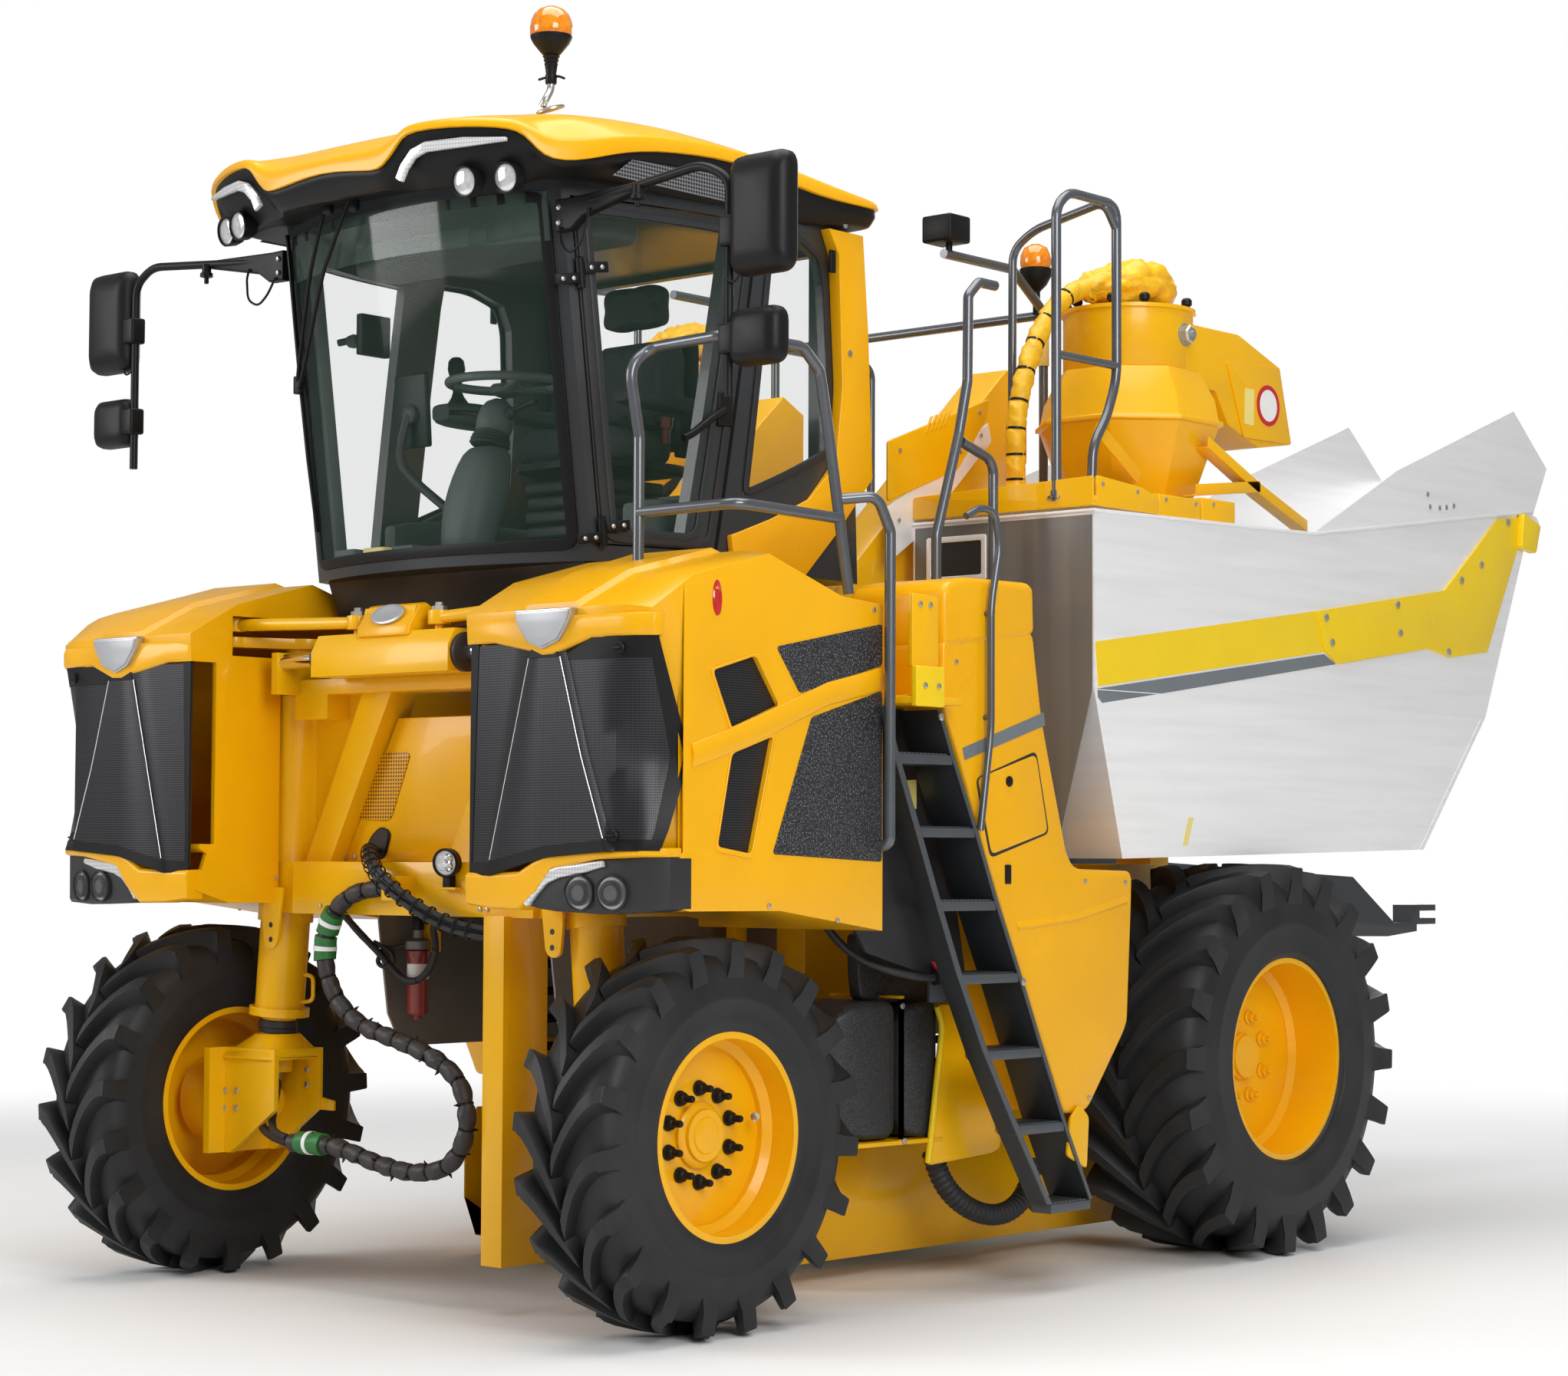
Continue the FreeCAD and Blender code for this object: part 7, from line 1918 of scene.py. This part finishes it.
def makeKnuckles(n):
    axle = frontTyre["at"][2]
    lean = math.sin(math.radians(n["lean"]))
    for side, name in rightLeft:
        ride = {"body": "knuckle_" + name.lower()}
        axis = (-side * lean, 0, math.cos(math.radians(n["lean"])))
        foot = (side * n["foot"][0], 0, n["foot"][1])
        refined("knuckle_" + name.lower(), yellow, 5)
        lathe("legSeal" + name, foot, axis,
              [(60, -44), (64, -42), (66, -30), (63, -26), (66, -22), (64, -2), (60, 0)], softBlack,
              36, **ride)
        ring, top = [], []
        for k in range(24):
            turn = 2 * math.pi * k / 24
            cx, cy = math.cos(turn), math.sin(turn)
            reach = 1 / max(abs(cx) / 138, abs(cy) / 118)
            ring.append((side * (786 + cx * reach), cy * reach, 737))
            top.append((side * (756 + cx * 74), cy * 74, 812))
        low = [(x, y, 729) for x, y, _ in ring]
        loft("knuckleHood" + name, [low, ring, top], yellow, bevel=3, **ride)
        lathe("wheelMotor" + name, (side * 905, 0, axle), (-side, 0, 0),
              [(82, 0), (82, 50), (76, 58), (60, 62), (60, 118), (52, 128), (20, 132), (0.5, 132)],
              yellow, 36, **ride)
        bolts("motorBolts" + name, [(side * 855, 70 * math.cos(t), axle + 70 * math.sin(t))
                                    for t in (0.4, 1.45, 2.5, 3.55, 4.6, 5.65)], (-side, 0, 0), 9,
              12, zinc, 6, **ride)
        bolts("knuckleBolts" + name,
              [(side * x, -105, z) for x, z in ((900, 560), (840, 565), (896, 620), (838, 622))],
              (0, -1, 0), 11, 7, zinc, 12, **ride)
        bolts("knuckleBackBolts" + name, [(side * 700, 84, 640), (side * 700, 84, 690)], toFront,
              11, 9, zinc, 6, **ride)
        loft("knuckleArm" + name, [[(side * x, y, z) for x, y, z in end] for end in n["arm"]],
             yellow, bevel=3, **ride)
        for i, (dy, dz) in enumerate(((-30, 36), (24, 44))):
            lathe("motorFitting" + name + str(i), (side * 790, dy, axle + dz), (-side * 0.2, 0, 1),
                  [(11, 0), (11, 16), (16, 18), (16, 34), (12, 36), (12, 54), (0.5, 54)], zinc, 6,
                  **ride)
        turns = []
        for k in range(10):
            turn = 2 * math.pi * k / 10
            turns.append((side * (n["foot"][0] - lean * 29) + 91 * math.cos(turn),
                          91 * math.sin(turn), 886))
        bolts("legFlangeBolts" + name, turns, axis, 7, 9, yellow, 6)
        plate("beamEar" + name, "XZ", [(side * x, z) for x, z in n["ear"]], -121, -109, yellow,
              edge=2, corner=14)
        bolts("earHoles" + name, [(side * 655, -121, 1128), (side * 655, -121, 1176)], toFront, 9,
              1.5, softBlack, 20)
        tube("legHandle" + name, [(side * 672, 30, 1010), (side * 632, 44, 1004),
                                  (side * 632, 44, 922), (side * 678, 30, 916)], 7, yellow, 20)
    made = softTube("motorHoses", n["hoses"], 15, softBlack, 0.6, sides=14, body=None)
    made += softTube("motorHosesB", n["hosesB"], 13, softBlack, 0.6, sides=14, body=None)
    hoses = joined("motorHoses", made)
    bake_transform(hoses)


makeKnuckles(knuckle)
print("front made")

# steering: barrel glands, tie-rod eyes and the blank badge

steering = {"badge": (10, -217, 2163), "badgeTurn": 57, "badgeStretch": (1.25, 0.66, 1, 1),
            "gland": (330, -180, 2036), "pin": (190, -165, 2150),
            "hose": [(270, -150, 2086), (275, -130, 2120), (240, -90, 2124), (150, -84, 2110),
                     (60, -84, 2094)]}


def makeSteering(s):
    ride = {"body": "steering_slider"}
    refined("steering_cylinder", yellow, 5)
    rings = []
    for x in (-122, -108, 108, 122):
        small = 6 if abs(x) > 110 else 0
        rings.append([(x, -240 + small, 2096), (x, -236 + small, 2126),
                      (x, -190 + small, 2196 - small), (x, -150, 2204 - small),
                      (x, -110, 2180 - small), (x, -104, 2096)])
    loft("badgeBlock", rings, amber, bevel=6, **ride)
    disc = lathe("steeringBadge", (0, 0, 0), toTop,
                 [(56, 0), (58, 2), (58, 7), (52, 10), (40, 8), (0.5, 7)], badgePale, 48, **ride)
    turn = Matrix.Rotation(math.radians(s["badgeTurn"]), 4, "X")
    disc.data.transform(Matrix.Translation(at(*s["badge"])) @ turn
                        @ Matrix.Diagonal(s["badgeStretch"]) @ Matrix.Translation(-at(0, 0, 0)))
    for side, tag in rightLeft:
        x, y, z = s["gland"]
        lathe("barrelGland" + tag, (side * x, y, z), (side, 0, 0),
              [(62, -14), (62, 8), (50, 14), (30, 16), (27, 16)], softBlack, 36, **ride)
        x, y, z = s["pin"]
        lathe("tiePin" + tag, (side * x, y, z), toTop,
              [(17, 20), (24, 22), (24, 36), (14, 38), (14, 48), (0.5, 49)], zinc, 6, **ride)
        softTube("steeringHose" + tag, [(side * x, y, z) for x, y, z in s["hose"]], 9, softBlack,
                 sides=12, **ride)
    refined("tie_rod_left", yellow, 3)
    refined("tie_rod_right", yellow, 3)


makeSteering(steering)
print("steering made")

# cab inside: seat, column, wheel, screens, header and wipers

seat = {"cushion": ((-255, 478, 2722), (255, 930, 2836)),
        "back": ((-232, 868, 2840), (232, 972, 3190)),
        "head": ((-150, 872, 3196), (150, 968, 3376)), "cap": 16, "pressure": 4.0}


def inflated(name, low, high, tilt, material, cap):
    # a crowned pad: a smaller rounded block, blown up as cloth and capped
    (a, b, c), (d, e, f) = low, high
    grow = []
    for along, share in ((0.0, 0.72), (0.12, 0.92), (0.5, 1.0), (0.88, 0.92), (1.0, 0.72)):
        ring = roundCorners([(-1, -1), (1, -1), (1, 1), (-1, 1)], 0.5, 5)
        if tilt == "flat":
            grow.append([((a + d) / 2 + u * (d - a - 24) / 2 * share ** 0.4,
                          (b + e) / 2 + v * (e - b - 24) / 2 * share ** 0.4,
                          c + 8 + (f - c - 22) * along) for u, v in ring])
        else:
            grow.append([((a + d) / 2 + u * (d - a - 24) / 2 * share ** 0.4,
                          b + 8 + (e - b - 22) * along,
                          (c + f) / 2 + v * (f - c - 24) / 2 * share ** 0.4) for u, v in ring])
    pad = loft(name, grow, material)
    remesh = pad.modifiers.new("remesh", "REMESH")
    remesh.mode, remesh.voxel_size = "VOXEL", 0.007
    shape = evaluatedMesh(pad)
    pad.modifiers.clear()
    pad.data = shape
    rest = [v.co.copy() for v in shape.vertices]
    cloth = pad.modifiers.new("cloth", "CLOTH")
    cloth.settings.quality = 4
    cloth.settings.use_pressure = True
    cloth.settings.uniform_pressure_force = seat["pressure"]
    cloth.settings.effector_weights.gravity = 0
    scene = bpy.context.scene
    for step in range(1, 21):
        scene.frame_set(step)
    swollen = pad.evaluated_get(bpy.context.evaluated_depsgraph_get())
    moved = [v.co.copy() for v in swollen.data.vertices]
    pad.modifiers.clear()
    scene.frame_set(1)
    for vert, before, after in zip(pad.data.vertices, rest, moved):
        step = after - before
        vert.co = before + step * min(1, cap / 1000 / max(step.length, 1e-6))
    pad.data.update()
    return pad


def sewn(pad, seams, axis, deep=9):
    # pulls the skin in along straight seams: each is a place across the pad
    for vert in pad.data.vertices:
        spot = (vert.co - at(0, 0, 0)) * 1000
        pull = sum(math.exp(-((spot[axis] - place) / 9) ** 2) for place in seams)
        vert.co -= vert.normal * deep * min(1, pull) / 1000
    pad.data.update()
    applied(pad, subdivide=1)


def makeSeat(s):
    cushion = inflated("seatCushion", *s["cushion"], "flat", fabric, s["cap"])
    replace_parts(cushion, "seat")
    sewn(cushion, (-150, 150), 0)
    back = inflated("seatBack", *s["back"], "up", fabric, s["cap"])
    sewn(back, (-140, 140), 0)
    head = inflated("headRest", *s["head"], "up", seatTrim, 10)
    sewn(head, (3214,), 2, 5)
    roundedBox("seatPan", (-240, 500, 2690), (240, 940, 2728), 40, blackPlastic)
    roundedBox("seatShell", (-226, 966, 2790), (226, 994, 3180), 50, blackPlastic)
    for i in range(5):
        block("seatBellows" + str(i), (-178 + 5 * (i % 2), 560 + 5 * (i % 2), 2420 + 50 * i),
              (178 - 5 * (i % 2), 880 - 5 * (i % 2), 2466 + 50 * i), softBlack, 14)
    block("seatFoot", (-200, 550, 2360), (200, 900, 2424), blackPlastic, 10)
    for side, tag in rightLeft:
        low = 250 if side > 0 else -360
        roundedBox("armRest" + tag, (low, 520, 2890), (low + 110, 860, 2936), 24, seatTrim)
        block("armPost" + tag, (low + 36, 800, 2740), (low + 74, 866, 2892), blackPlastic, 8)
    roundedBox("driveBox", (-380, 300, 2850), (-250, 520, 2930), 28, cabPlastic)
    lathe("driveStick", (-315, 380, 2926), (0.05, -0.12, 1),
          [(38, 0), (30, 12), (22, 24), (16, 40), (16, 70), (24, 90), (30, 118), (26, 146),
           (14, 158), (0.5, 160)], blackPlastic, 24)
    for side in (-1, 1):
        lathe("seatBelt" + str(side + 1), (side * 250, 800, 2790), (side * 0.2, -0.1, 1),
              [(14, 0), (14, 50), (20, 54), (20, 90), (0.5, 92)],
              redPaint if side > 0 else blackPlastic, 12)


seatTrim = surface("seat trim", (0.03, 0.036, 0.036), 0.7, vary=0.1, grain=0.5, grainSize=260)
makeSeat(seat)
print("seat made")


column = {"rim": 188, "wheelY": 300, "wheelZ": 2958,
          "body": [(130, 2362, 88, 80), (132, 2440, 82, 74), (150, 2500, 96, 88),
                   (176, 2590, 98, 90), (204, 2680, 86, 80), (226, 2750, 66, 62)]}


def makeColumn(c):
    rings = []
    for y, z, wide, deep in c["body"]:
        rings.append([(wide * math.cos(t) * abs(math.cos(t)) ** -0.25,
                       y + deep * math.sin(t) * abs(math.sin(t) or 1) ** -0.25, z)
                      for t in [math.pi * (k + 0.5) / 12 for k in range(24)]])
    body = loft("columnBody", rings, cabPlastic, subdivide=1)
    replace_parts(body, "steering_column")
    lathe("columnBellows", (0, 226, 2742), (0, 0.25, 1),
          [(62, 0), (68, 6), (60, 12), (67, 18), (58, 24), (64, 30), (56, 36), (60, 42), (50, 48)],
          softBlack, 36)
    lathe("columnHead", (0, 238, 2782), (0, 0.32, 1),
          [(50, 0), (58, 12), (62, 40), (58, 80), (46, 104), (30, 116), (26, 120)], cabPlastic, 36)
    for side in (-1, 1):
        tube("stalk" + str(side + 1),
             [(side * 50, 262, 2850), (side * 120, 250, 2866), (side * 200, 240, 2874)], 9,
             blackPlastic, 20)
        lathe("stalkBoot" + str(side + 1), (side * 44, 262, 2848), (side, -0.1, 0.2),
              [(26, 0), (22, 10), (24, 16), (16, 26), (17, 32), (10, 42)], softBlack, 20)
    wheel = {"body": "steering_wheel_body"}
    rim = []
    for k in range(72):
        turn = 2 * math.pi * k / 72
        rim.append((c["rim"] * math.cos(turn), c["wheelY"] + c["rim"] * math.sin(turn),
                    c["wheelZ"]))
    ring = tube("wheelRim", rim, 15, cabPlastic, closed=True, rings=10, **wheel)
    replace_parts(ring, "steering_wheel")
    for i, turn in enumerate((math.pi / 2, math.pi * 7 / 6, math.pi * 11 / 6)):
        reach = [(r * math.cos(turn), c["wheelY"] + r * math.sin(turn), z, w) for r, z, w in
                 ((186, 2956, 12), (140, 2948, 14), (80, 2938, 20), (30, 2936, 26))]
        side = Vector((-math.sin(turn), math.cos(turn), 0))
        loft("wheelSpoke" + str(i), [[(x + side.x * u * w, y + side.y * u * w, z + v)
                                      for u, v in ((-1, -5), (-0.6, -9), (0.6, -9), (1, -5), (1, 5),
                                                   (0.6, 9), (-0.6, 9), (-1, 5))]
                                     for x, y, z, w in reach], cabPlastic, bevel=2, **wheel)
    lathe("wheelHub", (0, c["wheelY"], c["wheelZ"] - 36), toTop,
          [(30, -8), (52, 4), (56, 20), (46, 32), (0.5, 36)], cabPlastic, 36, **wheel)


makeColumn(column)


cabInside = {"keys": (130, 250, 370), "posts": (2360, 2600, 2900, 3200, 3440),
             "screen": [(-366, 150, 2752), (-212, 150, 2752), (-206, 128, 2996), (-360, 128, 2996)],
             "screenArm": [(-286, 128, 2860), (-300, 112, 2780), (-318, 120, 2700),
                           (-250, 140, 2630), (-120, 170, 2530), (-60, 176, 2500)]}


def makeCabInside(c):
    roundedBox("header", (-590, 60, 3352), (590, 330, 3450), 30, cabPlastic)
    roundedBox("headerPanel", (70, 46, 3366), (430, 64, 3430), 14, blackPlastic)
    for i, x in enumerate(c["keys"]):
        block("headerKey" + str(i), (x - 44, 40, 3376), (x + 44, 50, 3420), softBlack, 4)
    for side, tag in rightLeft:
        post = []
        for z in c["posts"]:
            _, y, _ = frontSkin(side * 610, z)
            post.append([(side * 600, y + 20, z), (side * 560, y + 30, z), (side * 556, y + 80, z),
                         (side * 610, y + 96, z)])
        loft("cabPost" + tag, post, cabPlastic, bevel=8)
        roundedBox("sideTrim" + tag, (side * 560 - 40, 300, 2370), (side * 560 + 40, 1120, 2560),
                   30, cabPlastic)
    back = [(x, y + 22, z + 3) for x, y, z in c["screen"]]
    loft("driveScreen", [c["screen"], back], blackPlastic, bevel=7)
    lathe("screenMount", (-286, 142, 2862), (0, -1, 0.1), [(34, 0), (34, 14), (22, 20), (0.5, 20)],
          softBlack, 24)
    tube("screenArm", c["screenArm"], 15, softBlack, 46)
    block("tabletShell", (-462, 50, 3070), (-432, 180, 3208), blackPlastic, 6)
    tube("tabletArm", [(-560, 60, 3120), (-510, 84, 3130), (-462, 112, 3138)], 12, softBlack, 20)
    lathe("tabletBall", (-510, 84, 3124), (1, 0.2, 0),
          [(8, -26), (20, -18), (24, 0), (20, 18), (8, 26)], cabPlastic, 24)
    for i, (x, tone) in enumerate(((-430, cabPlastic), (-300, labelYellow), (-170, cabPlastic))):
        block("floorBox" + str(i), (x - 50, -20 + 10 * i, 2362), (x + 50, 60 + 10 * i, 2412), tone,
              6)


makeCabInside(cabInside)
print("cab inside made")

wiper = {"arms": ([(-205, 3546), (-372, 3288), (-566, 3032), (-596, 2976)],
                  [(-70, 3535), (-285, 3284), (-520, 3019), (-592, 2950)]),
         "blade": [(-600, 3462), (-602, 3200), (-602, 2960), (-592, 2719), (-566, 2478)]}


def makeWipers(w):
    for i, arm in enumerate(w["arms"]):
        path = [frontSkin(x, z, 34 + (26 if k < 2 else 0)) for k, (x, z) in enumerate(arm)]
        tube("wiperArm" + str(i), path, 7, blackPlastic, 60)
        x, y, z = path[0]
        lathe("wiperHub" + str(i), (x, y + 14, z), (0, -1, 0.2),
              [(24, 0), (24, 18), (16, 28), (0.5, 29)], blackPlastic, 24)
        roundedBox("wiperKnuckle" + str(i), (x - 22, y - 12, z - 90), (x + 14, y + 12, z + 10), 9,
                   blackPlastic)
    rings = []
    for x, z in w["blade"]:
        px, py, pz = frontSkin(x, z, 12)
        rings.append([(px - 5, py, pz), (px + 5, py, pz), (px + 4, py - 14, pz),
                      (px - 4, py - 14, pz)])
    loft("wiperBlade", rings, blackPlastic, bevel=1)
    x, y, z = frontSkin(-598, 2966, 30)
    block("wiperJoint", (x - 16, y - 12, z - 30), (x + 16, y + 12, z + 30), blackPlastic, 5)
    x, y, z = frontSkin(-140, 3536, 20)
    roundedBox("wiperPlate", (x - 150, y - 20, z - 12), (x + 150, y + 20, z + 40), 10, blackPlastic)


makeWipers(wiper)

for side, tag in leftRight:
    bolts("fairingBolts" + tag, [(side * 800, 1078, 3501), (side * 800, 1104, 3076)], (side, 0, 0),
          11, 5, zinc, 20)
    block("fairingSwitch" + tag, (side * 803 - 6, 996, 3332), (side * 803 + 6, 1024, 3408),
          blackPlastic, 4)
refined("cab_fairings", amber, 10)
paint(darkSteel, "tunnel_lining")
print("wipers made")

# floor and light

studio = {"floorColor": (0.86, 0.86, 0.86), "floorSize": 60, "fade": (4.6, 9.0), "skyLight": 0.31,
          "lamps": [("overhead", (1.0, -2.0, 9.5), (0, 0, 1.6), 7.5, 640),
                    ("frontLeft", (9.0, -6.5, 5.5), (0.4, -1.5, 1.8), 4.5, 470),
                    ("frontRight", (-5.5, -9.5, 4.8), (0, -1.5, 1.8), 4.0, 330),
                    ("rearFill", (-4.0, 9.0, 5.0), (0, 1.0, 2.0), 5.0, 240)]}


def paleFloor(s):
    # plain near the machine, so that it keeps the shadow, and white to the camera further out
    material = surface("pale floor", s["floorColor"], 0.9, vary=0.004, grain=0.0, specular=0.1)
    tree = material.node_tree
    link = tree.links.new
    shader = next(n for n in tree.nodes if n.type == "BSDF_PRINCIPLED")
    end = next(n for n in tree.nodes if n.type == "OUTPUT_MATERIAL")
    coords = tree.nodes.new("ShaderNodeTexCoord")
    length = addNode(tree, "ShaderNodeVectorMath", operation="LENGTH")
    fade = addNode(tree, "ShaderNodeMapRange", interpolation_type="SMOOTHSTEP")
    fade.inputs["From Min"].default_value, fade.inputs["From Max"].default_value = s["fade"]
    rays = tree.nodes.new("ShaderNodeLightPath")
    seen = addNode(tree, "ShaderNodeMath", operation="MAXIMUM")
    share = addNode(tree, "ShaderNodeMath", operation="MULTIPLY")
    white = addNode(tree, "ShaderNodeEmission", Strength=1.0)
    mix = tree.nodes.new("ShaderNodeMixShader")
    link(coords.outputs["Object"], length.inputs[0])
    link(length.outputs["Value"], fade.inputs["Value"])
    link(rays.outputs["Is Camera Ray"], seen.inputs[0])
    link(rays.outputs["Is Transmission Ray"], seen.inputs[1])
    link(seen.outputs[0], share.inputs[0])
    link(fade.outputs["Result"], share.inputs[1])
    link(share.outputs[0], mix.inputs[0])
    link(shader.outputs[0], mix.inputs[1])
    link(white.outputs[0], mix.inputs[2])
    link(mix.outputs[0], end.inputs["Surface"])
    return material


def makeStudio(s):
    size = s["floorSize"]
    mesh = bpy.data.meshes.new("floor")
    mesh.from_pydata([(-size, -size, 0), (size, -size, 0), (size, size, 0), (-size, size, 0)], [],
                     [(0, 1, 2, 3)])
    floor = addObject("floor", mesh)
    mesh.materials.append(paleFloor(s))
    for name, place, target, width, power in s["lamps"]:
        lamp = bpy.data.lights.new(name, "AREA")
        lamp.shape, lamp.size, lamp.energy = "SQUARE", width, power
        obj = addObject(name, lamp)
        obj.location = place
        obj.rotation_euler = (Vector(target) - Vector(place)).to_track_quat("-Z", "Y").to_euler()
    world = bpy.data.worlds.new("studio")
    bpy.context.scene.world = world
    world.use_nodes = True
    tree = world.node_tree
    link = tree.links.new
    light = tree.nodes["Background"]
    light.inputs["Color"].default_value = (1, 1, 1, 1)
    light.inputs["Strength"].default_value = s["skyLight"]
    shown = addNode(tree, "ShaderNodeBackground", Strength=1.0)
    shown.inputs["Color"].default_value = (1, 1, 1, 1)
    rays = tree.nodes.new("ShaderNodeLightPath")
    either = addNode(tree, "ShaderNodeMath", operation="MAXIMUM")
    mix = tree.nodes.new("ShaderNodeMixShader")
    link(rays.outputs["Is Camera Ray"], either.inputs[0])
    link(rays.outputs["Is Transmission Ray"], either.inputs[1])
    link(either.outputs[0], mix.inputs[0])
    link(light.outputs[0], mix.inputs[1])
    link(shown.outputs[0], mix.inputs[2])
    link(mix.outputs[0], tree.nodes["World Output"].inputs["Surface"])
    bpy.context.scene.view_settings.view_transform = "Standard"


makeStudio(studio)
